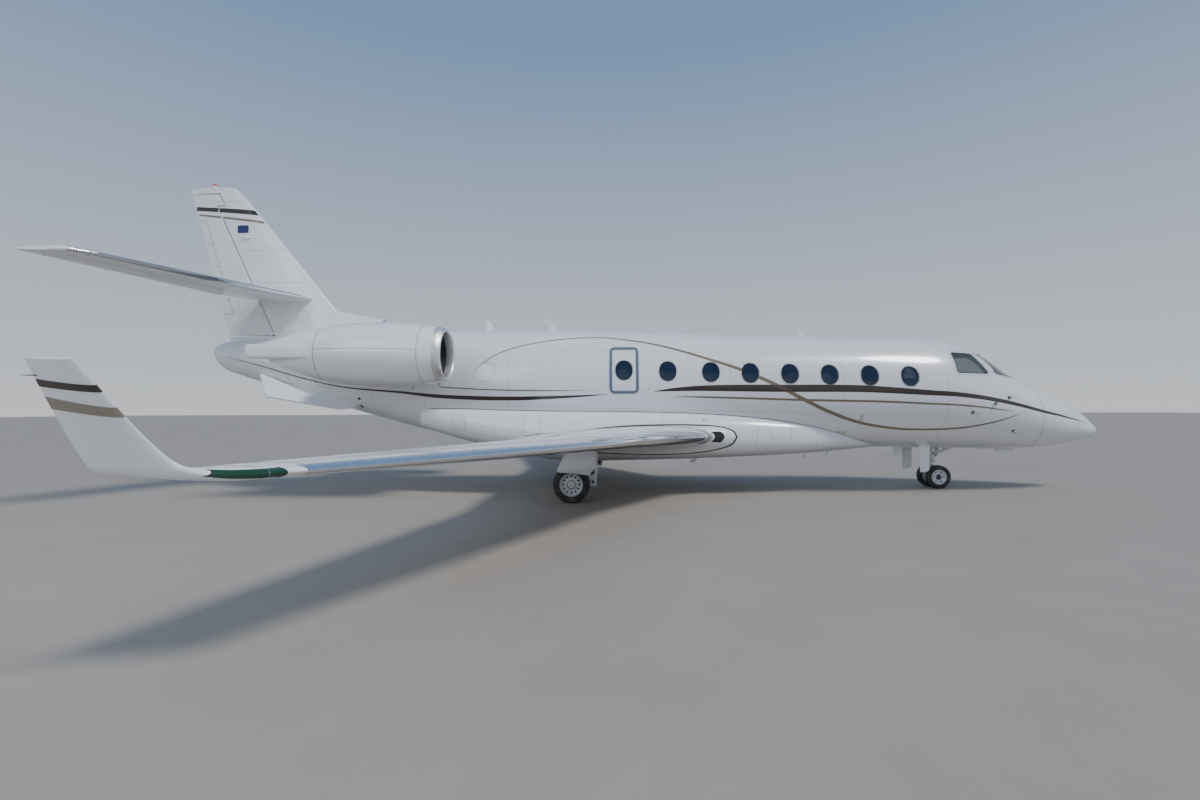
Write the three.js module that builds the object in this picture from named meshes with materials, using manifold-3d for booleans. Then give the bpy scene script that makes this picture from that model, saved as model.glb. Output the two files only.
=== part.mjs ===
// A twin-engine business jet standing on its wheels, in millimetres.
// +X points to the nose, +Y to port and +Z up. The origin lies on the ground at the
// middle of the length, on the centre plane.
import * as THREE from 'three';
import { mergeVertices } from 'three/addons/utils/BufferGeometryUtils.js';
import Module from 'manifold-3d';

const wasm = await Module();
wasm.setup();

// Fit and faceting
const SEAT = 0.3;            // gap between pieces that touch
const DOOR_GAP = 9;          // gap round a door that swings
const CONTROL_GAP = 9;       // gap round a control surface
const BEARING = 0.9;         // play of a pin or shaft in its bore
const PIN = { radius: 10, root: 30, reach: 30, sides: 16 };
const BODY_SIDES = 24;
const NACELLE_SIDES = 20;
const WHEEL_SIDES = 20;
const WINDOW_SIDES = 12;
const ROD_SIDES = 12;

// Fuselage
const WALL = 100;            // skin, frames and lining together
const TAIL_WALL = 60;        // skin and frames of the unlined tail barrel
const RADOME_X = 8080;       // joint between radome and nose
const COCKPIT_X = 5900;      // joint between nose and cabin barrels
const TAIL_X = -2350;        // joint between cabin and tail barrels
const FULL_WIDTH = 1170;     // half the width of the cabin barrel

// Stations from nose to tail: x, top, bottom, half width, height of the widest line
const HULL = [
  [9485, 1178, 1158, 10, 1168],
  [9462, 1222, 1120, 62, 1170],
  [9390, 1284, 1080, 130, 1176],
  [9240, 1426, 1014, 232, 1192],
  [9000, 1616, 956, 360, 1225],
  [8640, 1826, 876, 514, 1290],
  [8260, 1983, 828, 650, 1370],
  [7790, 2210, 804, 782, 1490],
  [7440, 2412, 797, 852, 1590],
  [7090, 2684, 798, 912, 1690],
  [6800, 2844, 803, 982, 1770],
  [6480, 2976, 809, 1058, 1850],
  [6040, 3068, 816, 1134, 1925],
  [5540, 3098, 828, FULL_WIDTH, 1963],
  [3500, 3144, 872, FULL_WIDTH, 2008],
  [1500, 3205, 925, FULL_WIDTH, 2065],
  [-1500, 3296, 990, FULL_WIDTH, 2143],
  [-2600, 3306, 1020, 1150, 2175],
  [-4000, 3303, 1158, 1085, 2270],
  [-5100, 3272, 1440, 950, 2390],
  [-6300, 3226, 1782, 740, 2520],
  [-7450, 3176, 2118, 515, 2655],
  [-8240, 3128, 2366, 342, 2750],
  [-8620, 3098, 2502, 240, 2800],
  [-8830, 3030, 2692, 130, 2865],
  [-8888, 2965, 2800, 70, 2885],
];

// Fairing between wing and body: x, top, bottom, half width, height of the widest line
const FAIRING = [
  [5000, 980, 852, 250, 915],
  [4400, 1240, 800, 620, 1010],
  [3700, 1450, 742, 900, 1060],
  [2700, 1600, 686, 1130, 1090],
  [1500, 1690, 636, 1265, 1110],
  [0, 1740, 598, 1300, 1120],
  [-1500, 1760, 604, 1290, 1130],
  [-2500, 1780, 800, 1230, 1230],
  [-3300, 1790, 985, 1130, 1390],
  [-4100, 1800, 1215, 960, 1510],
];

// Windows of the cabin, all on one sloping line
const WINDOW_X = [5193, 4453, 3715, 2978, 2239, 1500, 689, -139];
const WINDOW_HALF_WIDTH = 155;
const WINDOW_HALF_HEIGHT = 180;
const WINDOW_LINE = { x: 0, z: 2367, slope: -0.0262 };
const HATCH = { x0: -415, x1: 140, z0: 1925, z1: 2830 };

// Doors on the port side
const ENTRY = { x0: 4960, x1: 5760, z0: 1190, z1: 2830, yInner: 560, topSlope: 0.27, corner: 60 };
const BAGGAGE = { x0: -3120, x1: -2480, z0: 1690, z1: 2230, yInner: 700, bottomSlope: -0.55 };
const ENTRY_HINGE = { x0: 5100, x1: 5620, y: 875, z: 1190 };
const STEPS = { rises: [330, 630, 930, 1230], margin: 90, y0: 640, y1: 1120, thickness: 35, skinInset: 20 };
const BAGGAGE_HINGE = { x0: -3060, x1: -2740, y: 1158, z: 2235 };
const HINGE_BARREL = { radius: 9, end: 60, tabDepth: 45, tabNear: 4, tabFar: 30 };

// Cockpit panes: the side pane in x and z, the front pane in y and z and where its cut begins
const SIDE_PANE = { outline: [[6132, 2694], [6591, 2673], [6820, 2291], [6123, 2304]], from: 450, to: 1400 };
const FRONT_PANE = { outline: [[45, 2240], [45, 2690], [505, 2680], [770, 2285], [640, 2258]], from: 6840, to: 8000 };

// Aerials: front x, rear x, height of the tip, height of the root inside the skin
const BLADE_AERIALS = [[-2815, -3065, 3507, 3262]];
const HOOKED_AERIALS = [[-1482, -1829, 3526, 3250], [3664, 3341, 3375, 3095], [5674, 5255, 625, 870]];
const AERIAL_HALF_WIDTH = 9;
const LOW_AERIALS = [[153, -126, 3276, 3205], [1007, 495, 3252, 3165]];
const LOW_AERIAL = { halfWidth: 55, slope: 45 };
const NOSE_BOX = { x0: 7480, x1: 7840, halfWidth: 60, z0: 756, z1: 830 };

// Floors, seats and panel
const FLOOR = { z: 1240, slope: -0.0262, thickness: 60, halfWidth: 1060, cockpitHalfWidth: 900 };
const FLOOR_END = { cabinRear: 200, cabinFront: -5, cockpitRear: 5, cockpitFront: 7330 };
const SEAT_OUTLINE = [[-230, 0], [230, 0], [300, 420], [-120, 420], [-290, 1080], [-420, 1080], [-300, 330]];
const SEAT_SINK = 10;
const SEAT_ROWS = [[3900, -1], [2550, 1], [1150, -1], [-350, 1]];
const CABIN_SEAT = { y: 600, width: 560 };
const PILOT_SEAT = { x: 6350, y: 420, width: 500 };
const PANEL = { outline: [[6930, 1500], [7330, 1500], [7420, 2080], [7180, 2190], [6960, 2130]], halfWidth: 700 };
const PEDESTAL = { x0: 7000, x1: 7300, halfWidth: 300, z0: 1000, z1: 1600 };
const ENTRY_ROOM = { margin: 40, y0: 480, y1: 1400, z0: 900, z1: 3200 };

// Wing: y, leading edge x, trailing edge x, height, thickness over chord
const WING = [
  [900, 1784, -2010, 1120, 0.112],
  [3350, 150, -2030, 1150, 0.112],
  [6100, -1211, -2690, 1212, 0.108],
  [8080, -2192, -3165, 1258, 0.1],
  [8400, -2350, -3245, 1265, 0.098],
];
const SLAT = { y0: 1560, y1: 8180, chord: 0.1 };
const FLAP = { y0: 1420, y1: 6060, chord: 0.73 };
const AILERON = { y0: 6180, y1: 8060, hinge: 0.745, travel: 20 };

// Winglet: leading edge x y z, trailing edge x y z, lean of the section from level in degrees
const WINGLET = [
  [-2351, 8400.5, 1265, -3245, 8400.5, 1265, 0],
  [-2520, 8470, 1270, -3292, 8470, 1272, 14],
  [-2720, 8520, 1300, -3334, 8524, 1306, 42],
  [-2830, 8555, 1360, -3355, 8558, 1364, 60],
  [-2935, 8625, 1505, -3376, 8628, 1508, 63],
  [-3135, 8838, 1922, -3398, 8840, 1926, 63],
];

// Fin and rudder in side view
const FIN_ROOT = { z: 3000, le: -5635, te: -8536, thickness: 0.105 };
const FIN_TIP = { z: 6430, le: -8425, te: -9468, thickness: 0.085 };
const RUDDER = { bottomZ: 3235, topZ: 6285, hornZ: 6045, horn: 225, travel: 25, endGap: 26, hornGap: 30, pinReach: 44 };
const RUDDER_HINGE = { z0: 3168, x0: -7560, slope: -0.466 };

// Tailplane: y, leading edge x, trailing edge x, height
const TAILPLANE = [
  [60, -6700, -8330, 4003],
  [3320, -8360, -9345, 4098],
  [3560, -8560, -9418, 4106],
  [3600, -8760, -9428, 4107],
];
const TAILPLANE_THICKNESS = 0.1;
const ELEVATOR = { y0: 190, y1: 3330, hinge: 0.69, travel: 20 };

// Engines
const ENGINE = { y: 1750, x: -3320, z: 2620, tilt: -0.0145 };
// Outside of the nacelle and inside of its duct: distance behind the lip, radius
const COWL_OUT = [[0, 436], [45, 474], [150, 512], [400, 552], [850, 582], [1350, 576], [1900, 540], [2480, 452], [3080, 350]];
const DUCT = [[45, 415], [150, 405], [420, 418], [700, 425], [1250, 452], [1900, 470], [2480, 375], [3080, 300]];
const LIP_END = 150;
const COWL_END = 2210;
const FAN = { at: 430, hub: 120, radius: 405, blades: 16, depth: 110 };
const CORE = { from: 620, to: 2050, radius: 330 };
const FISHMOUTH = { from: 2080, atRim: 500, to: 3120, atEnd: 165 };
const PYLON = { front: -4150, rear: -6050, root: 500, z: 2640, thickness: 0.1 };
const STANG = { from: 2230, to: 3450, halfHeight: 128, y0: 330, y1: 480 };

// Landing gear
const MAIN_WHEEL = { x: -1074, legY: 1800, spacing: 310, radius: 322, width: 170, rim: 204 };
const NOSE_WHEEL = { x: 6229, spacing: 340, radius: 236, width: 112, rim: 150 };
const STEER = { x: 6195, sleeveBottom: 560, travel: 60 };

const HUB_SLOTS = { count: 12, at: 0.69, radius: 0.078, depth: 30, sides: 8 };
const JACK_PAD = { halfLength: 40, halfWidth: 45, z0: 236, z1: 262 };
const MAIN_SHAFT = 42;
const NOSE_SHAFT = 28;
const MAIN_OLEO = { slider: 46, sliderBottom: 60, sliderTop: 720, cylinder: 72, cylinderBottom: 640, top: 1100 };
const MAIN_BEARING = { radius: 78, halfLength: 52 };
const MAIN_STAY = { radius: 34, foot: 860, back: 420, inward: 520, top: 1115 };
// Torque links, ahead of the leg: x from it, z
const MAIN_LINKS = [
  { outline: [[40, 690], [190, 560], [175, 530], [40, 640]], halfWidth: 32 },
  { outline: [[40, 400], [190, 530], [175, 560], [40, 450]], halfWidth: 26 },
];
const MAIN_DOOR = {
  outline: [[-1325, 566], [-1270, 540], [-1062, 533], [-645, 622], [-668, 960], [-1138, 960]],
  gap: 22, thickness: 22, armX: [-50, 60], armZ: [760, 820],
};
const NOSE_DOOR = { outline: [[5750, 1000], [5980, 1000], [5960, 395], [5925, 365], [5785, 350]], y: 330, thickness: 20 };
const NOSE_OLEO = { sleeve: 62, top: 1000, slider: 40, sliderBottom: 40, collar: 66, collarDepth: 46 };
const NOSE_BRACE = { radius: 30, foot: 640, ahead: 420, top: 860 };
const NOSE_BEARING = { radius: 52, halfLength: 80 };
const NOSE_LUG = { x0: 40, x1: 75, half: 40, halfHeight: 25 };
// Torque links, behind the leg: x from it, z
const NOSE_LINKS = [
  { outline: [[-30, 530], [-170, 440], [-160, 410], [-30, 490]], halfWidth: 22 },
  { outline: [[-20, 300], [-165, 410], [-155, 440], [-20, 350]], halfWidth: 18 },
];

// Paint and finish colours
const paint = (color, roughness, metalness) => new THREE.MeshStandardMaterial({ color, roughness, metalness });
const WHITE = paint(0xe9ebf0, 0.25, 0.0);
const GLASS = paint(0x1b2026, 0.08, 0.0);
const POLISHED = paint(0xc9cbd0, 0.2, 1.0);
const STEEL = paint(0x8d9096, 0.4, 0.9);
const DARK_METAL = paint(0x4a4d52, 0.5, 0.8);
const RUBBER = paint(0x17181a, 0.85, 0.0);
const GREY = paint(0xa5a8ad, 0.5, 0.1);
const CLOTH = paint(0x9a8f80, 0.9, 0.0);

// A closed mesh as a solid, with its faces turned outwards
function solid(geometry) {
  const bare = new THREE.BufferGeometry();
  bare.setAttribute('position', geometry.getAttribute('position').clone());
  if (geometry.index) bare.setIndex(geometry.index.clone());
  const merged = mergeVertices(bare, 1e-3);
  const p = merged.getAttribute('position').array;
  const index = merged.index.array;
  const kept = [];
  let volume = 0;
  const corner = (i) => new THREE.Vector3(p[3 * i], p[3 * i + 1], p[3 * i + 2]);
  for (let i = 0; i < index.length; i += 3) {
    const [a, b, c] = [index[i], index[i + 1], index[i + 2]];
    if (a === b || b === c || c === a) continue;
    kept.push([a, b, c]);
    volume += corner(a).dot(corner(b).cross(corner(c)));
  }
  const triVerts = new Uint32Array(kept.flatMap(([a, b, c]) => (volume < 0 ? [a, c, b] : [a, b, c])));
  return new wasm.Manifold(new wasm.Mesh({ numProp: 3, vertProperties: new Float32Array(p), triVerts }));
}

// The triangles of a solid
function surface(body) {
  const { vertProperties, triVerts } = body.getMesh();
  const geometry = new THREE.BufferGeometry();
  geometry.setAttribute('position', new THREE.BufferAttribute(vertProperties, 3));
  geometry.setIndex(new THREE.BufferAttribute(triVerts, 1));
  return geometry;
}

const join = (...bodies) => bodies.reduce((all, next) => all.add(next));
const cut = (body, ...tools) => tools.reduce((left, tool) => left.subtract(tool), body);
const mirrored = (body) => solid(surface(body).scale(1, -1, 1));

// A body through a list of closed rings, with flat ends. Each face between two rings is split
// along its shorter diagonal, so that mirrored bodies have mirrored facets.
function loft(rings) {
  const count = rings[0].length;
  const positions = rings.flat(2);
  const index = [];
  const span = (i, j) => [0, 1, 2].reduce((sum, k) => sum + (positions[3 * i + k] - positions[3 * j + k]) ** 2, 0);
  for (let r = 0; r + 1 < rings.length; r += 1) {
    for (let i = 0; i < count; i += 1) {
      const j = (i + 1) % count;
      const [a, b, c, d] = [r * count + i, r * count + j, (r + 1) * count + j, (r + 1) * count + i];
      if (span(a, c) <= span(b, d)) index.push(a, b, c, a, c, d);
      else index.push(a, b, d, b, c, d);
    }
  }
  index.push(...cap(rings[0]).flatMap(([a, b, c]) => [a, c, b]));
  const last = (rings.length - 1) * count;
  index.push(...cap(rings.at(-1)).flatMap(([a, b, c]) => [last + a, last + b, last + c]));
  const geometry = new THREE.BufferGeometry();
  geometry.setAttribute('position', new THREE.Float32BufferAttribute(positions, 3));
  geometry.setIndex(index);
  return solid(geometry);
}

// Triangles that fill a flat ring
function cap(ring) {
  const points = ring.map(([x, y, z]) => new THREE.Vector3(x, y, z));
  const normal = new THREE.Vector3();
  const centre = points.reduce((sum, p) => sum.add(p), new THREE.Vector3()).divideScalar(points.length);
  points.forEach((p, i) => {
    const q = points[(i + 1) % points.length];
    normal.add(p.clone().sub(centre).cross(q.clone().sub(centre)));
  });
  normal.normalize();
  const right = points[0].clone().sub(centre).normalize();
  const up = normal.clone().cross(right);
  const flat = points.map((p) => {
    const d = p.clone().sub(centre);
    return new THREE.Vector2(d.dot(right), d.dot(up));
  });
  return THREE.ShapeUtils.triangulateShape(flat, []);
}

// A flat outline pushed straight through from one value to another along an axis.
// Along Y the outline is x, z; along Z it is x, y; along X it is y, z.
function prism(axis, outline, from, to) {
  const shape = new THREE.Shape(outline.map(([a, b]) => new THREE.Vector2(a, b)));
  const geometry = new THREE.ExtrudeGeometry(shape, { depth: to - from, bevelEnabled: false });
  geometry.translate(0, 0, from);
  const turn = new THREE.Matrix4();
  if (axis === 'x') turn.set(0, 0, 1, 0, 1, 0, 0, 0, 0, 1, 0, 0, 0, 0, 0, 1);
  if (axis === 'y') turn.set(1, 0, 0, 0, 0, 0, 1, 0, 0, 1, 0, 0, 0, 0, 0, 1);
  return solid(geometry.applyMatrix4(turn));
}

function box(x0, x1, y0, y1, z0, z1) {
  const geometry = new THREE.BoxGeometry(x1 - x0, y1 - y0, z1 - z0);
  return solid(geometry.translate((x0 + x1) / 2, (y0 + y1) / 2, (z0 + z1) / 2));
}

// A round bar or cone between two points
function rod(a, b, radius, endRadius = radius, sides = ROD_SIDES) {
  const [start, end] = [new THREE.Vector3(...a), new THREE.Vector3(...b)];
  const along = end.clone().sub(start);
  const geometry = new THREE.CylinderGeometry(endRadius, radius, along.length(), sides);
  const turn = new THREE.Quaternion().setFromUnitVectors(new THREE.Vector3(0, 1, 0), along.clone().normalize());
  geometry.applyQuaternion(turn);
  geometry.translate(...start.add(end).multiplyScalar(0.5).toArray());
  return solid(geometry);
}

// A profile of [distance along the axis, radius] turned about X or Y through the origin
function turned(profile, axis, sides) {
  const points = profile.map(([along, radius]) => new THREE.Vector2(radius, along));
  points.push(points[0].clone());
  const geometry = new THREE.LatheGeometry(points, sides);
  geometry.rotateY(Math.PI / sides);
  if (axis === 'x') geometry.rotateZ(-Math.PI / 2);
  return solid(geometry);
}

// A flat plate of a given thickness on an outline in space
function plate(points, thickness) {
  const corners = points.map((p) => new THREE.Vector3(...p));
  const normal = corners[1].clone().sub(corners[0]).cross(corners[2].clone().sub(corners[0])).normalize();
  const side = (sign) => corners.map((p) => p.clone().addScaledVector(normal, (sign * thickness) / 2).toArray());
  return loft([side(-1), side(1)]);
}

// A value read off a table of rows by its first column
function between(table, at, column) {
  const rows = table.slice().sort((a, b) => a[0] - b[0]);
  const k = Math.max(1, rows.findIndex((row) => row[0] >= at));
  const [low, high] = [rows[k - 1], rows[k]];
  const share = (at - low[0]) / (high[0] - low[0]);
  return low[column] + share * (high[column] - low[column]);
}

// Body sections: a rounded outline whose flats touch its top, bottom and half width
function ring([x, top, bottom, half, widest], inset, power = 2, sides = BODY_SIDES) {
  const points = [];
  const flats = 1 / Math.cos(Math.PI / sides);
  for (let i = 0; i < sides; i += 1) {
    const angle = (2 * Math.PI * (i + 0.5)) / sides;
    const [c, s] = [flats * Math.cos(angle), flats * Math.sin(angle)];
    const reach = s > 0 ? top - inset - widest : widest - bottom - inset;
    const round = (value) => Math.sign(value) * Math.abs(value) ** (2 / power);
    points.push([x, (half - inset) * round(c), widest + reach * round(s)]);
  }
  return points;
}
const hullBody = (inset, rows = HULL) => loft(rows.map((row) => ring(row, inset)));

// Wing sections
function halfThickness(f) {
  return 5 * (0.2969 * Math.sqrt(f) - 0.126 * f - 0.3516 * f ** 2 + 0.2843 * f ** 3 - 0.1015 * f ** 4);
}
const CHORD_STEPS = [1, 0.86, 0.72, 0.54, 0.36, 0.2, 0.09, 0.02];
function foil(front, rear, up, ratio, grow = 0) {
  const chord = front.distanceTo(rear);
  const at = (f, side) => {
    const offset = side * (halfThickness(f) * ratio * chord + grow);
    return front.clone().lerp(rear, f).addScaledVector(up, offset).toArray();
  };
  const nose = front.clone().addScaledVector(front.clone().sub(rear).normalize(), grow).toArray();
  return [...CHORD_STEPS.map((f) => at(f, 1)), nose, ...CHORD_STEPS.slice().reverse().map((f) => at(f, -1))];
}
const wingRing = ([y, le, te, z, ratio], grow) => foil(
  new THREE.Vector3(le, y, z), new THREE.Vector3(te, y, z), new THREE.Vector3(0, 0, 1), ratio, grow,
);
const wingBody = (grow, rows = WING) => loft(rows.map((row) => wingRing(row, grow)));

// The x of a point on a lifting surface at a share of its chord
function chordX(table, y, share) {
  const le = between(table, y, 1);
  return le + share * (between(table, y, 2) - le);
}

// Plan outline of a strip of a lifting surface between two shares of its chord
function strip(table, y0, y1, from, to, grow = 0) {
  const kinks = table.map((row) => row[0]).filter((y) => y > y0 && y < y1);
  const stations = [y0, ...kinks, y1];
  const edge = (share, shift) => stations.map((y) => [chordX(table, y, share) + shift, y]);
  const front = edge(from, grow);
  const rear = edge(to, -grow).reverse();
  const outline = [...front, ...rear];
  return outline.map(([x, y]) => [x, y === y0 ? y - grow : y === y1 ? y + grow : y]);
}

const aircraft = new THREE.Group();
const airframe = new THREE.Group();
aircraft.add(airframe);

function piece(name, body, material, parent = airframe, place = [0, 0, 0]) {
  const mesh = new THREE.Mesh(surface(body), material);
  mesh.name = name;
  mesh.position.set(...place);
  parent.add(mesh);
  return mesh;
}
function pair(name, body, material, parent = airframe, place = [0, 0, 0]) {
  piece(`${name}_left`, body, material, parent, place);
  piece(`${name}_right`, mirrored(body), material, parent, [place[0], -place[1], place[2]]);
}

// Fuselage wall and what is cut out of it
const outside = hullBody(0);
const inner = HULL.filter((row) => row[0] < 9300 && row[0] > -8500);
const wall = cut(outside, loft(inner.map((row) => ring(row, row[0] < TAIL_X ? TAIL_WALL : WALL))));
const grownHull = hullBody(-SEAT);
const FAR = 20000;
const slab = (x0, x1) => box(x0, x1, -FAR, FAR, -FAR, FAR);

// Round-cornered outline in side view
function oval(x, z, halfWidth, halfHeight, power = 2.6, sides = WINDOW_SIDES) {
  const points = [];
  for (let i = 0; i < sides; i += 1) {
    const angle = (2 * Math.PI * (i + 0.5)) / sides;
    const round = (value) => Math.sign(value) * Math.abs(value) ** (2 / power);
    points.push([x + halfWidth * round(Math.cos(angle)), z + halfHeight * round(Math.sin(angle))]);
  }
  return points;
}
function chamfered(x0, x1, z0, z1, c) {
  return [[x0 + c, z0], [x1 - c, z0], [x1, z0 + c], [x1, z1 - c], [x1 - c, z1], [x0 + c, z1], [x0, z1 - c], [x0, z0 + c]];
}

const windowZ = (x) => WINDOW_LINE.z + (x - WINDOW_LINE.x) * WINDOW_LINE.slope;
const windowHole = (x, grow) => oval(x, windowZ(x), WINDOW_HALF_WIDTH + grow, WINDOW_HALF_HEIGHT + grow);

// Escape hatch over the starboard wing
const hatchOutline = (grow) => chamfered(
  HATCH.x0 - grow, HATCH.x1 + grow, HATCH.z0 - grow, HATCH.z1 + grow, 90,
);
const hatchHole = prism('y', hatchOutline(SEAT), -1400, -500);
const escapeHatch = wall.intersect(prism('y', hatchOutline(0), -1400, -500));

// Entry door with its steps, hinged at the sill
const entryEnd = (grow) => [
  [ENTRY.yInner - 300, ENTRY.z0 - grow], [1500, ENTRY.z0 - grow],
  [1500, ENTRY.z1 + grow + ENTRY.topSlope * (1500 - 740)],
  [ENTRY.yInner - 300, ENTRY.z1 + grow + ENTRY.topSlope * (ENTRY.yInner - 300 - 740)],
];
const entryCutter = (grow) => prism('x', entryEnd(grow), ENTRY.x0 - grow, ENTRY.x1 + grow).intersect(
  prism('y', chamfered(ENTRY.x0 - grow, ENTRY.x1 + grow, ENTRY.z0 - grow, FAR, ENTRY.corner), 200, 1500),
);
const steps = STEPS.rises.map((rise) => {
  const z = ENTRY.z0 + rise;
  return box(ENTRY.x0 + STEPS.margin, ENTRY.x1 - STEPS.margin, STEPS.y0, STEPS.y1, z, z + STEPS.thickness);
});
const stepSpace = hullBody(STEPS.skinInset).intersect(box(ENTRY.x0, ENTRY.x1, 0, 1400, ENTRY.z0, ENTRY.z1));

// Baggage door under the port engine, hinged at its top edge
const baggageEnd = (grow) => [
  [BAGGAGE.yInner - 300, BAGGAGE.z1 + grow], [1500, BAGGAGE.z1 + grow],
  [1500, BAGGAGE.z0 - grow + BAGGAGE.bottomSlope * (1500 - 1000)],
  [BAGGAGE.yInner - 300, BAGGAGE.z0 - grow + BAGGAGE.bottomSlope * (BAGGAGE.yInner - 300 - 1000)],
];
const baggageCutter = (grow) => prism('x', baggageEnd(grow), BAGGAGE.x0 - grow, BAGGAGE.x1 + grow);

// A barrel hinge along X. Its middle is on the door and its ends are on the body, and each
// has a tab on its own side of the axis: side 1 is above it, side -1 below.
function barrel({ y, z }, from, to, side) {
  const { radius, tabDepth, tabNear, tabFar } = HINGE_BARREL;
  const [near, far] = [z + side * tabNear, z + side * tabFar];
  return join(
    rod([from, y, z], [to, y, z], radius, radius, PIN.sides),
    box(from, to, y - tabDepth, y, Math.min(near, far), Math.max(near, far)),
  );
}
const doorBarrel = (hinge, side) => barrel(hinge, hinge.x0 + HINGE_BARREL.end, hinge.x1 - HINGE_BARREL.end, side);
const bodyBarrels = (hinge, side) => [
  barrel(hinge, hinge.x0, hinge.x0 + HINGE_BARREL.end - SEAT, side),
  barrel(hinge, hinge.x1 - HINGE_BARREL.end + SEAT, hinge.x1, side),
];
const entryDoor = join(
  wall.intersect(entryCutter(0)), doorBarrel(ENTRY_HINGE, 1), ...steps.map((step) => step.intersect(stepSpace)),
);
const baggageDoor = join(wall.intersect(baggageCutter(0)), doorBarrel(BAGGAGE_HINGE, -1));

// Cockpit glazing: side panes cut across, front panes cut from ahead
function grown(outline, grow) {
  const cx = outline.reduce((sum, p) => sum + p[0], 0) / outline.length;
  const cy = outline.reduce((sum, p) => sum + p[1], 0) / outline.length;
  return outline.map(([a, b]) => {
    const length = Math.hypot(a - cx, b - cy);
    return [a + (grow * (a - cx)) / length, b + (grow * (b - cy)) / length];
  });
}
const sidePane = (grow) => prism('y', grown(SIDE_PANE.outline, grow), SIDE_PANE.from, SIDE_PANE.to);
const frontPane = (grow) => prism('x', grown(FRONT_PANE.outline, grow), FRONT_PANE.from, FRONT_PANE.to);
const sideGlass = wall.intersect(sidePane(0));
const frontGlass = wall.intersect(frontPane(0));
const cockpitHoles = [sidePane(SEAT), frontPane(SEAT)].flatMap((tool) => [tool, mirrored(tool)]);

// Cabin panes, carried by a lining strip inside the wall on each side
const PANE_DEPTH = 0.6;
const lining = cut(hullBody(WALL + SEAT), hullBody(WALL + 16));
const liningStrip = (x0, x1) => {
  const edge = (x, dz) => [x, windowZ(x) + dz];
  return prism('y', [edge(x0, -240), edge(x1, -240), edge(x1, 240), edge(x0, 240)], 700, 1300);
};
const paneWall = cut(hullBody(WALL * (1 - PANE_DEPTH)), hullBody(WALL + 8));
function cabinPanes(xs, x0, x1) {
  const panes = xs.map((x) => paneWall.intersect(prism('y', windowHole(x, 0), 700, 1300)));
  return join(lining.intersect(liningStrip(x0, x1)), ...panes);
}
const portWindows = WINDOW_X.slice(1);
const starboardWindows = WINDOW_X;
const panesLeft = cabinPanes(portWindows, -420, 4760);
const panesRight = mirrored(cabinPanes(starboardWindows, -420, 5480));
const windowHoles = [
  ...portWindows.map((x) => prism('y', windowHole(x, SEAT), 700, 1300)),
  ...starboardWindows.map((x) => prism('y', windowHole(x, SEAT), -1300, -700)),
];

// Aerials on the crown and under the belly, each rooted in the skin
const aerialPlate = (outline) => prism('y', outline, -AERIAL_HALF_WIDTH, AERIAL_HALF_WIDTH);
const bladeAerial = ([front, rear, tip, root]) => {
  const length = front - rear;
  return aerialPlate([[front, root], [front - 0.55 * length, tip], [rear, tip], [rear + 0.08 * length, root]]);
};
const hookedAerial = ([front, rear, tip, root]) => {
  const [length, height] = [front - rear, tip - root];
  return aerialPlate([
    [front, root], [front - 0.40 * length, root + 0.86 * height], [front - 0.52 * length, tip], [rear, tip],
    [rear, root + 0.9 * height], [front - 0.66 * length, root + 0.78 * height], [front - 0.55 * length, root],
  ]);
};
const lowAerial = ([front, rear, tip, root]) => prism('y', [
  [front, root], [front - LOW_AERIAL.slope, tip], [rear + LOW_AERIAL.slope, tip], [rear, root],
], -LOW_AERIAL.halfWidth, LOW_AERIAL.halfWidth);
const aerials = [...BLADE_AERIALS.map(bladeAerial), ...HOOKED_AERIALS.map(hookedAerial), ...LOW_AERIALS.map(lowAerial)];
const noseBox = box(NOSE_BOX.x0, NOSE_BOX.x1, -NOSE_BOX.halfWidth, NOSE_BOX.halfWidth, NOSE_BOX.z0, NOSE_BOX.z1);

const shell = join(
  cut(wall, ...windowHoles, ...cockpitHoles, hatchHole, entryCutter(DOOR_GAP), baggageCutter(DOOR_GAP)),
  ...bodyBarrels(ENTRY_HINGE, -1), ...bodyBarrels(BAGGAGE_HINGE, 1), ...aerials, noseBox,
);
const barrels = [
  ['radome', RADOME_X + SEAT, FAR],
  ['nose_section', COCKPIT_X + SEAT, RADOME_X],
  ['cabin_section', TAIL_X + SEAT, COCKPIT_X],
];
for (const [name, x0, x1] of barrels) piece(name, shell.intersect(slab(x0, x1)), WHITE);
piece('escape_hatch', cut(escapeHatch, windowHoles.at(-1)), WHITE);
pair('windscreen', frontGlass, GLASS);
pair('cockpit_window', sideGlass, GLASS);
piece('cabin_windows_left', panesLeft, GLASS);
piece('cabin_windows_right', panesRight, GLASS);
piece('entry_door', entryDoor, WHITE);
piece('baggage_door', baggageDoor, WHITE);

// Tail barrel with the two splayed strakes under it
const strake = plate([
  [-5400, 560, 1800], [-5560, 760, 1668], [-5760, 850, 1650], [-7343, 700, 1904],
  [-7640, 450, 2387], [-7600, 200, 2387], [-5400, 300, 1960],
], 34);
piece('tail_section', join(
  shell.intersect(slab(-FAR, TAIL_X)),
  cut(strake, hullBody(WALL / 2)),
  cut(mirrored(strake), hullBody(WALL / 2)),
), WHITE);

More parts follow.
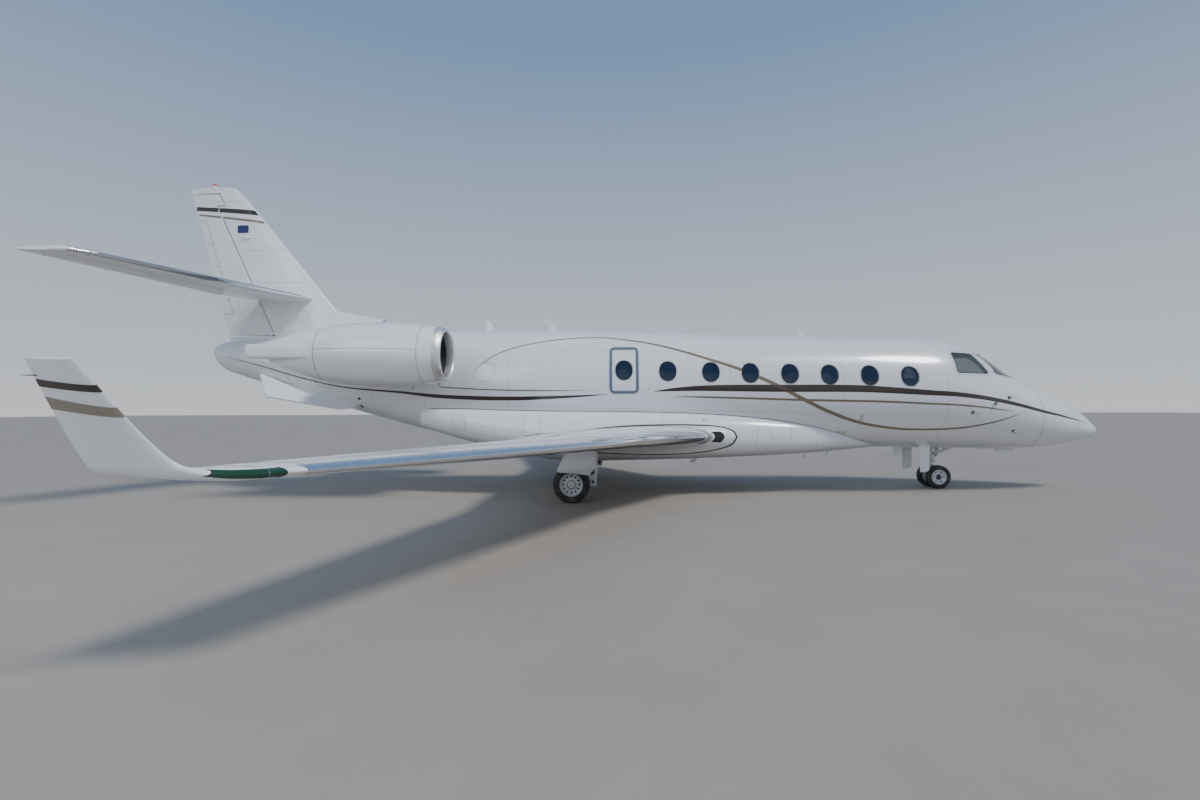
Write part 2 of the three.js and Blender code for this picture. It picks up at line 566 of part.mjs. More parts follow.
// Floor with the cabin seats, and the cockpit floor with its seats and panel
const floorZ = (x) => FLOOR.z + x * FLOOR.slope;
const floorPart = (x0, x1, y1) => prism('y', [
  [x0, floorZ(x0) - FLOOR.thickness], [x1, floorZ(x1) - FLOOR.thickness], [x1, floorZ(x1)], [x0, floorZ(x0)],
], -y1, y1);
function seat(x, y, facing, width) {
  const z = floorZ(x) - SEAT_SINK;
  return prism('y', SEAT_OUTLINE.map(([a, b]) => [x + facing * a, z + b]), y - width / 2, y + width / 2);
}
const cabinSeats = SEAT_ROWS.flatMap(([x, facing]) => (
  [1, -1].map((side) => seat(x, side * CABIN_SEAT.y, facing, CABIN_SEAT.width))
));
const inside = hullBody(WALL + SEAT);
const entryRoom = box(
  ENTRY.x0 - ENTRY_ROOM.margin, COCKPIT_X + ENTRY_ROOM.margin, ENTRY_ROOM.y0, ENTRY_ROOM.y1, ENTRY_ROOM.z0, ENTRY_ROOM.z1,
);
const cabinFloor = floorPart(TAIL_X + FLOOR_END.cabinRear, COCKPIT_X + FLOOR_END.cabinFront, FLOOR.halfWidth);
piece('cabin_interior', cut(join(cabinFloor, ...cabinSeats).intersect(inside), entryRoom), CLOTH);
piece('cockpit_interior', join(
  floorPart(COCKPIT_X + FLOOR_END.cockpitRear, FLOOR_END.cockpitFront, FLOOR.cockpitHalfWidth),
  ...[1, -1].map((side) => seat(PILOT_SEAT.x, side * PILOT_SEAT.y, 1, PILOT_SEAT.width)),
  prism('y', PANEL.outline, -PANEL.halfWidth, PANEL.halfWidth),
  box(PEDESTAL.x0, PEDESTAL.x1, -PEDESTAL.halfWidth, PEDESTAL.halfWidth, PEDESTAL.z0, PEDESTAL.z1),
).intersect(inside), GREY);

// Wing with its slat, flap and aileron
const wingWhole = wingBody(0);
const slatOutline = strip(WING, SLAT.y0, SLAT.y1, -0.1, SLAT.chord);
const flapOutline = strip(WING, FLAP.y0, FLAP.y1, FLAP.chord, 1.1);
const hingePoint = (table, y, share, z) => [chordX(table, y, share), y, z];
const wingZ = (y) => between(WING, y, 3);
const aileronIn = hingePoint(WING, AILERON.y0, AILERON.hinge, wingZ(AILERON.y0));
const aileronOut = hingePoint(WING, AILERON.y1, AILERON.hinge, wingZ(AILERON.y1));
const noseRadius = (table, y, share, ratio) => {
  const chord = between(table, y, 1) - between(table, y, 2);
  return 0.92 * halfThickness(share) * ratio * chord;
};

// A surface split at a hinge into a fixed part and a part with a round nose
function hinged(whole, axis, outline, clearOutline, a, b, radiusA, radiusB, extent) {
  const [from, to] = extent;
  const along = new THREE.Vector3(...b).sub(new THREE.Vector3(...a)).normalize();
  const beyond = (p, distance) => new THREE.Vector3(...p).addScaledVector(along, distance).toArray();
  const moving = whole.intersect(join(prism(axis, outline, from, to), rod(a, b, radiusA, radiusB, 16)));
  const clear = join(
    prism(axis, clearOutline, from, to),
    rod(beyond(a, -CONTROL_GAP), beyond(b, CONTROL_GAP), radiusA + CONTROL_GAP, radiusB + CONTROL_GAP, 16),
  );
  return { moving, fixed: cut(whole, clear) };
}

// A pin on the hinge axis, from the moving part into a socket in the fixed part
function pinned({ moving, fixed }, end, other, reach = PIN.reach) {
  const away = new THREE.Vector3(...end).sub(new THREE.Vector3(...other)).normalize();
  const along = (distance) => new THREE.Vector3(...end).addScaledVector(away, distance).toArray();
  const { radius, root, sides } = PIN;
  return {
    moving: join(moving, rod(along(-root), along(reach), radius, radius, sides)),
    fixed: cut(fixed, rod(along(0), along(reach + SEAT), radius + BEARING, radius + BEARING, sides)),
  };
}

function hingeOutlines(a, b, rearA, rearB, radius, travel) {
  const axis = new THREE.Vector2(b[0] - a[0], b[1] - a[1]).normalize();
  const shift = radius * Math.sin(THREE.MathUtils.degToRad(travel)) + CONTROL_GAP;
  const g = CONTROL_GAP;
  const outline = [a, b, rearB, rearA];
  const clearOutline = [
    [a[0] - axis.x * g + axis.y * shift, a[1] - axis.y * g - axis.x * shift],
    [b[0] + axis.x * g + axis.y * shift, b[1] + axis.y * g - axis.x * shift],
    [rearB[0] + axis.x * g, rearB[1] + axis.y * g],
    [rearA[0] - axis.x * g, rearA[1] - axis.y * g],
  ];
  return [outline, clearOutline];
}
const rearOf = (a, b, reach) => {
  const axis = new THREE.Vector2(b[0] - a[0], b[1] - a[1]).normalize();
  return (p) => [p[0] - axis.y * reach, p[1] + axis.x * reach];
};
const aileronRear = rearOf(aileronIn, aileronOut, 900);
const aileronRadius = noseRadius(WING, AILERON.y0, AILERON.hinge, 0.105);
const aileronTipRadius = noseRadius(WING, AILERON.y1, AILERON.hinge, 0.1);
const [aileronOutline, aileronClear] = hingeOutlines(
  aileronIn, aileronOut, aileronRear(aileronIn), aileronRear(aileronOut), aileronRadius, AILERON.travel,
);
const aileronSplit = hinged(
  wingWhole, 'z', aileronOutline, aileronClear, aileronIn, aileronOut, aileronRadius, aileronTipRadius, [800, 1700],
);
const aileron = pinned(pinned(aileronSplit, aileronIn, aileronOut), aileronOut, aileronIn);
const wingBox = cut(
  aileron.fixed,
  prism('z', strip(WING, SLAT.y0, SLAT.y1, -0.1, SLAT.chord, SEAT), 600, 1700),
  prism('z', strip(WING, FLAP.y0, FLAP.y1, FLAP.chord, 1.1, SEAT), 600, 1700),
);
pair('wing', wingBox, WHITE);
pair('leading_edge', wingWhole.intersect(prism('z', slatOutline, 600, 1700)), POLISHED);
pair('flap', wingWhole.intersect(prism('z', flapOutline, 600, 1700)), WHITE);
pair('aileron', aileron.moving, WHITE);
pair('winglet', loft(WINGLET.map(([x0, y0, z0, x1, y1, z1, lean]) => {
  const angle = THREE.MathUtils.degToRad(lean);
  return foil(
    new THREE.Vector3(x0, y0, z0), new THREE.Vector3(x1, y1, z1),
    new THREE.Vector3(0, -Math.sin(angle), Math.cos(angle)), 0.096,
  );
})), WHITE);

// Fairing under the cabin, pocketed for the wing
const fairingBody = loft(FAIRING.map((row) => ring(row, 0, 2.7)));
piece('belly_fairing', cut(
  fairingBody, grownHull, wingBody(SEAT, [[900 - SEAT, ...WING[0].slice(1)], ...WING.slice(1)]),
  mirrored(wingBody(SEAT, [[900 - SEAT, ...WING[0].slice(1)], ...WING.slice(1)])),
), WHITE);

// Fin with its dorsal fillet and air intake, and the rudder
const finRing = ({ z, le, te, thickness }, grow = 0) => foil(
  new THREE.Vector3(le, 0, z), new THREE.Vector3(te, 0, z), new THREE.Vector3(0, 1, 0), thickness, grow,
);
const finWhole = loft([finRing(FIN_ROOT), finRing(FIN_TIP)]);
const finOutline = [[-5000, 3000], [-8420, 6372], [-8460, 6408], [-8800, 6455], [-9475, 6410], [-9430, 6250], [-8530, 3000]];
const dorsal = loft([
  ring([-5185, 3556, 3150, 120, 3330], 0, 3, 16),
  ring([-5700, 3640, 3100, 135, 3300], 0, 3, 16),
  ring([-6500, 3800, 3050, 120, 3300], 0, 3, 16),
]);
const intake = loft([
  ring([-5100, 3532, 3340, 95, 3436], 0, 3, 16),
  ring([-5480, 3500, 3360, 80, 3436], 0, 3, 16),
]);
const hingeX = (z) => RUDDER_HINGE.x0 + (z - RUDDER_HINGE.z0) * RUDDER_HINGE.slope;
const rudderLow = [hingeX(RUDDER.bottomZ), 0, RUDDER.bottomZ];
const rudderHigh = [hingeX(RUDDER.hornZ), 0, RUDDER.hornZ];
const finRadius = (z) => {
  const share = (z - FIN_ROOT.z) / (FIN_TIP.z - FIN_ROOT.z);
  const le = FIN_ROOT.le + share * (FIN_TIP.le - FIN_ROOT.le);
  const te = FIN_ROOT.te + share * (FIN_TIP.te - FIN_ROOT.te);
  const ratio = FIN_ROOT.thickness + share * (FIN_TIP.thickness - FIN_ROOT.thickness);
  return 0.92 * halfThickness((le - hingeX(z)) / (le - te)) * ratio * (le - te);
};
const hornFront = (z) => hingeX(z) + RUDDER.horn - (z - RUDDER.hornZ) * 0.15;
const rudderOutline = [
  [rudderLow[0], RUDDER.bottomZ], [rudderHigh[0], RUDDER.hornZ],
  [hornFront(RUDDER.hornZ), RUDDER.hornZ], [hornFront(RUDDER.topZ), RUDDER.topZ],
  [-9900, RUDDER.topZ], [-9900, RUDDER.bottomZ],
];
const hingeLean = Math.cos(Math.atan(RUDDER_HINGE.slope));
const rudderSwing = finRadius(RUDDER.bottomZ) * Math.sin(THREE.MathUtils.degToRad(RUDDER.travel));
const rudderShift = (rudderSwing + CONTROL_GAP) / hingeLean;
const rudderClear = [
  [hingeX(RUDDER.bottomZ - RUDDER.endGap) + rudderShift, RUDDER.bottomZ - RUDDER.endGap],
  [hingeX(RUDDER.hornZ - RUDDER.hornGap) + rudderShift, RUDDER.hornZ - RUDDER.hornGap],
  [hornFront(RUDDER.hornZ) + RUDDER.hornGap, RUDDER.hornZ - RUDDER.hornGap],
  [hornFront(RUDDER.topZ) + RUDDER.hornGap, RUDDER.topZ + RUDDER.endGap],
  [-9950, RUDDER.topZ + RUDDER.endGap], [-9950, RUDDER.bottomZ - RUDDER.endGap],
];
const finShaped = finWhole.intersect(prism('y', finOutline, -400, 400));
const rudderSplit = hinged(
  finShaped, 'y', rudderOutline, rudderClear, rudderLow, rudderHigh,
  finRadius(RUDDER.bottomZ), finRadius(RUDDER.hornZ), [-300, 300],
);
const rudderTop = [hingeX(RUDDER.topZ), 0, RUDDER.topZ];
const rudder = pinned(
  pinned(rudderSplit, rudderLow, rudderTop, RUDDER.pinReach), rudderTop, rudderLow, RUDDER.pinReach,
);
const beacon = rod([-8930, 0, 6400], [-8930, 0, 6525], 52, 34);
piece('fin', cut(join(rudder.fixed, dorsal, beacon), intake, grownHull), WHITE);
piece('rudder', rudder.moving, WHITE);

// Tailplane halves beside the fin, with their elevators
const tailRing = ([y, le, te, z]) => foil(
  new THREE.Vector3(le, y, z), new THREE.Vector3(te, y, z), new THREE.Vector3(0, 0, 1), TAILPLANE_THICKNESS,
);
const tailWhole = loft(TAILPLANE.map(tailRing));
const tailZ = (y) => between(TAILPLANE, y, 3);
const elevatorIn = hingePoint(TAILPLANE, ELEVATOR.y0, ELEVATOR.hinge, tailZ(ELEVATOR.y0));
const elevatorOut = hingePoint(TAILPLANE, ELEVATOR.y1, ELEVATOR.hinge, tailZ(ELEVATOR.y1));
const elevatorRearIn = [elevatorIn[0] - 700, elevatorIn[1] + 420];
const elevatorRear = rearOf(elevatorIn, elevatorOut, 700);
const elevatorRadius = noseRadius(TAILPLANE, ELEVATOR.y0, ELEVATOR.hinge, TAILPLANE_THICKNESS);
const elevatorTipRadius = noseRadius(TAILPLANE, ELEVATOR.y1, ELEVATOR.hinge, TAILPLANE_THICKNESS);
const [elevatorOutline, elevatorClear] = hingeOutlines(
  elevatorIn, elevatorOut, elevatorRearIn, elevatorRear(elevatorOut),
  elevatorRadius, ELEVATOR.travel,
);
const rudderRoom = prism('z', [
  [elevatorClear[0][0], 0], [elevatorClear[0][0], elevatorClear[0][1] + 5],
  [elevatorClear[3][0], elevatorClear[3][1] + 5], [elevatorClear[3][0], 0],
], 3800, 4400);
const elevator = pinned(hinged(
  tailWhole, 'z', elevatorOutline, elevatorClear, elevatorIn, elevatorOut,
  elevatorRadius, elevatorTipRadius, [3800, 4400],
), elevatorOut, elevatorIn);
const finGrown = loft([finRing(FIN_ROOT, SEAT), finRing(FIN_TIP, SEAT)]);
pair('stabiliser', cut(elevator.fixed, finGrown, rudderRoom), WHITE);
pair('elevator', elevator.moving, WHITE);

// Engines: nacelle in three parts, plain core block, fan and pylon
function engineParts() {
  const path = (table, from, to) => [
    [-from, between(table, from, 1)],
    ...table.filter((row) => row[0] > from && row[0] < to).map(([x, r]) => [-x, r]),
    [-to, between(table, to, 1)],
  ];
  const profile = (from, to) => [
    ...path(COWL_OUT, from, to), ...path(DUCT, Math.max(from, DUCT[0][0]), to).reverse(),
  ];
  const lip = turned(profile(0, LIP_END), 'x', NACELLE_SIDES);
  const cowl = turned(profile(LIP_END + SEAT, COWL_END), 'x', NACELLE_SIDES);
  const tail = turned(profile(COWL_END + SEAT, COWL_OUT.at(-1)[0]), 'x', NACELLE_SIDES);
  const wedge = (sign) => prism('y', [
    [-FISHMOUTH.from, sign * 900], [-FISHMOUTH.from, sign * (FISHMOUTH.atRim + 60)],
    [-FISHMOUTH.to, sign * FISHMOUTH.atEnd], [-FISHMOUTH.to - 400, sign * FISHMOUTH.atEnd], [-FISHMOUTH.to - 400, sign * 900],
  ], -900, 900);
  const stang = prism('y', [
    [-STANG.from, -STANG.halfHeight], [-STANG.from, STANG.halfHeight],
    [-STANG.to + 60, STANG.halfHeight], [-STANG.to, STANG.halfHeight - 60], [-STANG.to, -STANG.halfHeight],
  ], STANG.y0, STANG.y1);
  const rear = join(cut(tail, wedge(1), wedge(-1)), cut(stang, turned([[-COWL_END - SEAT, 0], [-COWL_END - SEAT, 400], [-3090, 325], [-3090, 0]], 'x', NACELLE_SIDES)));
  const core = join(
    turned([[-CORE.from, 0], [-CORE.from, 250], [-CORE.from - 120, CORE.radius], [-CORE.to + 200, CORE.radius], [-CORE.to, 200], [-CORE.to - 300, 0]], 'x', 16),
    ...[30, 150, 270].map((degrees) => {
      const angle = THREE.MathUtils.degToRad(degrees);
      const geometry = new THREE.BoxGeometry(260, 60, 460);
      geometry.translate(-1250, 0, 0);
      geometry.translate(0, 0, 230);
      geometry.rotateX(angle);
      return solid(geometry);
    }),
  );
  const coreFit = core.intersect(turned([...DUCT.map(([x, r]) => [-x, r - SEAT]), [-3080, 0], [-45, 0]], 'x', NACELLE_SIDES));
  return { lip, cowl, rear, core: coreFit };
}

function fanBody() {
  const spinner = turned([[130, 0], [90, 50], [0, FAN.hub], [-FAN.depth, FAN.hub], [-FAN.depth, 0]], 'x', 18);
  const blades = [];
  for (let i = 0; i < FAN.blades; i += 1) {
    const blade = new THREE.BoxGeometry(120, 12, FAN.radius - FAN.hub + 30);
    blade.rotateZ(THREE.MathUtils.degToRad(38));
    blade.translate(-FAN.depth / 2, 0, (FAN.radius + FAN.hub - 30) / 2);
    blade.rotateX((2 * Math.PI * i) / FAN.blades);
    blades.push(solid(blade));
  }
  const shaft = turned([[-FAN.depth + 5, 0], [-FAN.depth + 5, 60], [FAN.at - CORE.from + SEAT, 60], [FAN.at - CORE.from + SEAT, 0]], 'x', 12);
  return join(spinner, shaft, ...blades);
}

// Pylon between body and nacelle, cut to both
const engineLow = new THREE.Vector3(ENGINE.x, ENGINE.y, ENGINE.z);
const enginePlace = new THREE.Matrix4().makeTranslation(engineLow).multiply(new THREE.Matrix4().makeRotationY(-ENGINE.tilt));
const placed = (body) => solid(surface(body).applyMatrix4(enginePlace));
const { lip, cowl, rear, core } = engineParts();
const nacelleSpace = placed(turned([...COWL_OUT.map(([x, r]) => [-x, r + SEAT]), [-3080, 0], [0, 0]], 'x', NACELLE_SIDES));
const pylonRing = (y) => foil(
  new THREE.Vector3(PYLON.front, y, PYLON.z), new THREE.Vector3(PYLON.rear, y, PYLON.z),
  new THREE.Vector3(0, 0, 1), PYLON.thickness,
);
const pylon = loft([pylonRing(PYLON.root), pylonRing(ENGINE.y)]);
pair('pylon', cut(pylon, grownHull, nacelleSpace), WHITE);
pair('inlet_lip', placed(lip), POLISHED);
pair('engine_cowl', placed(cowl), WHITE);
pair('reverser', placed(rear), WHITE);
pair('engine_core', placed(core), DARK_METAL);
const fanPlace = new THREE.Vector3(-FAN.at, 0, 0).applyMatrix4(enginePlace);
for (const [side, sign] of [['left', 1], ['right', -1]]) {
  const mesh = piece(`fan_${side}`, fanBody(), STEEL, aircraft, [fanPlace.x, sign * fanPlace.y, fanPlace.z]);
  mesh.rotation.y = -ENGINE.tilt;
}

// Wheels turn on axles across the leg. A pair of wheels and its shaft is one body.
// A tyre stands on the middle of a tread facet.
function tyre({ radius: tread, width, rim }) {
  const h = width / 2;
  const radius = tread / Math.cos(Math.PI / WHEEL_SIDES);
  return turned([
    [-h * 0.8, rim + SEAT], [-h, rim + 0.25 * (radius - rim)], [-h * 0.94, rim + 0.7 * (radius - rim)],
    [-h * 0.6, radius - 8], [0, radius], [h * 0.6, radius - 8],
    [h * 0.94, rim + 0.7 * (radius - rim)], [h, rim + 0.25 * (radius - rim)], [h * 0.8, rim + SEAT],
  ], 'y', WHEEL_SIDES);
}
function hubs({ spacing, width, rim }, shaft) {
  const [h, c] = [width / 2, spacing / 2];
  const wheel = (sign) => turned([
    [sign * (c - h * 0.75), 0], [sign * (c - h * 0.75), rim], [sign * (c + h * 0.8), rim], [sign * (c + h * 0.8), rim - 16],
    [sign * (c + h * 0.25), rim - 30], [sign * (c + h * 0.25), rim * 0.42], [sign * (c + h * 0.62), rim * 0.36], [sign * (c + h * 0.62), 0],
  ], 'y', WHEEL_SIDES);
  const slots = (sign) => Array.from({ length: HUB_SLOTS.count }, (_, i) => {
    const angle = (2 * Math.PI * i) / HUB_SLOTS.count;
    const [x, z] = [rim * HUB_SLOTS.at * Math.cos(angle), rim * HUB_SLOTS.at * Math.sin(angle)];
    const web = sign * (c + h * 0.25);
    const radius = rim * HUB_SLOTS.radius;
    return rod([x, web - sign * HUB_SLOTS.depth, z], [x, web + sign, z], radius, radius, HUB_SLOTS.sides);
  });
  const axle = turned([[-c, 0], [-c, shaft], [c, shaft], [c, 0]], 'y', 16);
  return join(cut(wheel(1), ...slots(1)), cut(wheel(-1), ...slots(-1)), axle);
}

// A torque link, its outline measured from the leg
const linkPlate = ({ outline, halfWidth }, x, y) => (
  prism('y', outline.map(([ahead, z]) => [x + ahead, z]), y - halfWidth, y + halfWidth)
);

// Main leg: oleo, axle bearing, torque link, side stay and the door on its outer face
function mainLeg() {
  const { x, legY, radius, spacing, width } = MAIN_WHEEL;
  const tyreOut = legY + spacing / 2 + width / 2;
  const doorIn = tyreOut + MAIN_DOOR.gap;
  const across = (reach) => [[x, legY - reach, radius], [x, legY + reach, radius]];
  const bearing = cut(
    rod(...across(MAIN_BEARING.halfLength), MAIN_BEARING.radius),
    rod(...across(MAIN_BEARING.halfLength + 8), MAIN_SHAFT + BEARING, MAIN_SHAFT + BEARING, 16),
  );
  const jackPad = box(
    x - JACK_PAD.halfLength, x + JACK_PAD.halfLength, legY - JACK_PAD.halfWidth, legY + JACK_PAD.halfWidth,
    JACK_PAD.z0, JACK_PAD.z1,
  );
  const arm = box(x + MAIN_DOOR.armX[0], x + MAIN_DOOR.armX[1], legY, doorIn + 8, ...MAIN_DOOR.armZ);
  return cut(join(
    rod([x, legY, radius + MAIN_OLEO.sliderBottom], [x, legY, MAIN_OLEO.sliderTop], MAIN_OLEO.slider),
    rod([x, legY, MAIN_OLEO.cylinderBottom], [x, legY, MAIN_OLEO.top], MAIN_OLEO.cylinder),
    bearing, jackPad, arm,
    ...MAIN_LINKS.map((link) => linkPlate(link, x, legY)),
    rod([x, legY, MAIN_STAY.foot], [x - MAIN_STAY.back, legY - MAIN_STAY.inward, MAIN_STAY.top], MAIN_STAY.radius),
    prism('y', MAIN_DOOR.outline, doorIn, doorIn + MAIN_DOOR.thickness),
  ), wingBody(SEAT), fairingBody);
}
const mainWheelPlace = [MAIN_WHEEL.x, MAIN_WHEEL.legY, MAIN_WHEEL.radius];
pair('main_leg', mainLeg(), WHITE);
for (const [side, sign] of [['left', 1], ['right', -1]]) {
  const place = [mainWheelPlace[0], sign * mainWheelPlace[1], mainWheelPlace[2]];
  piece(`main_hubs_${side}`, hubs(MAIN_WHEEL, MAIN_SHAFT), STEEL, aircraft, place);
  for (const [spot, offset] of [['outer', sign], ['inner', -sign]]) {
    const at = [place[0], place[1] + (offset * MAIN_WHEEL.spacing) / 2, place[2]];
    piece(`main_tyre_${side}_${spot}`, tyre(MAIN_WHEEL), RUBBER, aircraft, at);
  }
}

// Nose leg: a fixed sleeve with its doors, and the part that steers
piece('nose_strut', cut(join(
  rod([STEER.x, 0, STEER.sleeveBottom], [STEER.x, 0, NOSE_OLEO.top], NOSE_OLEO.sleeve),
  rod([STEER.x, 0, NOSE_BRACE.foot], [STEER.x + NOSE_BRACE.ahead, 0, NOSE_BRACE.top], NOSE_BRACE.radius),
), grownHull), GREY);
function noseFork() {
  const { x, radius } = NOSE_WHEEL;
  const sliderTop = STEER.sleeveBottom - SEAT;
  const across = (reach) => [[x, -reach, radius], [x, reach, radius]];
  return cut(join(
    rod([STEER.x, 0, radius + NOSE_OLEO.sliderBottom], [STEER.x, 0, sliderTop], NOSE_OLEO.slider),
    rod([STEER.x, 0, STEER.sleeveBottom - NOSE_OLEO.collarDepth], [STEER.x, 0, sliderTop], NOSE_OLEO.collar),
    rod(...across(NOSE_BEARING.halfLength), NOSE_BEARING.radius),
    box(
      x + NOSE_LUG.x0, x + NOSE_LUG.x1, -NOSE_LUG.half, NOSE_LUG.half,
      radius - NOSE_LUG.halfHeight, radius + NOSE_LUG.halfHeight,
    ),
    ...NOSE_LINKS.map((link) => linkPlate(link, STEER.x, 0)),
  ), rod(...across(NOSE_BEARING.halfLength + 10), NOSE_SHAFT + BEARING, NOSE_SHAFT + BEARING, 16));
}
piece('nose_fork', noseFork(), STEEL, aircraft);
const noseDoor = prism('y', NOSE_DOOR.outline, NOSE_DOOR.y, NOSE_DOOR.y + NOSE_DOOR.thickness);
pair('nose_gear_door', cut(noseDoor, grownHull), WHITE);
piece('nose_hubs', hubs(NOSE_WHEEL, NOSE_SHAFT), STEEL, aircraft, [NOSE_WHEEL.x, 0, NOSE_WHEEL.radius]);
for (const [side, sign] of [['left', 1], ['right', -1]]) {
  const at = [NOSE_WHEEL.x, (sign * NOSE_WHEEL.spacing) / 2, NOSE_WHEEL.radius];
  piece(`nose_tyre_${side}`, tyre(NOSE_WHEEL), RUBBER, aircraft, at);
}

export default aircraft;
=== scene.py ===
"""A twin-engine business jet parked on its gear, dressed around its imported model.

Metres, +X to the nose, +Y to port, +Z up, origin on the ground under the middle of the length.
The tables of the main shapes are in millimetres, as a maker would write them down.
"""
import math

import bmesh
import bpy
import numpy as np
from mathutils import Matrix, Vector


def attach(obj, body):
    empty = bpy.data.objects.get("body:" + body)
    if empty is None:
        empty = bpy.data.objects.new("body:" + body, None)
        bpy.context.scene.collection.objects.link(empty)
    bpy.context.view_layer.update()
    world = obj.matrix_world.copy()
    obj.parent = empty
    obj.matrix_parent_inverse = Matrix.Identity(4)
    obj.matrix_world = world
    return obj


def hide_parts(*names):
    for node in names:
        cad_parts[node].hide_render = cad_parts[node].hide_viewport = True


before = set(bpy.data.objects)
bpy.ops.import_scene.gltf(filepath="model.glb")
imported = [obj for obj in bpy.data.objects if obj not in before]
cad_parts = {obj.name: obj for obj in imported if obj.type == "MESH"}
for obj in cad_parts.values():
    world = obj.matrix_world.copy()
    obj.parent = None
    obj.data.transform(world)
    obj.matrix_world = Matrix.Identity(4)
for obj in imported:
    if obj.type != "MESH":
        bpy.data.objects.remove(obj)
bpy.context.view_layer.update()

MM = 0.001
TAU = 2 * math.pi
SIDES = (("left", 1), ("right", -1))

# Stations of the body from nose to tail: x, top, bottom, half width, height of the widest line
HULL = [
    [9485, 1178, 1158, 10, 1168], [9462, 1222, 1120, 62, 1170], [9390, 1284, 1080, 130, 1176],
    [9240, 1426, 1014, 232, 1192], [9000, 1616, 956, 360, 1225], [8640, 1826, 876, 514, 1290],
    [8260, 1983, 828, 650, 1370], [7790, 2210, 804, 782, 1490], [7440, 2412, 797, 852, 1590],
    [7090, 2684, 798, 912, 1690], [6800, 2844, 803, 982, 1770], [6480, 2976, 809, 1058, 1850],
    [6040, 3068, 816, 1134, 1925], [5540, 3098, 828, 1170, 1963], [3500, 3144, 872, 1170, 2008],
    [1500, 3205, 925, 1170, 2065], [-1500, 3296, 990, 1170, 2143], [-2600, 3306, 1020, 1150, 2175],
    [-4000, 3303, 1158, 1085, 2270], [-5100, 3272, 1440, 950, 2390], [-6300, 3226, 1782, 740, 2520],
    [-7450, 3176, 2118, 515, 2655], [-8240, 3128, 2366, 342, 2750], [-8620, 3098, 2502, 240, 2800],
    [-8830, 3030, 2692, 130, 2865], [-8888, 2965, 2800, 70, 2885],
]
WALL, TAIL_WALL = 0.100, 0.060
RADOME_X, COCKPIT_X, TAIL_X, TAIL_END = 8.080, 5.900, -2.350, -8.888

# Fairing between wing and body, in the same columns
FAIRING = [
    [5000, 980, 852, 250, 915], [4400, 1240, 800, 620, 1010], [3700, 1450, 742, 900, 1060],
    [2700, 1600, 686, 1130, 1090], [1500, 1690, 636, 1265, 1110], [0, 1740, 598, 1300, 1120],
    [-1500, 1760, 604, 1290, 1130], [-2500, 1780, 800, 1230, 1230], [-3300, 1790, 985, 1130, 1390],
    [-4100, 1800, 1215, 960, 1510],
]
FAIRING_POWER = 2.7
FAIRING_JOINTS = (3.55, 2.35, 0.60, -1.10, -2.60)

# Windows and doors
WINDOW_X = [5.193, 4.453, 3.715, 2.978, 2.239, 1.500, 0.689, -0.139]
WINDOW_HALF = (0.155, 0.180)
WINDOW_POWER = 2.15
HATCH = {"x": (-0.415, 0.140), "z": (1.925, 2.830), "corner": 0.095}
ENTRY = {"x": (4.960, 5.760), "z": (1.190, 2.830), "inner": 0.560, "slope": 0.27, "corner": 0.060,
         "slope_y": 0.74}
BAGGAGE = {"x": (-3.120, -2.480), "z": (1.690, 2.230), "inner": 0.700, "slope": -0.55, "slope_y": 1.0}
DOOR_GAP = 0.007
# How far out the cutters of the doors reach, and how far inside their inner edges they start
OUTSIDE, CUTTER_MARGIN = 1.5, 0.3


# Heights of the window line and of the cabin floor at x = 0, and how both fall for each metre forward
WINDOW_LINE, FLOOR_LINE, FALL = 2.367, 1.240, 0.0262


def window_z(x):
    return WINDOW_LINE - FALL * x


def floor_z(x):
    return FLOOR_LINE - FALL * x


# Curves and directions

def curve_through(points, per_span=12, measured=None):
    """Points on a centripetal Catmull-Rom curve through rows of numbers, spaced by their first columns."""
    p = np.asarray(points, float)
    p = np.vstack([2 * p[0] - p[1], p, 2 * p[-1] - p[-2]])
    steps = np.linalg.norm(np.diff(p[:, :measured], axis=0), axis=1) ** 0.5
    t = np.concatenate([[0], np.cumsum(np.maximum(steps, 1e-6))])
    parts = []
    for i in range(1, len(p) - 2):
        s = np.linspace(t[i], t[i + 1], per_span, endpoint=False)[:, None]

        def mix(a, b, from_t, to_t):
            return (to_t - s) / (to_t - from_t) * a + (s - from_t) / (to_t - from_t) * b

        a1 = mix(p[i - 1], p[i], t[i - 1], t[i])
        a2 = mix(p[i], p[i + 1], t[i], t[i + 1])
        a3 = mix(p[i + 1], p[i + 2], t[i + 1], t[i + 2])
        parts.append(mix(mix(a1, a2, t[i - 1], t[i + 1]), mix(a2, a3, t[i], t[i + 2]), t[i], t[i + 1]))
    return np.vstack(parts + [p[-2:-1]])


def unit(v, least=1e-9):
    """Vectors at a length of one, or less where they are shorter than the least length."""
    return v / np.maximum(np.linalg.norm(v, axis=-1, keepdims=True), least)


def bent(v, power):
    """A sine or cosine reshaped for an oval of some power."""
    return np.sign(v) * np.abs(v) ** (2 / power)


def round_angles(sides):
    return TAU * (np.arange(sides) + 0.5) / sides


# Shapes of the body

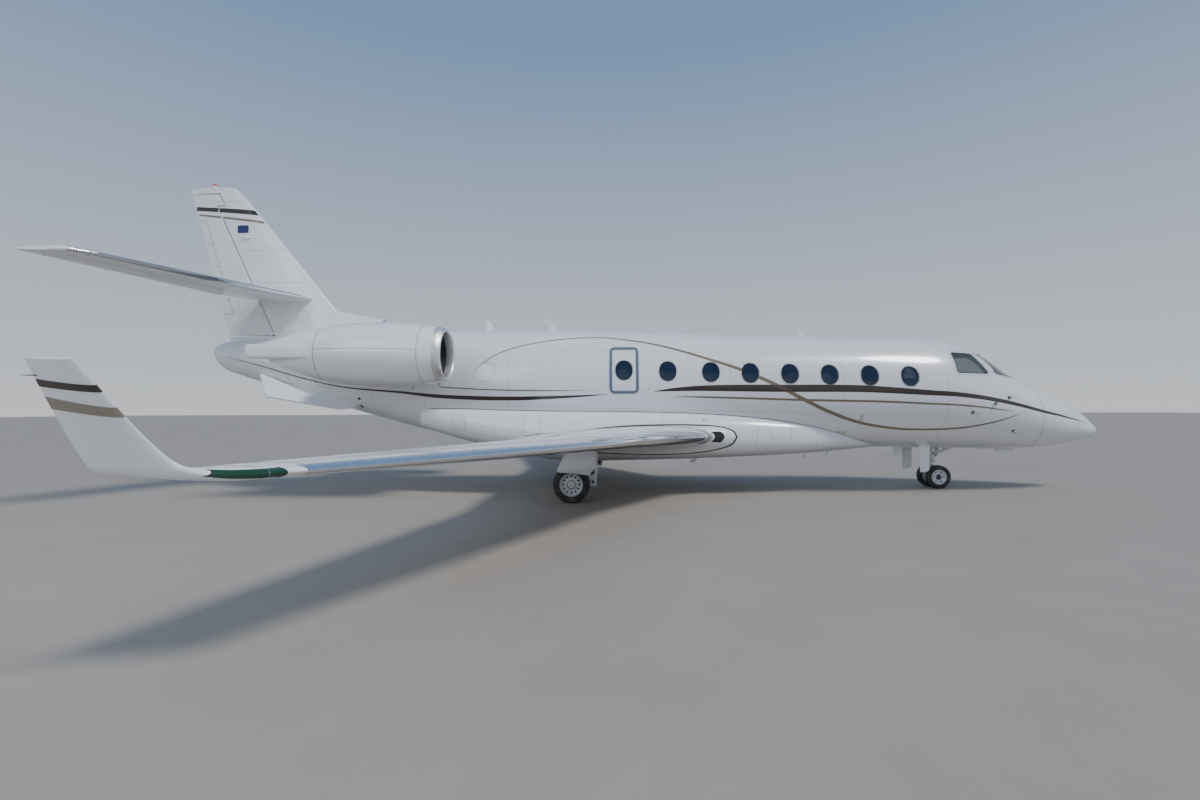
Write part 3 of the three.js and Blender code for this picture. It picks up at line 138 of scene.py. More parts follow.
class Body:
    """A long body with rounded sections, its surface given by a table of stations."""

    def __init__(self, rows, power=2.0):
        self.rows = curve_through(np.array(sorted(rows), float) * MM, 24, 4)
        self.power = power

    def at(self, x, inset=0.0):
        """Top, bottom, half width and height of the widest line at x, drawn in by an inset."""
        top, bottom, half, wide = (np.interp(x, self.rows[:, 0], self.rows[:, k]) for k in range(1, 5))
        return top - inset, bottom + inset, half - inset, wide

    def ring(self, x, inset=0.0, sides=96):
        return self.points(x, round_angles(sides), inset)

    def points(self, x, angle, inset=0.0):
        """Points of the surface at x and an angle up from port round over the crown."""
        x, angle = np.broadcast_arrays(np.asarray(x, float), np.asarray(angle, float))
        top, bottom, half, wide = self.at(x, inset)
        c, s = bent(np.cos(angle), self.power), bent(np.sin(angle), self.power)
        return np.stack([x, half * c, wide + np.where(s > 0, top - wide, wide - bottom) * s], -1)

    def level(self, p, inset=0.0):
        """Under nothing outside the surface, over nothing inside it, in shares of its size."""
        top, bottom, half, wide = self.at(p[..., 0], inset)
        reach = np.where(p[..., 2] > wide, top - wide, wide - bottom)
        half, reach = np.maximum(half, 1e-4), np.maximum(reach, 1e-4)
        return np.abs(p[..., 1] / half) ** self.power + np.abs((p[..., 2] - wide) / reach) ** self.power - 1

    def normal(self, p, inset=0.0):
        steps = 0.002 * np.eye(3)
        return unit(np.stack([self.level(p + step, inset) - self.level(p - step, inset) for step in steps],
                             -1))

    def side(self, x, z, sign=-1, lift=0.0):
        """The point of one side at x and z, lifted off the surface."""
        x, z = np.broadcast_arrays(np.asarray(x, float), np.asarray(z, float))
        top, bottom, half, wide = self.at(x)
        reach = np.where(z > wide, top - wide, wide - bottom)
        inner = np.clip(1 - np.abs((z - wide) / reach) ** self.power, 0, None)
        p = np.stack([x, sign * half * inner ** (1 / self.power), z], -1)
        return p + lift * self.normal(p) if lift else p


hull = Body(HULL)
fairing = Body(FAIRING, FAIRING_POWER)


# Meshes

def grid(rows, cols, closed=False):
    """Faces of a grid of points, row by row. A closed grid joins its last column to its first."""
    faces = []
    for r in range(rows - 1):
        for c in range(cols if closed else cols - 1):
            d = (c + 1) % cols
            faces.append([r * cols + c, r * cols + d, (r + 1) * cols + d, (r + 1) * cols + c])
    return faces


class Form:
    """Points and faces gathered for one mesh."""

    def __init__(self):
        self.points = []
        self.faces = []
        self.paint = []

    def add(self, points, faces, paint=0):
        start = len(self.points)
        self.points.extend(np.asarray(points, float).reshape(-1, 3).tolist())
        self.faces.extend([[start + i for i in face] for face in faces])
        self.paint.extend([paint] * len(faces))
        return self

    def loft(self, rings, paint=0, closed=False):
        """A skin through rings of the same number of points, with flat ends."""
        rings = np.asarray(rings, float)
        count, sides = rings.shape[:2]
        faces = grid(count, sides, closed=True)
        if closed:
            last = (count - 1) * sides
            faces += [[last + i, last + (i + 1) % sides, (i + 1) % sides, i] for i in range(sides)]
        else:
            faces += [list(range(sides))[::-1], [(count - 1) * sides + i for i in range(sides)]]
        return self.add(rings, faces, paint)

    def sheet(self, top, paint=0, depth=0.0016):
        """A thin closed sheet under a grid of points, as thick as its depth."""
        top = np.asarray(top, float)
        rows, cols = top.shape[:2]
        across = np.gradient(top, axis=1) if cols > 1 else np.zeros_like(top)
        along = np.gradient(top, axis=0)
        low = top - depth * unit(np.cross(along, across), 1e-12)
        size = rows * cols
        faces = [f[::-1] for f in grid(rows, cols)] + [[i + size for i in f] for f in grid(rows, cols)]
        rim = ([(0, c) for c in range(cols)] + [(r, cols - 1) for r in range(1, rows)]
               + [(rows - 1, c) for c in range(cols - 2, -1, -1)] + [(r, 0) for r in range(rows - 2, 0, -1)])
        index = [r * cols + c for r, c in rim]
        faces += [[a, b, b + size, a + size] for a, b in zip(index, index[1:] + index[:1])]
        return self.add(np.concatenate([top.reshape(-1, 3), low.reshape(-1, 3)]), faces, paint)

    def mirrored(self):
        """The same form on the other side of the aircraft."""
        other = Form()
        other.points = [[x, -y, z] for x, y, z in self.points]
        other.faces = [face[::-1] for face in self.faces]
        other.paint = list(self.paint)
        return other

    def join(self, other):
        start = len(self.points)
        self.points += other.points
        self.faces += [[start + i for i in face] for face in other.faces]
        self.paint += other.paint
        return self

    def moved(self, matrix):
        """The same form after a 4 by 4 placing."""
        m = np.array(matrix)
        other = Form()
        p = np.array(self.points)
        other.points = (p @ m[:3, :3].T + m[:3, 3]).tolist()
        flip = np.linalg.det(m[:3, :3]) < 0
        other.faces = [face[::-1] if flip else list(face) for face in self.faces]
        other.paint = list(self.paint)
        return other

    def mesh(self):
        data = bpy.data.meshes.new("form")
        data.from_pydata(self.points, [], self.faces)
        data.polygons.foreach_set("material_index", self.paint)
        data.update()
        return data

    def solid(self):
        """The form as a closed mesh with its faces outwards."""
        return outward(self.mesh())


def outward(data):
    """Turns the faces of a closed mesh to point outwards."""
    work = bmesh.new()
    work.from_mesh(data)
    bmesh.ops.remove_doubles(work, verts=work.verts, dist=1e-6)
    bmesh.ops.recalc_face_normals(work, faces=work.faces)
    work.to_mesh(data)
    work.free()
    return data


def shade(data, surfaces=(), crease=32):
    """Smooth shading that breaks at creases, with a surface's own normals where faces lie on it.

    A surface is a body and an inset: its outside has no inset, its lining has one."""
    data.polygons.foreach_set("use_smooth", [True] * len(data.polygons))
    work = bmesh.new()
    work.from_mesh(data)
    limit = math.radians(crease)
    for edge in work.edges:
        edge.smooth = len(edge.link_faces) == 2 and edge.calc_face_angle(0) < limit
    work.to_mesh(data)
    work.free()
    if not surfaces:
        return data
    co = np.zeros(len(data.vertices) * 3)
    data.vertices.foreach_get("co", co)
    co = co.reshape(-1, 3)
    loop_vertex = np.zeros(len(data.loops), int)
    data.loops.foreach_get("vertex_index", loop_vertex)
    normals = np.zeros(len(data.loops) * 3)
    data.corner_normals.foreach_get("vector", normals)
    normals = normals.reshape(-1, 3)
    for body, inset in surfaces:
        near = np.abs(body.level(co, inset)) < 4e-3
        analytic = body.normal(co, inset) * (-1 if inset else 1)
        for polygon in data.polygons:
            loops = list(polygon.loop_indices)
            if near[loop_vertex[loops]].all():
                face = analytic[loop_vertex[loops]]
                if face.mean(0) @ np.array(polygon.normal) > 0.5:
                    normals[loops] = face
    data.normals_split_custom_set(normals.tolist())
    return data


def scene_object(name, data):
    thing = bpy.data.objects.new(name, data)
    bpy.context.scene.collection.objects.link(thing)
    return thing


def boolean(data, cutter, operation="DIFFERENCE"):
    """The mesh cut by, joined to or kept within another closed mesh."""
    a, b = scene_object("cut_a", data), scene_object("cut_b", cutter)
    step = a.modifiers.new("cut", "BOOLEAN")
    step.operation = operation
    step.solver = "MANIFOLD"
    step.object = b
    result = bpy.data.meshes.new_from_object(a.evaluated_get(bpy.context.evaluated_depsgraph_get()))
    for thing in (a, b):
        bpy.data.objects.remove(thing)
    return result


def finished(name, data, materials, body="airframe", slot="white_paint", replaces=(), surfaces=(), crease=32):
    """A finished piece: shaded, painted and riding on its body."""
    data.name = name
    shade(data, surfaces, crease)
    paint = np.zeros(len(data.polygons), dtype=np.int32)
    data.polygons.foreach_get("material_index", paint)
    materials = list(materials) if isinstance(materials, (list, tuple)) else [materials]
    data.materials.clear()
    for material in materials:
        data.materials.append(material)
    data.polygons.foreach_set("material_index", np.minimum(paint, len(materials) - 1))
    piece = scene_object(name, data)
    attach(piece, body)
    if replaces:
        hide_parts(*([replaces] if isinstance(replaces, str) else replaces))
    return piece


# Outlines and plain forms

def oval(cx, cz, half_x, half_z, power=2.0, sides=48):
    angle = round_angles(sides)
    return np.stack([cx + half_x * bent(np.cos(angle), power), cz + half_z * bent(np.sin(angle), power)], -1)


def rounded(points, radius, steps=6):
    """An outline with its corners rounded by arcs."""
    p = np.asarray(points, float)
    out = []
    for i, corner in enumerate(p):
        before, after = p[i - 1] - corner, p[(i + 1) % len(p)] - corner
        la, lb = np.linalg.norm(before), np.linalg.norm(after)
        before, after = before / la, after / lb
        half = 0.5 * math.acos(np.clip(before @ after, -1, 1))
        r = min(radius, 0.45 * min(la, lb) * math.tan(half))
        centre = corner + (before + after) / np.linalg.norm(before + after) * r / math.sin(half)
        a, b = corner + before * r / math.tan(half) - centre, corner + after * r / math.tan(half) - centre
        sweep = math.atan2(a[0] * b[1] - a[1] * b[0], a @ b)
        for k in range(steps + 1):
            c, s = math.cos(sweep * k / steps), math.sin(sweep * k / steps)
            out.append(centre + [a[0] * c - a[1] * s, a[0] * s + a[1] * c])
    return np.array(out)


def turn_of(outline):
    """One for an outline that runs to the left, minus one for the other way."""
    p = np.asarray(outline, float)
    return np.sign(np.sum(p[:, 0] * np.roll(p[:, 1], -1) - np.roll(p[:, 0], -1) * p[:, 1]))


def grown(outline, by):
    """A convex outline pushed out all round."""
    p = np.asarray(outline, float)
    ahead, behind = np.roll(p, -1, 0) - p, p - np.roll(p, 1, 0)
    n = unit(unit(ahead) + unit(behind)) @ [[0, -1], [1, 0]]
    return p + by * n * turn_of(p)


def box_outline(x, z, corner):
    (x0, x1), (z0, z1) = x, z
    return rounded([[x0, z0], [x1, z0], [x1, z1], [x0, z1]], corner)


def prism(axis, outline, low, high, paint=0):
    """A flat outline pushed along an axis. Along y it is x and z, along x y and z, along z x and y."""
    p = np.asarray(outline, float)
    keep = {"x": (1, 2), "y": (0, 2), "z": (0, 1)}[axis]
    rings = np.zeros((2, len(p), 3))
    rings[:, :, keep[0]], rings[:, :, keep[1]] = p[:, 0], p[:, 1]
    rings[0, :, "xyz".index(axis)], rings[1, :, "xyz".index(axis)] = low, high
    return Form().loft(rings, paint)


def together(*forms):
    """One closed mesh of several forms, with its faces outwards."""
    whole = Form()
    for form in forms:
        whole.join(form)
    return whole.solid()


def upright(outline, y):
    """An outline in side view as a ring of points at y, a number or one for each point."""
    return np.column_stack([outline[:, 0], np.broadcast_to(y, len(outline)), outline[:, 1]])


# A plate's edge is drawn in as if its outline were this far from its middle
PLATE_REACH = 0.30


def plate(outline, steps):
    """An upright plate through steps of how far its edge is drawn in and y."""
    centre = outline.mean(0)
    return Form().loft([upright(centre + (outline - centre) * (1 - by / PLATE_REACH), y) for by, y in steps])


def turned(profile, axis="x", sides=64, centre=(0, 0, 0), paint=0, start=0.0):
    """A closed profile of distance along an axis and radius, turned about it."""
    p = np.asarray(profile, float)
    angle = start + TAU * np.arange(sides) / sides
    along, radius = p[:, 0], p[:, 1]
    c, s = np.cos(angle)[:, None] * radius, np.sin(angle)[:, None] * radius
    a = np.broadcast_to(along, c.shape)
    order = {"x": (a, c, s), "y": (s, a, c), "z": (c, s, a)}[axis]
    rings = np.stack(order, -1) + np.array(centre)
    return Form().add(rings, [f[::-1] for f in grid_round(sides, len(p))], paint)


def grid_round(rows, cols):
    """Faces of a grid joined to itself both ways."""
    index = lambda r, c: (r % rows) * cols + c % cols
    return [[index(r, c), index(r, c + 1), index(r + 1, c + 1), index(r + 1, c)]
            for r in range(rows) for c in range(cols)]


def bar(a, b, radius, end_radius=None, sides=24, paint=0):
    """A round bar or cone between two points."""
    a, b = np.asarray(a, float), np.asarray(b, float)
    along = (b - a) / np.linalg.norm(b - a)
    across = np.cross(along, [0, 0, 1] if abs(along[2]) < 0.9 else [1, 0, 0])
    across /= np.linalg.norm(across)
    up = np.cross(along, across)
    angle = TAU * np.arange(sides) / sides
    ring = np.cos(angle)[:, None] * across + np.sin(angle)[:, None] * up
    return Form().loft([a + ring * radius, b + ring * (radius if end_radius is None else end_radius)], paint)


def tube(path, radius, sides=12, paint=0):
    """A round tube along a path, with its own radius at each point where a list is given."""
    p = np.asarray(path, float)
    radii = np.broadcast_to(np.asarray(radius, float), len(p))
    along = np.gradient(p, axis=0)
    along /= np.linalg.norm(along, axis=1, keepdims=True)
    side = np.cross(along[0], [0.1, 0.2, 1.0])
    rings = []
    angle = TAU * np.arange(sides) / sides
    for point, direction, r in zip(p, along, radii):
        side = side - direction * (side @ direction)
        side /= np.linalg.norm(side)
        up = np.cross(direction, side)
        rings.append(point + r * (np.cos(angle)[:, None] * side + np.sin(angle)[:, None] * up))
    return Form().loft(rings, paint)


def block(low, high, bevel=0.0, paint=0):
    """A box with its four long edges along x rounded."""
    corners = [[low[1], low[2]], [high[1], low[2]], [high[1], high[2]], [low[1], high[2]]]
    return prism("x", rounded(corners, max(bevel, 1e-4), 3), low[0], high[0], paint)


# Finishes

class Value:
    """A number that varies over a surface. Sums with it add Math nodes."""

    def __init__(self, finish, socket):
        self.finish = finish
        self.socket = socket

    def sum(self, operation, *others):
        node = self.finish.node("ShaderNodeMath", {"operation": operation}, dict(enumerate(others)))
        return node[0]

    def __add__(self, other): return self.sum("ADD", self, other)
    def __radd__(self, other): return self.sum("ADD", other, self)
    def __sub__(self, other): return self.sum("SUBTRACT", self, other)
    def __mul__(self, other): return self.sum("MULTIPLY", self, other)

    def over(self, edge, soft=0.01):
        """One where the value is over an edge, nothing under it, with a soft step between."""
        node = self.finish.node("ShaderNodeMapRange", {"interpolation_type": "SMOOTHSTEP"}, {
            "Value": self, "From Min": edge - soft, "From Max": edge + soft})
        return node["Result"]


class Outputs:
    def __init__(self, finish, node):
        self.finish, self.node = finish, node

    def __getitem__(self, key):
        return Value(self.finish, self.node.outputs[key])


class Finish:
    """One material: a principled shader with its own small tree of patterns on Object coordinates."""

    def __init__(self, name, color, roughness=0.4, metallic=0.0, **constants):
        self.material = bpy.data.materials.new(name)
        self.material.use_nodes = True
        self.tree = self.material.node_tree
        self.shader = self.tree.nodes["Principled BSDF"]
        self.color = tuple(color) + (1.0,)
        self.material.diffuse_color = self.color
        self.feed(self.shader.inputs["Base Color"], self.color)
        self.feed(self.shader.inputs["Roughness"], roughness)
        self.feed(self.shader.inputs["Metallic"], metallic)
        for key, value in constants.items():
            self.feed(self.shader.inputs[key.replace("_", " ").title().replace("Ior", "IOR")], value)
        self.place = self.node("ShaderNodeTexCoord")["Object"]

    def feed(self, socket, value):
        if isinstance(value, Value):
            self.tree.links.new(value.socket, socket)
        else:
            socket.default_value = value

    def node(self, kind, settings=None, inputs=None):
        node = self.tree.nodes.new(kind)
        for key, value in (settings or {}).items():
            setattr(node, key, value)
        for key, value in (inputs or {}).items():
            self.feed(node.inputs[key], value)
        return Outputs(self, node)

    def scaled(self, stretch):
        return self.node("ShaderNodeMapping", None, {"Vector": self.place, "Scale": stretch})["Vector"]

    def noise(self, scale, detail=2.0, stretch=None, roughness=0.5):
        vector = self.scaled(stretch) if stretch else self.place
        inputs = {"Vector": vector, "Scale": scale, "Detail": detail, "Roughness": roughness}
        return self.node("ShaderNodeTexNoise", None, inputs)["Fac"]

    def wave(self, scale, direction="X"):
        settings = {"wave_type": "BANDS", "bands_direction": direction, "wave_profile": "SIN"}
        return self.node("ShaderNodeTexWave", settings, {"Vector": self.place, "Scale": scale})["Fac"]

    def cells(self, scale):
        return self.node("ShaderNodeTexVoronoi", {"feature": "F1"},
                         {"Vector": self.place, "Scale": scale})["Distance"]

    def tint(self, other, share):
        """Turns the base colour towards another by a share that may vary."""
        socket = self.shader.inputs["Base Color"]
        now = Value(self, socket.links[0].from_socket) if socket.links else self.color
        mixed = self.node("ShaderNodeMix", {"data_type": "RGBA"},
                          {0: share, 6: now, 7: tuple(other) + (1.0,)})
        self.feed(socket, mixed[2])
        return self

    def rough(self, value):
        self.feed(self.shader.inputs["Roughness"], value)
        return self

    def bump(self, value, distance, strength=1.0):
        """Adds a fine relief, as deep as its distance in metres."""
        inputs = {"Height": value, "Distance": distance, "Strength": strength}
        socket = self.shader.inputs["Normal"]
        if socket.links:
            inputs["Normal"] = Value(self, socket.links[0].from_socket)
        self.feed(socket, self.node("ShaderNodeBump", None, inputs)["Normal"])
        return self


def gloss_paint(name, color, dirt=(0.45, 0.43, 0.40), haze=0.10):
    """Gloss enamel with faint orange peel, slight waves in the skin and a little road film."""
    finish = Finish(name, color, 0.22, coat_weight=0.6, coat_roughness=0.06, specular_ior_level=0.5)
    film = finish.noise(1.3, 4.0, (0.5, 1.0, 1.6), 0.6)
    streak = finish.noise(6.0, 3.0, (0.25, 1.0, 2.5))
    finish.tint(dirt, (film * 0.6 + streak * 0.4 - 0.34) * haze)
    finish.rough(0.16 + film * 0.16)
    finish.bump(finish.noise(420.0, 1.0), 0.00003, 0.25)
    finish.bump(finish.noise(2.2, 1.0, (1.0, 1.0, 1.3)), 0.0015, 0.25)
    return finish.material


def flat_colour(name, color, roughness=0.4, metallic=0.0, grain=60.0, depth=0.0001, **constants):
    """A plain finish with the slight unevenness of the real one."""
    finish = Finish(name, color, roughness, metallic, **constants)
    field = finish.noise(grain, 3.0)
    dark = tuple(0.72 * c for c in color)
    finish.tint(dark, (field - 0.35) * 0.5)
    finish.rough(roughness * 0.85 + field * (0.3 * roughness))
    if depth:
        finish.bump(field, depth, 0.4)
    return finish.material


def polished(name, color, roughness=0.12):
    """Polished aluminium, a little cloudy, with fine rubbing marks."""
    finish = Finish(name, color, roughness, 1.0)
    cloud = finish.noise(7.0, 4.0, None, 0.6)
    finish.tint(tuple(0.78 * c for c in color), (cloud - 0.3) * 0.55)
    finish.rough(roughness * 0.7 + cloud * (roughness * 0.8))
    finish.bump(finish.noise(35.0, 2.0, (1.0, 1.0, 6.0)), 0.0002, 0.12)
    return finish.material


def tinted_glass(name, color, alpha, roughness=0.03):
    finish = Finish(name, color, roughness, 0.0, specular_ior_level=0.6, alpha=alpha)
    finish.rough(roughness + finish.noise(9.0, 2.0) * 0.03)
    return finish.material


def rubber_finish(name):
    finish = Finish(name, (0.022, 0.022, 0.024), 0.72)
    dust = finish.noise(9.0, 5.0, None, 0.65)
    finish.tint((0.16, 0.145, 0.125), dust.over(0.56, 0.12) * 0.35)
    finish.rough(0.62 + dust * 0.25)
    finish.bump(finish.noise(170.0, 2.0), 0.0004, 0.4)
    return finish.material


def leather(name, color):
    finish = Finish(name, color, 0.5)
    finish.tint(tuple(0.6 * c for c in color), finish.noise(5.0, 3.0) * 0.5)
    finish.bump(finish.cells(260.0), 0.0005, 0.5)
    return finish.material


def cloth(name, color, weave=900.0):
    finish = Finish(name, color, 0.9)
    finish.tint(tuple(0.55 * c for c in color), finish.wave(weave, "X") * finish.wave(weave, "Y") * 0.6)
    finish.bump(finish.noise(600.0, 2.0), 0.0006, 0.6)
    return finish.material


WHITE = gloss_paint("white_enamel", (0.78, 0.80, 0.825))
RADOME_WHITE = gloss_paint("radome_enamel", (0.775, 0.795, 0.82), haze=0.16)
BROWN = flat_colour("brown_stripe", (0.034, 0.021, 0.017), 0.22, grain=25.0, depth=0, coat_weight=0.5,
                    coat_roughness=0.06)
GOLD = flat_colour("gold_stripe", (0.235, 0.185, 0.115), 0.28, 0.25, 25.0, 0, coat_weight=0.5,
                   coat_roughness=0.06)
TAUPE = flat_colour("taupe_stripe", (0.245, 0.215, 0.165), 0.26, grain=25.0, depth=0, coat_weight=0.5,
                    coat_roughness=0.06)
BLUE = flat_colour("blue_rectangle", (0.016, 0.026, 0.135), 0.3, grain=40.0, depth=0)
SEAM = flat_colour("seam_sealant", (0.21, 0.22, 0.235), 0.6)
# Near-black for dark joints, and for painted shade in the hubs' holes and the vents
DARK_JOINT_AND_SHADE = flat_colour("dark_joint_and_painted_shade", (0.035, 0.036, 0.040), 0.6)
BORDER = flat_colour("hatch_border", (0.105, 0.150, 0.215), 0.35)
POLISHED = polished("polished_aluminium", (0.80, 0.81, 0.83))
SATIN = polished("satin_aluminium", (0.62, 0.63, 0.65), 0.32)
# The cabin glass is tinted dark blue, partly its own tint and partly painted sky reflection
GLASS = tinted_glass("cabin_glazing_painted_sky", (0.014, 0.030, 0.068), 0.62)
SCREEN = tinted_glass("cockpit_glazing", (0.10, 0.13, 0.13), 0.38)
LIP_METAL = polished("lip_aluminium", (0.80, 0.79, 0.77), 0.42)
# The lining of the inlet duct is near-black: painted shade inside the duct
DUCT_LINING_PAINTED_SHADE = flat_colour("duct_lining_painted_shade", (0.045, 0.047, 0.052), 0.6, grain=80.0)
LAMP_GLASS_DARK = flat_colour("landing_light_glass", (0.022, 0.024, 0.028), 0.08, grain=30.0, depth=0)
TIP_RED = flat_colour("tip_lens_red", (0.10, 0.012, 0.012), 0.08, grain=30.0, depth=0)
TIP_GREEN = flat_colour("tip_lens_green", (0.014, 0.060, 0.034), 0.08, grain=30.0, depth=0)
RED_LENS = flat_colour("red_lens", (0.45, 0.02, 0.015), 0.12, grain=30.0, depth=0)
CLEAR_LENS = flat_colour("clear_lens", (0.75, 0.77, 0.78), 0.10, grain=30.0, depth=0)
RUBBER = rubber_finish("tyre_rubber")
SEAL = flat_colour("black_seal", (0.018, 0.019, 0.021), 0.55)
GEAR_WHITE = flat_colour("gear_enamel", (0.66, 0.675, 0.69), 0.34, grain=14.0, depth=0.0002)
HUB_GREY = flat_colour("wheel_enamel", (0.56, 0.575, 0.60), 0.38, 0.35, 18.0, 0.0002)
CHROME = polished("oleo_chrome", (0.86, 0.87, 0.88), 0.06)
STEEL = flat_colour("plain_steel", (0.30, 0.305, 0.315), 0.38, 0.85, 30.0)
HOT_METAL = flat_colour("heat_stained_steel", (0.175, 0.160, 0.150), 0.42, 0.9, 9.0)
BLADE_METAL = flat_colour("blade_titanium", (0.34, 0.35, 0.37), 0.3, 1.0, 20.0)
HOSE = flat_colour("black_hose", (0.03, 0.03, 0.032), 0.5)
BRASS = flat_colour("brass_fitting", (0.42, 0.30, 0.12), 0.35, 0.9, 40.0)
LINING = flat_colour("cabin_lining", (0.52, 0.47, 0.40), 0.75)
SHADE_CLOTH = cloth("window_shade", (0.68, 0.58, 0.44))
CARPET = cloth("cabin_carpet", (0.20, 0.165, 0.13), 500.0)
LEATHER = leather("seat_leather", (0.46, 0.37, 0.26))
COCKPIT_LEATHER = leather("cockpit_leather", (0.10, 0.10, 0.105))
VENEER = Finish("cabinet_veneer", (0.16, 0.075, 0.030), 0.25, coat_weight=0.5, coat_roughness=0.08)
VENEER.tint((0.30, 0.16, 0.075), VENEER.noise(14.0, 5.0, (0.25, 1.0, 3.0), 0.6))
VENEER = VENEER.material
PANEL_GREY = flat_colour("panel_grey", (0.055, 0.058, 0.065), 0.55)
SCREEN_GLOW = Finish("instrument_glass", (0.010, 0.014, 0.022), 0.12).material
PRIMER = flat_colour("zinc_primer", (0.30, 0.33, 0.16), 0.6)


# The body: four barrels, the hatch and the two doors

def stations(x0, x1):
    """Places for rings, closer together where the body curves along its length."""
    xs, x = [x0], x0
    while True:
        x += (0.2 if -1.6 < x < 5.3 else 0.09 if x <= -1.6 else 0.05 if x < 9.15
              else 0.015 if x < 9.45 else 0.004)
        if x > x1 - 0.003:
            return np.array(xs + [x1])
        xs.append(x)


def barrel(x0, x1, wall, closed_low=False, closed_high=False):
    """A stretch of the body as a closed shell, or solid where it has no wall."""
    xs = stations(x0, x1)
    outer = [hull.ring(x) for x in xs]
    if closed_high:
        return Form().loft(outer)
    inner_xs = xs if not closed_low else xs[xs > x0 + 0.4]
    inner = [hull.ring(x, wall) for x in inner_xs]
    if closed_low:
        return Form().loft(outer + inner[::-1])
    return Form().loft(outer + inner[::-1], closed=True)


def window_outline(x, by=0.0):
    return oval(x, window_z(x), WINDOW_HALF[0] + by, WINDOW_HALF[1] + by, WINDOW_POWER, 40)


def core_solid(x0, x1, inset):
    """The inside of the body between two places along it."""
    return Form().loft([hull.ring(x, inset) for x in stations(x0, x1)]).solid()


def entry_cutter(by):
    slope, (x0, x1), (z0, z1) = ENTRY["slope"], ENTRY["x"], ENTRY["z"]
    top = lambda y: z1 + by + slope * (y - ENTRY["slope_y"])
    y0 = ENTRY["inner"] - CUTTER_MARGIN
    section = [[y0, z0 - by], [OUTSIDE, z0 - by], [OUTSIDE, top(OUTSIDE)], [y0, top(y0)]]
    outline = box_outline((x0 - by, x1 + by), (z0 - by, 4.0), ENTRY["corner"])
    return boolean(prism("x", section, x0 - by, x1 + by).solid(), prism("y", outline, 0.2, OUTSIDE).solid(),
                   "INTERSECT")


def baggage_cutter(by):
    slope, (x0, x1), (z0, z1) = BAGGAGE["slope"], BAGGAGE["x"], BAGGAGE["z"]
    low = lambda y: z0 - by + slope * (y - BAGGAGE["slope_y"])
    y0 = BAGGAGE["inner"] - CUTTER_MARGIN
    section = [[y0, z1 + by], [OUTSIDE, z1 + by], [OUTSIDE, low(OUTSIDE)], [y0, low(y0)]]
    return prism("x", section, x0 - by, x1 + by).solid()


SIDE_PANE = rounded([[6.132, 2.694], [6.591, 2.673], [6.820, 2.291], [6.123, 2.304]], 0.030)
FRONT_PANE = rounded([[0.045, 2.240], [0.045, 2.690], [0.505, 2.680], [0.770, 2.285], [0.640, 2.258]], 0.030)


def pane_cutter(kind, by, sign):
    """The prism that cuts one cockpit pane: side panes from the side, front panes from ahead."""
    if kind == "side":
        return prism("y", grown(SIDE_PANE, by), *((0.45, 1.4) if sign > 0 else (-1.4, -0.45)))
    return prism("x", grown(FRONT_PANE, by) * [sign, 1], 6.84, 8.0)


HATCH_OUTLINE = box_outline(HATCH["x"], HATCH["z"], HATCH["corner"])


def shell_piece(name, data, wall, finishes, node, body="airframe"):
    """A piece of the body's shell, its inner side in the second finish."""
    for polygon in data.polygons:
        inner = hull.level(np.array([polygon.center]), wall)[0]
        polygon.material_index = 1 if inner < 5e-3 else 0
    finished(name, data, finishes, body, replaces=node, surfaces=[(hull, 0.0), (hull, wall)])


def body_pieces():
    finished("radome_shell", barrel(RADOME_X, 9.485, 0, closed_high=True).solid(), RADOME_WHITE,
             slot="radome_paint", replaces="radome", surfaces=[(hull, 0.0)])

    nose = barrel(COCKPIT_X, RADOME_X, WALL).solid()
    for kind in ("side", "front"):
        nose = boolean(nose, together(*(pane_cutter(kind, 0.002, sign) for _, sign in SIDES)))
    shell_piece("nose_skin", nose, WALL, [WHITE, LINING], "nose_section")

    port = [prism("y", window_outline(x), 0.7, 1.3) for x in WINDOW_X[1:]]
    starboard = [prism("y", window_outline(x), -1.3, -0.7) for x in WINDOW_X[:-1]]
    hatch = prism("y", grown(HATCH_OUTLINE, 0.003), -1.4, -0.5)
    cabin = boolean(barrel(TAIL_X, COCKPIT_X, WALL).solid(), together(*port, *starboard, hatch))
    shell_piece("cabin_skin", boolean(cabin, entry_cutter(DOOR_GAP)), WALL, [WHITE, LINING], "cabin_section")

    tail = boolean(barrel(TAIL_END, TAIL_X, TAIL_WALL, closed_low=True).solid(), baggage_cutter(DOOR_GAP))
    shell_piece("tail_skin", tail, TAIL_WALL, [WHITE, PRIMER], "tail_section")

    door = boolean(barrel(4.6, COCKPIT_X + 0.2, WALL).solid(), entry_cutter(0), "INTERSECT")
    shell_piece("entry_door_skin", door, WALL, [WHITE, LINING], "entry_door", "entry_door")

    door = boolean(barrel(-3.6, -2.2, TAIL_WALL).solid(), baggage_cutter(0), "INTERSECT")
    shell_piece("baggage_door_skin", door, TAIL_WALL, [WHITE, PRIMER], "baggage_door", "baggage_door")

    plug = boolean(barrel(-0.7, 0.5, WALL).solid(), prism("y", HATCH_OUTLINE, -1.4, -0.5).solid(),
                   "INTERSECT")
    plug = boolean(plug, prism("y", window_outline(WINDOW_X[-1]), -1.3, -0.7).solid())
    shell_piece("escape_hatch_skin", plug, WALL, [WHITE, LINING], "escape_hatch")


# Lines and bands laid on a surface

LIFT = 0.0010


def settled(body, p, lift=LIFT):
    """Points moved onto a surface along its slope and lifted off it."""
    p = np.asarray(p, float)
    step = 0.0005
    for _ in range(5):
        slope = np.stack([(body.level(p + step * a) - body.level(p - step * a)) / (2 * step)
                          for a in np.eye(3)], -1)
        p = p - slope * (body.level(p) / np.maximum((slope ** 2).sum(-1), 1e-9))[..., None]
    return p + lift * body.normal(p)


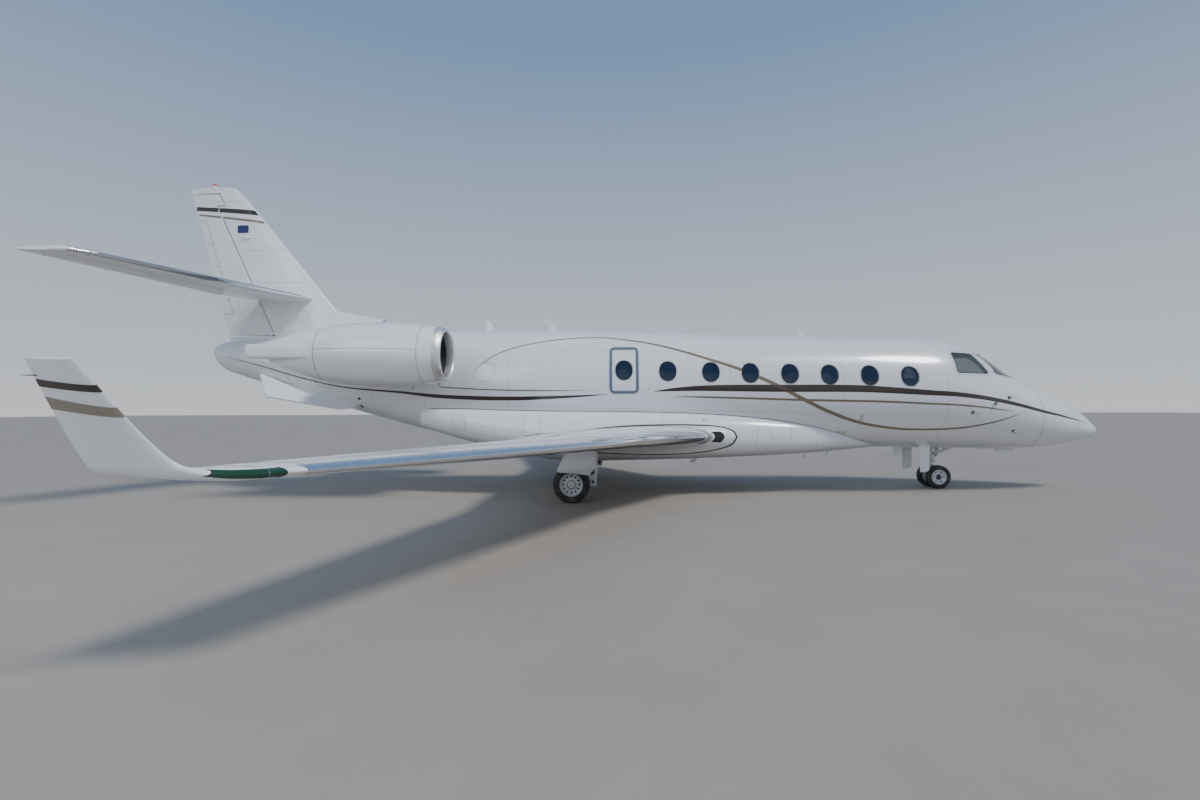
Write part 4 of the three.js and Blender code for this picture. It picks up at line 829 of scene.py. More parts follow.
def band(body, path, width, across=4, lift=LIFT, paint=0, depth=0.0022):
    """A thin band along a path on a surface, as wide as a number or a list of them."""
    p = settled(body, path, 0)
    side = unit(np.cross(body.normal(p), np.gradient(p, axis=0)))
    width = np.broadcast_to(np.asarray(width, float), len(p))[:, None]
    rows = [settled(body, p + side * width * (k / across - 0.5), lift) for k in range(across + 1)]
    return Form().sheet(np.stack(rows, 1), paint, depth)


def dense(outline, step=0.04):
    """A closed outline with points added along its straight sides."""
    p = np.asarray(outline, float)
    parts = []
    for a, b in zip(p, np.roll(p, -1, 0)):
        count = max(1, int(np.linalg.norm(b - a) / step))
        parts.append(a + (b - a) * (np.arange(count) / count)[:, None])
    return np.vstack(parts)


def ring_band(body, outline, sign, width, paint=0, across=1):
    """A band round a closed outline given in side view, inside edge on the outline."""
    outline = dense(outline)
    rows = []
    for k in range(across + 1):
        edge = grown(outline, width * k / across)
        edge = np.vstack([edge, edge[:1]])
        rows.append(body.side(edge[:, 0], edge[:, 1], sign, LIFT))
    return Form().sheet(np.stack(rows[::-1] if sign * turn_of(outline) > 0 else rows, 1), paint, 0.0022)


def hoop(x, width, paint=0):
    """A band all round the body at x, or at places given for angles in degrees."""
    angle = np.radians(np.linspace(-180, 180, 80))
    xs = x if np.isscalar(x) else np.interp(angle, np.radians(x[0]), x[1])
    return band(hull, hull.points(xs, angle), width, 1, LIFT, paint)


# Stripes in side view, alike on both sides: x, z, width, all in metres
DARK_BAND = [
    [0.425, 1.966, 0.004], [0.760, 1.996, 0.040], [1.289, 2.021, 0.070], [2.050, 2.022, 0.090],
             [2.779, 2.014, 0.095],
    [4.255, 2.001, 0.092], [5.050, 1.955, 0.078], [5.538, 1.921, 0.068], [6.100, 1.886, 0.060],
             [6.523, 1.838, 0.056],
    [6.962, 1.772, 0.052], [7.389, 1.686, 0.046], [7.920, 1.560, 0.038], [8.313, 1.484, 0.030],
             [9.000, 1.340, 0.006],
]
GOLD_LINE = [
    [0.821, 1.866, 0.004], [1.291, 1.857, 0.022], [2.300, 1.826, 0.028], [3.248, 1.793, 0.030],
             [4.685, 1.759, 0.029],
    [5.550, 1.717, 0.026], [6.124, 1.689, 0.024], [6.747, 1.631, 0.020], [7.241, 1.563, 0.006],
]
SWOOSH = [
    [-2.976, 2.408, 0.010], [-2.720, 2.620, 0.014], [-2.328, 2.813, 0.018], [-1.546, 2.985, 0.022],
          [-0.744, 3.052, 0.026],
    [-0.131, 3.002, 0.032], [0.651, 2.841, 0.038], [1.407, 2.603, 0.044], [2.085, 2.364, 0.050],
          [2.752, 2.057, 0.056],
    [3.248, 1.793, 0.056], [3.753, 1.557, 0.054], [4.322, 1.366, 0.050], [5.041, 1.246, 0.044],
    [5.683, 1.227, 0.038], [6.283, 1.256, 0.034], [6.620, 1.308, 0.030], [7.003, 1.392, 0.022],
          [7.428, 1.530, 0.006],
]
AFT_GOLD = [[-3.674, 2.071, 0.022], [-2.700, 2.014, 0.026], [-1.697, 1.991, 0.024], [-0.764, 1.994, 0.004]]
AFT_BAND = [
    [-8.464, 2.760, 0.006], [-7.619, 2.553, 0.018], [-6.700, 2.300, 0.022], [-5.779, 2.100, 0.026],
            [-4.457, 1.974, 0.046],
    [-3.688, 1.892, 0.074], [-2.492, 1.845, 0.080], [-1.701, 1.855, 0.066], [-0.900, 1.888, 0.034],
            [-0.424, 1.915, 0.004],
]
# Name, path, finish, strips across, share of the path's widths
STRIPES = [("dark_band", DARK_BAND, BROWN, 5, 1.42), ("gold_line", GOLD_LINE, GOLD, 2, 1.40),
           ("gold_sweep", SWOOSH, GOLD, 3, 1.28), ("aft_gold_line", AFT_GOLD, GOLD, 2, 1.0),
           ("aft_dark_band", AFT_BAND, BROWN, 4, 1.0)]
# Rim round a window that a stripe stops at
PANE_RIM = 0.014
# Thickness of the cockpit panes
PANE_WALL = 0.030


def body_of_skin(x, z, sign):
    """The moving body, if any, that carries the skin at a place."""
    if sign > 0 and ENTRY["x"][0] < x < ENTRY["x"][1] and z > ENTRY["z"][0]:
        return "entry_door"
    if sign > 0 and BAGGAGE["x"][0] < x < BAGGAGE["x"][1] and BAGGAGE["z"][0] < z < BAGGAGE["z"][1]:
        return "baggage_door"
    return "airframe"


def window_gap(path, x):
    """The stretch where a stripe would run over a window, from x to x, or nothing."""
    half_x, half_z = WINDOW_HALF[0] + PANE_RIM, WINDOW_HALF[1] + PANE_RIM
    xs = np.linspace(x - half_x, x + half_x, 161)
    if xs[0] < path[0, 0] or xs[-1] > path[-1, 0]:
        return []
    z = np.interp(xs, path[:, 0], path[:, 1]) - window_z(x)
    over = xs[np.abs((xs - x) / half_x) ** WINDOW_POWER + np.abs(z / half_z) ** WINDOW_POWER < 1]
    return [(over[0], over[-1])] if len(over) > 1 else []


def stripes():
    """Each stripe is cut at the edges of doors and windows, and each stretch rides on its own body."""
    edges = [*ENTRY["x"], *BAGGAGE["x"]]
    for name, rows, finish, across, gain in STRIPES:
        path = curve_through(rows, 14)
        gaps = sum((window_gap(path, x) for x in WINDOW_X), [])
        for side, sign in SIDES:
            kept = {}
            crossed = [e for e in edges if path[0, 0] < e < path[-1, 0]] if sign > 0 else []
            cuts = sorted([path[0, 0], *crossed, *(v for gap in gaps for v in gap), path[-1, 0]])
            for a, b in zip(cuts, cuts[1:]):
                if (a, b) in gaps:
                    continue
                a = a + DOOR_GAP if a in edges else a
                xs = np.concatenate([[a], path[(path[:, 0] > a) & (path[:, 0] < b), 0], [b]])
                z, w = (np.interp(xs, path[:, 0], path[:, k]) for k in (1, 2))
                carrier = body_of_skin((a + b) / 2, float(np.interp((a + b) / 2, xs, z)), sign)
                form = band(hull, hull.side(xs, z, sign), w * gain, across)
                kept.setdefault(carrier, Form()).join(form)
            for carrier, form in kept.items():
                suffix = "" if carrier == "airframe" else f"_{carrier}"
                finished(f"{name}_{side}{suffix}", form.solid(), finish, carrier)


def glazing():
    """Cabin panes with their seals and half-drawn shades, and the cockpit panes."""
    for side, sign in SIDES:
        glass, shades, seals = Form(), Form(), Form()
        for x in WINDOW_X[1:] if sign > 0 else WINDOW_X:
            glass.join(pane_sheet(window_outline(x, -0.0005), sign, 0.010, 0.020))
            low = window_z(x) - WINDOW_HALF[1] * (0.10 if x < 3 else 0.45)
            shade_outline = [q if q[1] < low else [q[0], low] for q in window_outline(x, -0.002).tolist()]
            shades.join(pane_sheet(np.array(shade_outline), sign, 0.062, 0.066))
            seals.join(ring_band(hull, window_outline(x, -0.001), sign, 0.011))
            seals.join(ring_band(hull, window_outline(x, 0.019), sign, 0.0022, paint=1))
        finished(f"cabin_panes_{side}", glass.solid(), GLASS, slot="cabin_glass",
                 replaces=f"cabin_windows_{side}", crease=50)
        finished(f"window_shades_{side}", shades.solid(), SHADE_CLOTH, slot="cabin_trim", crease=50)
        finished(f"window_seals_{side}", seals.solid(), [SEAL, SEAM])
        for kind, node in (("side", "cockpit_window"), ("front", "windscreen")):
            wall = barrel(COCKPIT_X, RADOME_X, PANE_WALL).solid()
            pane = boolean(wall, pane_cutter(kind, 0.0, sign).solid(), "INTERSECT")
            finished(f"{node}_pane_{side}", pane, SCREEN, slot="cockpit_glass", replaces=f"{node}_{side}",
                     surfaces=[(hull, 0.0), (hull, PANE_WALL)])


def pane_sheet(outline, sign, near, far):
    """A curved sheet that fills an outline in side view, between two depths in the wall."""
    centre = np.mean(outline, axis=0)
    rings = []
    shares = (1.0, 0.8, 0.55, 0.28, 0.06)
    for depth, order in ((far, shares[::-1]), (near, shares)):
        for share in order:
            edge = centre + (outline - centre) * share
            p = hull.side(edge[:, 0], edge[:, 1], sign)
            rings.append(p - depth * hull.normal(p) * [0, 1, 0.4])
    return Form().loft(rings)


# Rings round a cockpit pane: distance from its edge, width, finish
PANE_RINGS = [(0.0, 0.013, 0), (0.045, 0.003, 1)]


def window_frames():
    """Rings of dark seal and pale frame round the cockpit panes."""
    form = Form()
    for _, sign in SIDES:
        for by, width, paint in PANE_RINGS:
            form.join(ring_band(hull, grown(SIDE_PANE, by), sign, width, paint))
        for by, width, paint in PANE_RINGS:
            inner = dense(grown(FRONT_PANE, by)) * [sign, 1]
            outer = grown(dense(grown(FRONT_PANE, by)), width) * [sign, 1]
            rows = [front_points(np.vstack([edge, edge[:1]])) for edge in (inner, outer)]
            form.join(Form().sheet(np.stack(rows, 1), paint, 0.0022))
    finished("cockpit_pane_seals", form.solid(), [SEAL, SEAM])


def front_points(yz):
    """Points of the nose found by looking aft along x at each y and z."""
    yz = np.asarray(yz, float)
    low, high = np.full(len(yz), 6.0), np.full(len(yz), 9.4)
    for _ in range(40):
        middle = (low + high) / 2
        inside = hull.level(np.column_stack([middle, yz])) < 0
        low, high = np.where(inside, middle, low), np.where(inside, high, middle)
    return settled(hull, np.column_stack([(low + high) / 2, yz]))


# Joints of the skin: places along the body, the radome's edge by angle in degrees, and heights at x = 0
SKIN_JOINTS = (COCKPIT_X, 3.96, 1.87, TAIL_X, -4.02, -5.12, -7.0)
RADOME_EDGE, RADOME_RING = ([-180, -90, 0, 90, 180], [7.92, 7.95, 7.92, 7.90, 7.92]), 8.83
SIDE_JOINTS = (2.755, 1.640)


def seams():
    """Joints of the skin, and the outlines of hatch and doors."""
    lines = Form()
    for x in SKIN_JOINTS:
        lines.join(hoop(x, 0.0035))
    lines.join(hoop(RADOME_EDGE, 0.007, 1)).join(hoop(RADOME_RING, 0.003))
    xs = np.linspace(-2.3, 5.8, 120)
    for z0 in SIDE_JOINTS:
        lines.join(band(hull, hull.side(xs, z0 - FALL * xs, -1), 0.0022, 1))
    lines.join(ring_band(hull, HATCH_OUTLINE, -1, 0.004, paint=1))
    finished("skin_joints", lines.solid(), [SEAM, DARK_JOINT_AND_SHADE])

    border = ring_band(hull, grown(HATCH_OUTLINE, -0.054), -1, 0.048, across=2)
    finished("hatch_border", border.solid(), BORDER)


# Fairing between wing and body

def fairing_pieces():
    xs = np.unique(np.concatenate([np.linspace(-4.1, 5.0, 90), np.linspace(4.7, 5.0, 8)]))
    shell = Form().loft([fairing.ring(x) for x in xs]).solid()
    finished("belly_fairing_skin", boolean(shell, core_solid(-4.6, 5.3, 0.004)), WHITE,
             replaces="belly_fairing", surfaces=[(fairing, 0.0)])


# Wing and tail surfaces

# y, leading edge, trailing edge, height, thickness over chord
WING = [[900, 1784, -2010, 1120, 0.112], [3350, 150, -2030, 1150, 0.112], [6100, -1211, -2690, 1212, 0.108],
        [8080, -2192, -3165, 1258, 0.1], [8400, -2350, -3245, 1265, 0.098]]
TAILPLANE = [[60, -6700, -8330, 4003, 0.1], [3320, -8360, -9345, 4098, 0.1],
             [3560, -8560, -9418, 4106, 0.1], [3600, -8760, -9428, 4107, 0.1]]
# z, leading edge, trailing edge, thickness over chord
FIN = [[3000, -5635, -8536, 0.105], [6430, -8425, -9468, 0.085]]
# Leading edge x y z, trailing edge x y z, lean of the section from level in degrees
WINGLET = [
    [-2351, 8400.5, 1265, -3245, 8400.5, 1265, 0], [-2520, 8470, 1270, -3292, 8470, 1272, 14],
    [-2720, 8520, 1300, -3334, 8524, 1306, 42], [-2830, 8555, 1360, -3355, 8558, 1364, 60],
    [-2935, 8625, 1505, -3376, 8628, 1508, 63], [-3135, 8838, 1922, -3398, 8840, 1926, 63],
]
WINGLET_RATIO = 0.096
SLAT = {"y": (1.560, 8.180), "chord": 0.10, "joints": (3.350, 5.000, 6.600)}
FLAP = {"y": (1.420, 6.060), "chord": 0.73, "joint": 3.400}
AILERON = {"y": (6.180, 8.060), "hinge": 0.745, "travel": 20}
ELEVATOR = {"y": (0.190, 3.330), "hinge": 0.69, "travel": 20, "inner_slope": 0.6}
RUDDER = {"z": (3.235, 6.285), "horn_z": 6.045, "horn": 0.225, "lean": 0.15, "travel": 25, "end": 0.026,
          "step": 0.030}
RUDDER_LINE = {"x": -7.560, "z": 3.168, "slope": -0.466}
FIN_OUTLINE = [[-5.000, 3.000], [-8.420, 6.372], [-8.460, 6.408], [-8.800, 6.455], [-9.475, 6.410],
               [-9.430, 6.250],
               [-8.530, 3.000]]
CONTROL_GAP = 0.009
CUT_GAP = 0.0016
# How far a strip round a front edge stands ahead of it, as a share of the chord
NOSE_ROOM = 0.0025
# How far lines and bands on wing and tail are lifted off the skin
RIBBON_LIFT, BAND_LIFT = 0.0008, 0.0009
# Joints of the wing: shares of the chord, spans, and the spoilers' spans and shares of the chord
WING_JOINTS, WING_SEAMS = (0.155, 0.62), (2.4, 3.35, 4.3, 5.2, 6.12, 7.1, 8.12, 8.38)
SPOILERS, SPOILER_CHORD = ((1.9, 2.9), (3.05, 4.05), (4.1, 5.0), (5.05, 5.95)), (0.63, 0.722)
# Room above and below the wing that its cutters take
WING_DEPTH = (0.6, 1.7)


def half_thickness(f):
    return 5 * (0.2969 * np.sqrt(f) - 0.126 * f - 0.3516 * f ** 2 + 0.2843 * f ** 3 - 0.1015 * f ** 4)


class Foil:
    """A lifting surface. Rows hold a span, the front and rear edge, the way up, and thickness over chord."""

    def __init__(self, rows):
        self.rows = np.array(rows, float)

    def at(self, span, share, side=1, lift=0.0):
        """A point at a share of the chord: above, below with side -1, or between them with side 0."""
        span, share = np.broadcast_arrays(np.asarray(span, float), np.asarray(share, float))
        v = np.stack([np.interp(span, self.rows[:, 0], self.rows[:, k]) for k in range(1, 11)], -1)
        front, rear, up = v[..., :3], v[..., 3:6], v[..., 6:9]
        chord = np.linalg.norm(rear - front, axis=-1)
        half = half_thickness(np.clip(share, 0, 1)) * v[..., 9] * chord + lift
        return front + (rear - front) * share[..., None] + up * (side * half)[..., None]

    def ring(self, span, steps=30):
        share = (1 - np.cos(np.linspace(0, math.pi, steps))) / 2
        return np.vstack([self.at(span, share[::-1], 1), self.at(span, share[1:], -1)])

    def whole(self, step=0.35):
        """The surface as one closed mesh, with sections close to each kink on both sides."""
        keys = self.rows[:, 0]
        spans = [np.linspace(a, b, max(2, int((b - a) / step) + 1)) for a, b in zip(keys, keys[1:])]
        near = [k + d for k in keys[1:-1] for d in (-0.02, 0.02)]
        spans = np.unique(np.concatenate([*spans, near]))
        return Form().loft([self.ring(s) for s in spans]).solid()

    def strip(self, spans, shares, by=0.0):
        """Plan outline of a stretch of a level surface between two spans and two shares of its chord."""
        keys = self.rows[:, 0]
        s = np.array([spans[0], *keys[(keys > spans[0]) & (keys < spans[1])], spans[1]])
        y = np.array([s[0] - by, *s[1:-1], s[-1] + by])
        front = np.column_stack([self.at(s, shares[0], 0)[:, 0] + by, y])
        rear = np.column_stack([self.at(s, shares[1], 0)[:, 0] - by, y])
        return np.vstack([front, rear[::-1]])

    def nose(self, spans, depth, lift):
        """A strip round the front edge, clear of the surface, back to a share of the chord on both sides."""
        rows = []
        for t in np.linspace(-1, 1, 17):
            share = depth * t * t - NOSE_ROOM * (1 - abs(t)) ** 2
            rows.append(self.at(spans, share, np.sign(t), lift))
        return Form().sheet(np.stack(rows, 1), 0, 0.0018)

    def ribbon(self, spans, shares, width, side=1, along="span", paint=0):
        """A thin line on one side through points given by spans and shares of the chord."""
        spans, shares = np.broadcast_arrays(np.asarray(spans, float), np.asarray(shares, float))
        if along == "span":
            chord = np.linalg.norm(self.at(spans, 1, 0) - self.at(spans, 0, 0), axis=-1)
            rows = [self.at(spans, shares + k * width / chord, side, RIBBON_LIFT) for k in (-0.5, 0.5)]
        else:
            rows = [self.at(spans + k * width, shares, side, RIBBON_LIFT) for k in (-0.5, 0.5)]
        return Form().sheet(np.stack(rows, 1), paint)


def level_rows(table):
    return [[y * MM, le * MM, y * MM, z * MM, te * MM, y * MM, z * MM, 0, 0, 1, ratio] for y, le, te, z,
            ratio in table]


def winglet_rows():
    smooth = curve_through(np.array(WINGLET) * ([MM] * 6 + [math.pi / 180]), 8)
    return [[k, *row[:6], 0, -math.sin(row[6]), math.cos(row[6]), WINGLET_RATIO] for k,
            row in enumerate(smooth)]


wing, tailplane, winglet = Foil(level_rows(WING)), Foil(level_rows(TAILPLANE)), Foil(winglet_rows())
fin = Foil([[z * MM, le * MM, 0, z * MM, te * MM, 0, z * MM, 0, 1, 0, ratio] for z, le, te, ratio in FIN])


def both(name, data, materials, body="airframe", replaces=(), **more):
    """A port piece and its mirror image, each on its own side's body and node."""
    other = data.copy()
    other.transform(Matrix.Scale(-1, 4, (0, 1, 0)))
    other.flip_normals()
    for side, form in (("left", data), ("right", other)):
        carrier = body if body in ("airframe", "nose_steering") else f"{body}_{side}"
        finished(f"{name}_{side}", form, materials, carrier, replaces=[f"{n}_{side}" for n in replaces],
                 **more)


def hinged(whole, axis, outline, clear, ends, radii, reach):
    """Splits a surface at a hinge: the moving part has a round nose, and the fixed part clears it."""
    a, b = (np.array(end) for end in ends)
    along = CONTROL_GAP * (b - a) / np.linalg.norm(b - a)
    shape = lambda p: prism(axis, p, *reach).solid()
    nose = bar(a, b, *radii, sides=48).solid()
    room = bar(a - along, b + along, radii[0] + CONTROL_GAP, radii[1] + CONTROL_GAP, 48).solid()
    moving = boolean(whole, boolean(shape(outline), nose, "UNION"), "INTERSECT")
    return moving, boolean(whole, boolean(shape(clear), room, "UNION"))


def nose_radius(foil, span, share):
    return 0.92 * np.linalg.norm(foil.at(span, share, 1) - foil.at(span, share, 0))


def level_hinge(foil, y, share, travel, inner_slope=None):
    """Plan outlines of a control and of the room it needs, with its hinge points and nose radii."""
    a, b = foil.at(y[0], share, 0), foil.at(y[1], share, 0)
    radii = [nose_radius(foil, s, share) for s in y]
    axis = (b - a)[:2] / np.linalg.norm((b - a)[:2])
    aft = np.array([-axis[1], axis[0]])
    rear_a = a[:2] + 0.9 * (aft if inner_slope is None else np.array([-1, inner_slope]))
    rear_b = b[:2] + 0.9 * aft
    shift = radii[0] * math.sin(math.radians(travel)) + CONTROL_GAP
    g = CONTROL_GAP * axis
    outline = [a[:2], b[:2], rear_b, rear_a]
    clear = [a[:2] - g - aft * shift, b[:2] + g - aft * shift, rear_b + g, rear_a - g]
    return outline, clear, (a, b), radii


def wing_pieces():
    whole = wing.whole()
    aileron, fixed = hinged(whole, "z", *level_hinge(wing, AILERON["y"], AILERON["hinge"], AILERON["travel"]),
                            (0.8, 1.7))
    both("aileron_skin", aileron, WHITE, "aileron", ["aileron"])
    for room in (wing.strip(SLAT["y"], (-0.1, SLAT["chord"])), wing.strip(FLAP["y"], (FLAP["chord"], 1.1))):
        fixed = boolean(fixed, prism("z", room, *WING_DEPTH).solid())
    both("wing_skin", fixed, WHITE, replaces=["wing"])
    for name, joints, chord, finish, node, slot in (
            ("slat_skins", (SLAT["y"][0], *SLAT["joints"], SLAT["y"][1]), (-0.1, SLAT["chord"]), POLISHED,
             "leading_edge", "polished_metal"),
            ("flap_skins", (FLAP["y"][0], FLAP["joint"], FLAP["y"][1]), (FLAP["chord"], 1.1), WHITE,
             "flap", "white_paint")):
        parts = [prism("z", wing.strip(ends, chord, -CUT_GAP), *WING_DEPTH)
                 for ends in zip(joints, joints[1:])]
        both(name, boolean(whole, together(*parts), "INTERSECT"), finish, replaces=[node], slot=slot)
    both("winglet_skin", winglet.whole(1.0), WHITE, replaces=["winglet"])

    lines = Form()
    for side in (1, -1):
        for share in WING_JOINTS:
            lines.join(wing.ribbon(np.linspace(1.6, 8.1, 60), share, 0.003, side))
        for span in WING_SEAMS:
            lines.join(wing.ribbon(span, np.linspace(0.105, 0.70, 24), 0.003, side, "chord"))
    # Spoiler panels ahead of the flap, on the upper side
    for ends in SPOILERS:
        for share in SPOILER_CHORD:
            lines.join(wing.ribbon(np.linspace(*ends, 16), share, 0.006, paint=1))
        for span in ends:
            lines.join(wing.ribbon(span, np.linspace(*SPOILER_CHORD, 8), 0.006, 1, "chord", paint=1))
    both("wing_joints", lines.solid(), [SEAM, DARK_JOINT_AND_SHADE])


# Stripes across the winglet: height at its front and rear edge of their upper and lower border
WINGLET_STRIPES = [("winglet_dark_band", BROWN, (1.789, 1.819), (1.751, 1.779)),
                   ("winglet_taupe_band", TAUPE, (1.668, 1.724), (1.614, 1.657))]


def winglet_stripes():
    share = (1 - np.cos(np.linspace(0, math.pi, 40))) / 2
    heights = winglet.at(winglet.rows[:, 0], 0.5, 0)[:, 2]
    for name, finish, upper, lower in WINGLET_STRIPES:
        form = Form()
        for side in (1, -1):
            rows = []
            for k in np.linspace(0, 1, 4):
                top = np.interp(share, (0, 1), upper)
                z = top + k * (np.interp(share, (0, 1), lower) - top)
                rows.append(winglet.at(np.interp(z, heights, winglet.rows[:, 0]), share, side, BAND_LIFT))
            form.join(Form().sheet(np.stack(rows, 1)))
        both(name, form.solid(), finish)


def hinge_x(z):
    return RUDDER_LINE["x"] + (z - RUDDER_LINE["z"]) * RUDDER_LINE["slope"]


def horn_x(z):
    return hinge_x(z) + RUDDER["horn"] - (z - RUDDER["horn_z"]) * RUDDER["lean"]


def fin_share(x, z):
    """The share of the fin's chord at a place in side view."""
    front, rear = (np.interp(z, fin.rows[:, 0], fin.rows[:, k]) for k in (1, 4))
    return (front - x) / (front - rear)


def fin_pieces():
    low, high = RUDDER["z"]
    horn, end, step = RUDDER["horn_z"], RUDDER["end"], RUDDER["step"]
    radii = [nose_radius(fin, z, fin_share(hinge_x(z), z)) for z in (low, horn)]
    tilt = math.cos(math.atan(RUDDER_LINE["slope"]))
    shift = (radii[0] * math.sin(math.radians(RUDDER["travel"])) + CONTROL_GAP) / tilt
    outline = [[hinge_x(low), low], [hinge_x(horn), horn], [horn_x(horn), horn], [horn_x(high), high],
               [-9.9, high], [-9.9, low]]
    clear = [[hinge_x(low - end) + shift, low - end], [hinge_x(horn - step) + shift, horn - step],
             [horn_x(horn) + step, horn - step], [horn_x(high) + step, high + end], [-9.95, high + end],
             [-9.95, low - end]]
    ends = [[hinge_x(z), 0, z] for z in (low, horn)]
    whole = boolean(fin.whole(), prism("y", rounded(FIN_OUTLINE, 0.02), -0.4, 0.4).solid(), "INTERSECT")
    rudder, fixed = hinged(whole, "y", outline, clear, ends, radii, (-0.3, 0.3))
    finished("rudder_skin", rudder, WHITE, "rudder", replaces="rudder")

    rows = curve_through(np.array([[-5185, 3556, 3150, 120, 3330], [-5700, 3640, 3100, 135, 3300],
                                   [-6500, 3800, 3050, 120, 3300]]) * MM, 8)
    dorsal = Form().loft([section_ring(row, 3) for row in rows]).solid()
    duct = [[-5.05, 3.536, 3.336, 0.099, 3.436], [-5.20, 3.520, 3.350, 0.090, 3.436],
            [-5.48, 3.500, 3.360, 0.080, 3.436]]
    dorsal = boolean(dorsal, Form().loft([section_ring(row, 3) for row in duct]).solid())
    fixed = boolean(fixed, dorsal, "UNION")
    fixed = boolean(fixed, core_solid(-8.8, -4.9, 0.002))
    finished("fin_skin", fixed, WHITE, replaces="fin")
    lip = [section_ring([-5.188 + dx, 3.540 + grow, 3.330 - grow, 0.096 + grow, 3.436], 3) for dx, grow in
           ((0, 0), (0.012, 0.006), (0.006, 0.014), (-0.02, 0.018), (-0.02, 0.004))]
    finished("intake_rim", Form().loft(lip, closed=True).solid(), POLISHED, slot="polished_metal")
    beacon = turned([[6.470, 0.001], [6.525, 0.001], [6.525, 0.022], [6.515, 0.034], [6.490, 0.042],
                     [6.470, 0.046]],
                    "z", 32, (-8.93, 0, 0))
    base = turned([[6.40, 0.001], [6.472, 0.001], [6.472, 0.050], [6.40, 0.052]], "z", 32, (-8.93, 0, 0),
                  paint=1)
    finished("beacon", beacon.join(base).solid(), [RED_LENS, WHITE])


def section_ring(row, power, sides=48):
    """A rounded section from x, top, bottom, half width and height of the widest line."""
    x, top, bottom, half, wide = row
    angle = round_angles(sides)
    c, s = bent(np.cos(angle), power), bent(np.sin(angle), power)
    return np.column_stack([np.full(sides, x), half * c, wide + np.where(s > 0, top - wide, wide - bottom)
                            * s])


# Bands across the fin: height at x = -8.5 of their upper border, slope, and depth at the front and rear
# Name, finish, top edge as height and slope, depth at the front and rear, start ahead of the rudder's hinge
FIN_BANDS = [("fin_dark_band", BROWN, (5.962, 0.081), (0.101, 0.083), 0.030),
             ("fin_gold_line", GOLD, (5.773, 0.1275), (0.050, 0.035), 0.006)]


# Joints of the fin: shares of the chord, heights, and round covers as x, z and radius
FIN_JOINTS, FIN_SEAMS = (0.16, 0.40), (4.35, 5.05, 6.12)
FIN_COVERS = [(-7.49, 3.66, 0.075), (-6.92, 3.62, 0.120), (-7.30, 3.36, 0.110), (-8.376, 4.64, 0.085)]
# The rudder's tab, its front edge as heights and x, and the heights of its hinges
TAB = {"z": (3.70, 5.72), "line": ((3.690, 5.709), (-8.487, -9.101)), "hinges": (4.05, 4.75, 5.25)}
FLAG = {"x": (-8.386, -8.142), "z": (5.598, 5.431)}


def band_front(top, drop):
    """Where a line a little below a band's upper border meets the fin's leading edge."""
    x = -8.0
    for _ in range(5):
        x = np.interp(top[0] + (-8.5 - x) * top[1] - drop, fin.rows[:, 0], fin.rows[:, 1])
    return x


def fin_band(side, starts, x1, top, depth):
    """A band over one side of the fin, from where its upper and lower borders start to one place along it."""
    rows = []
    for k in np.linspace(0, 1, 4):
        xs = np.linspace(np.interp(k, (0, 1), starts), x1, 30)
        z = top[0] + (-8.5 - xs) * top[1] - k * np.interp(xs, (-9.4, -8.2), depth[::-1])
        rows.append(fin.at(z, np.clip(fin_share(xs, z), 0, 1), side, BAND_LIFT))
    return Form().sheet(np.stack(rows, 1))


def tab_share(z):
    """The share of the fin's chord at the front of the rudder's tab."""
    return fin_share(np.interp(z, *TAB["line"]), z)


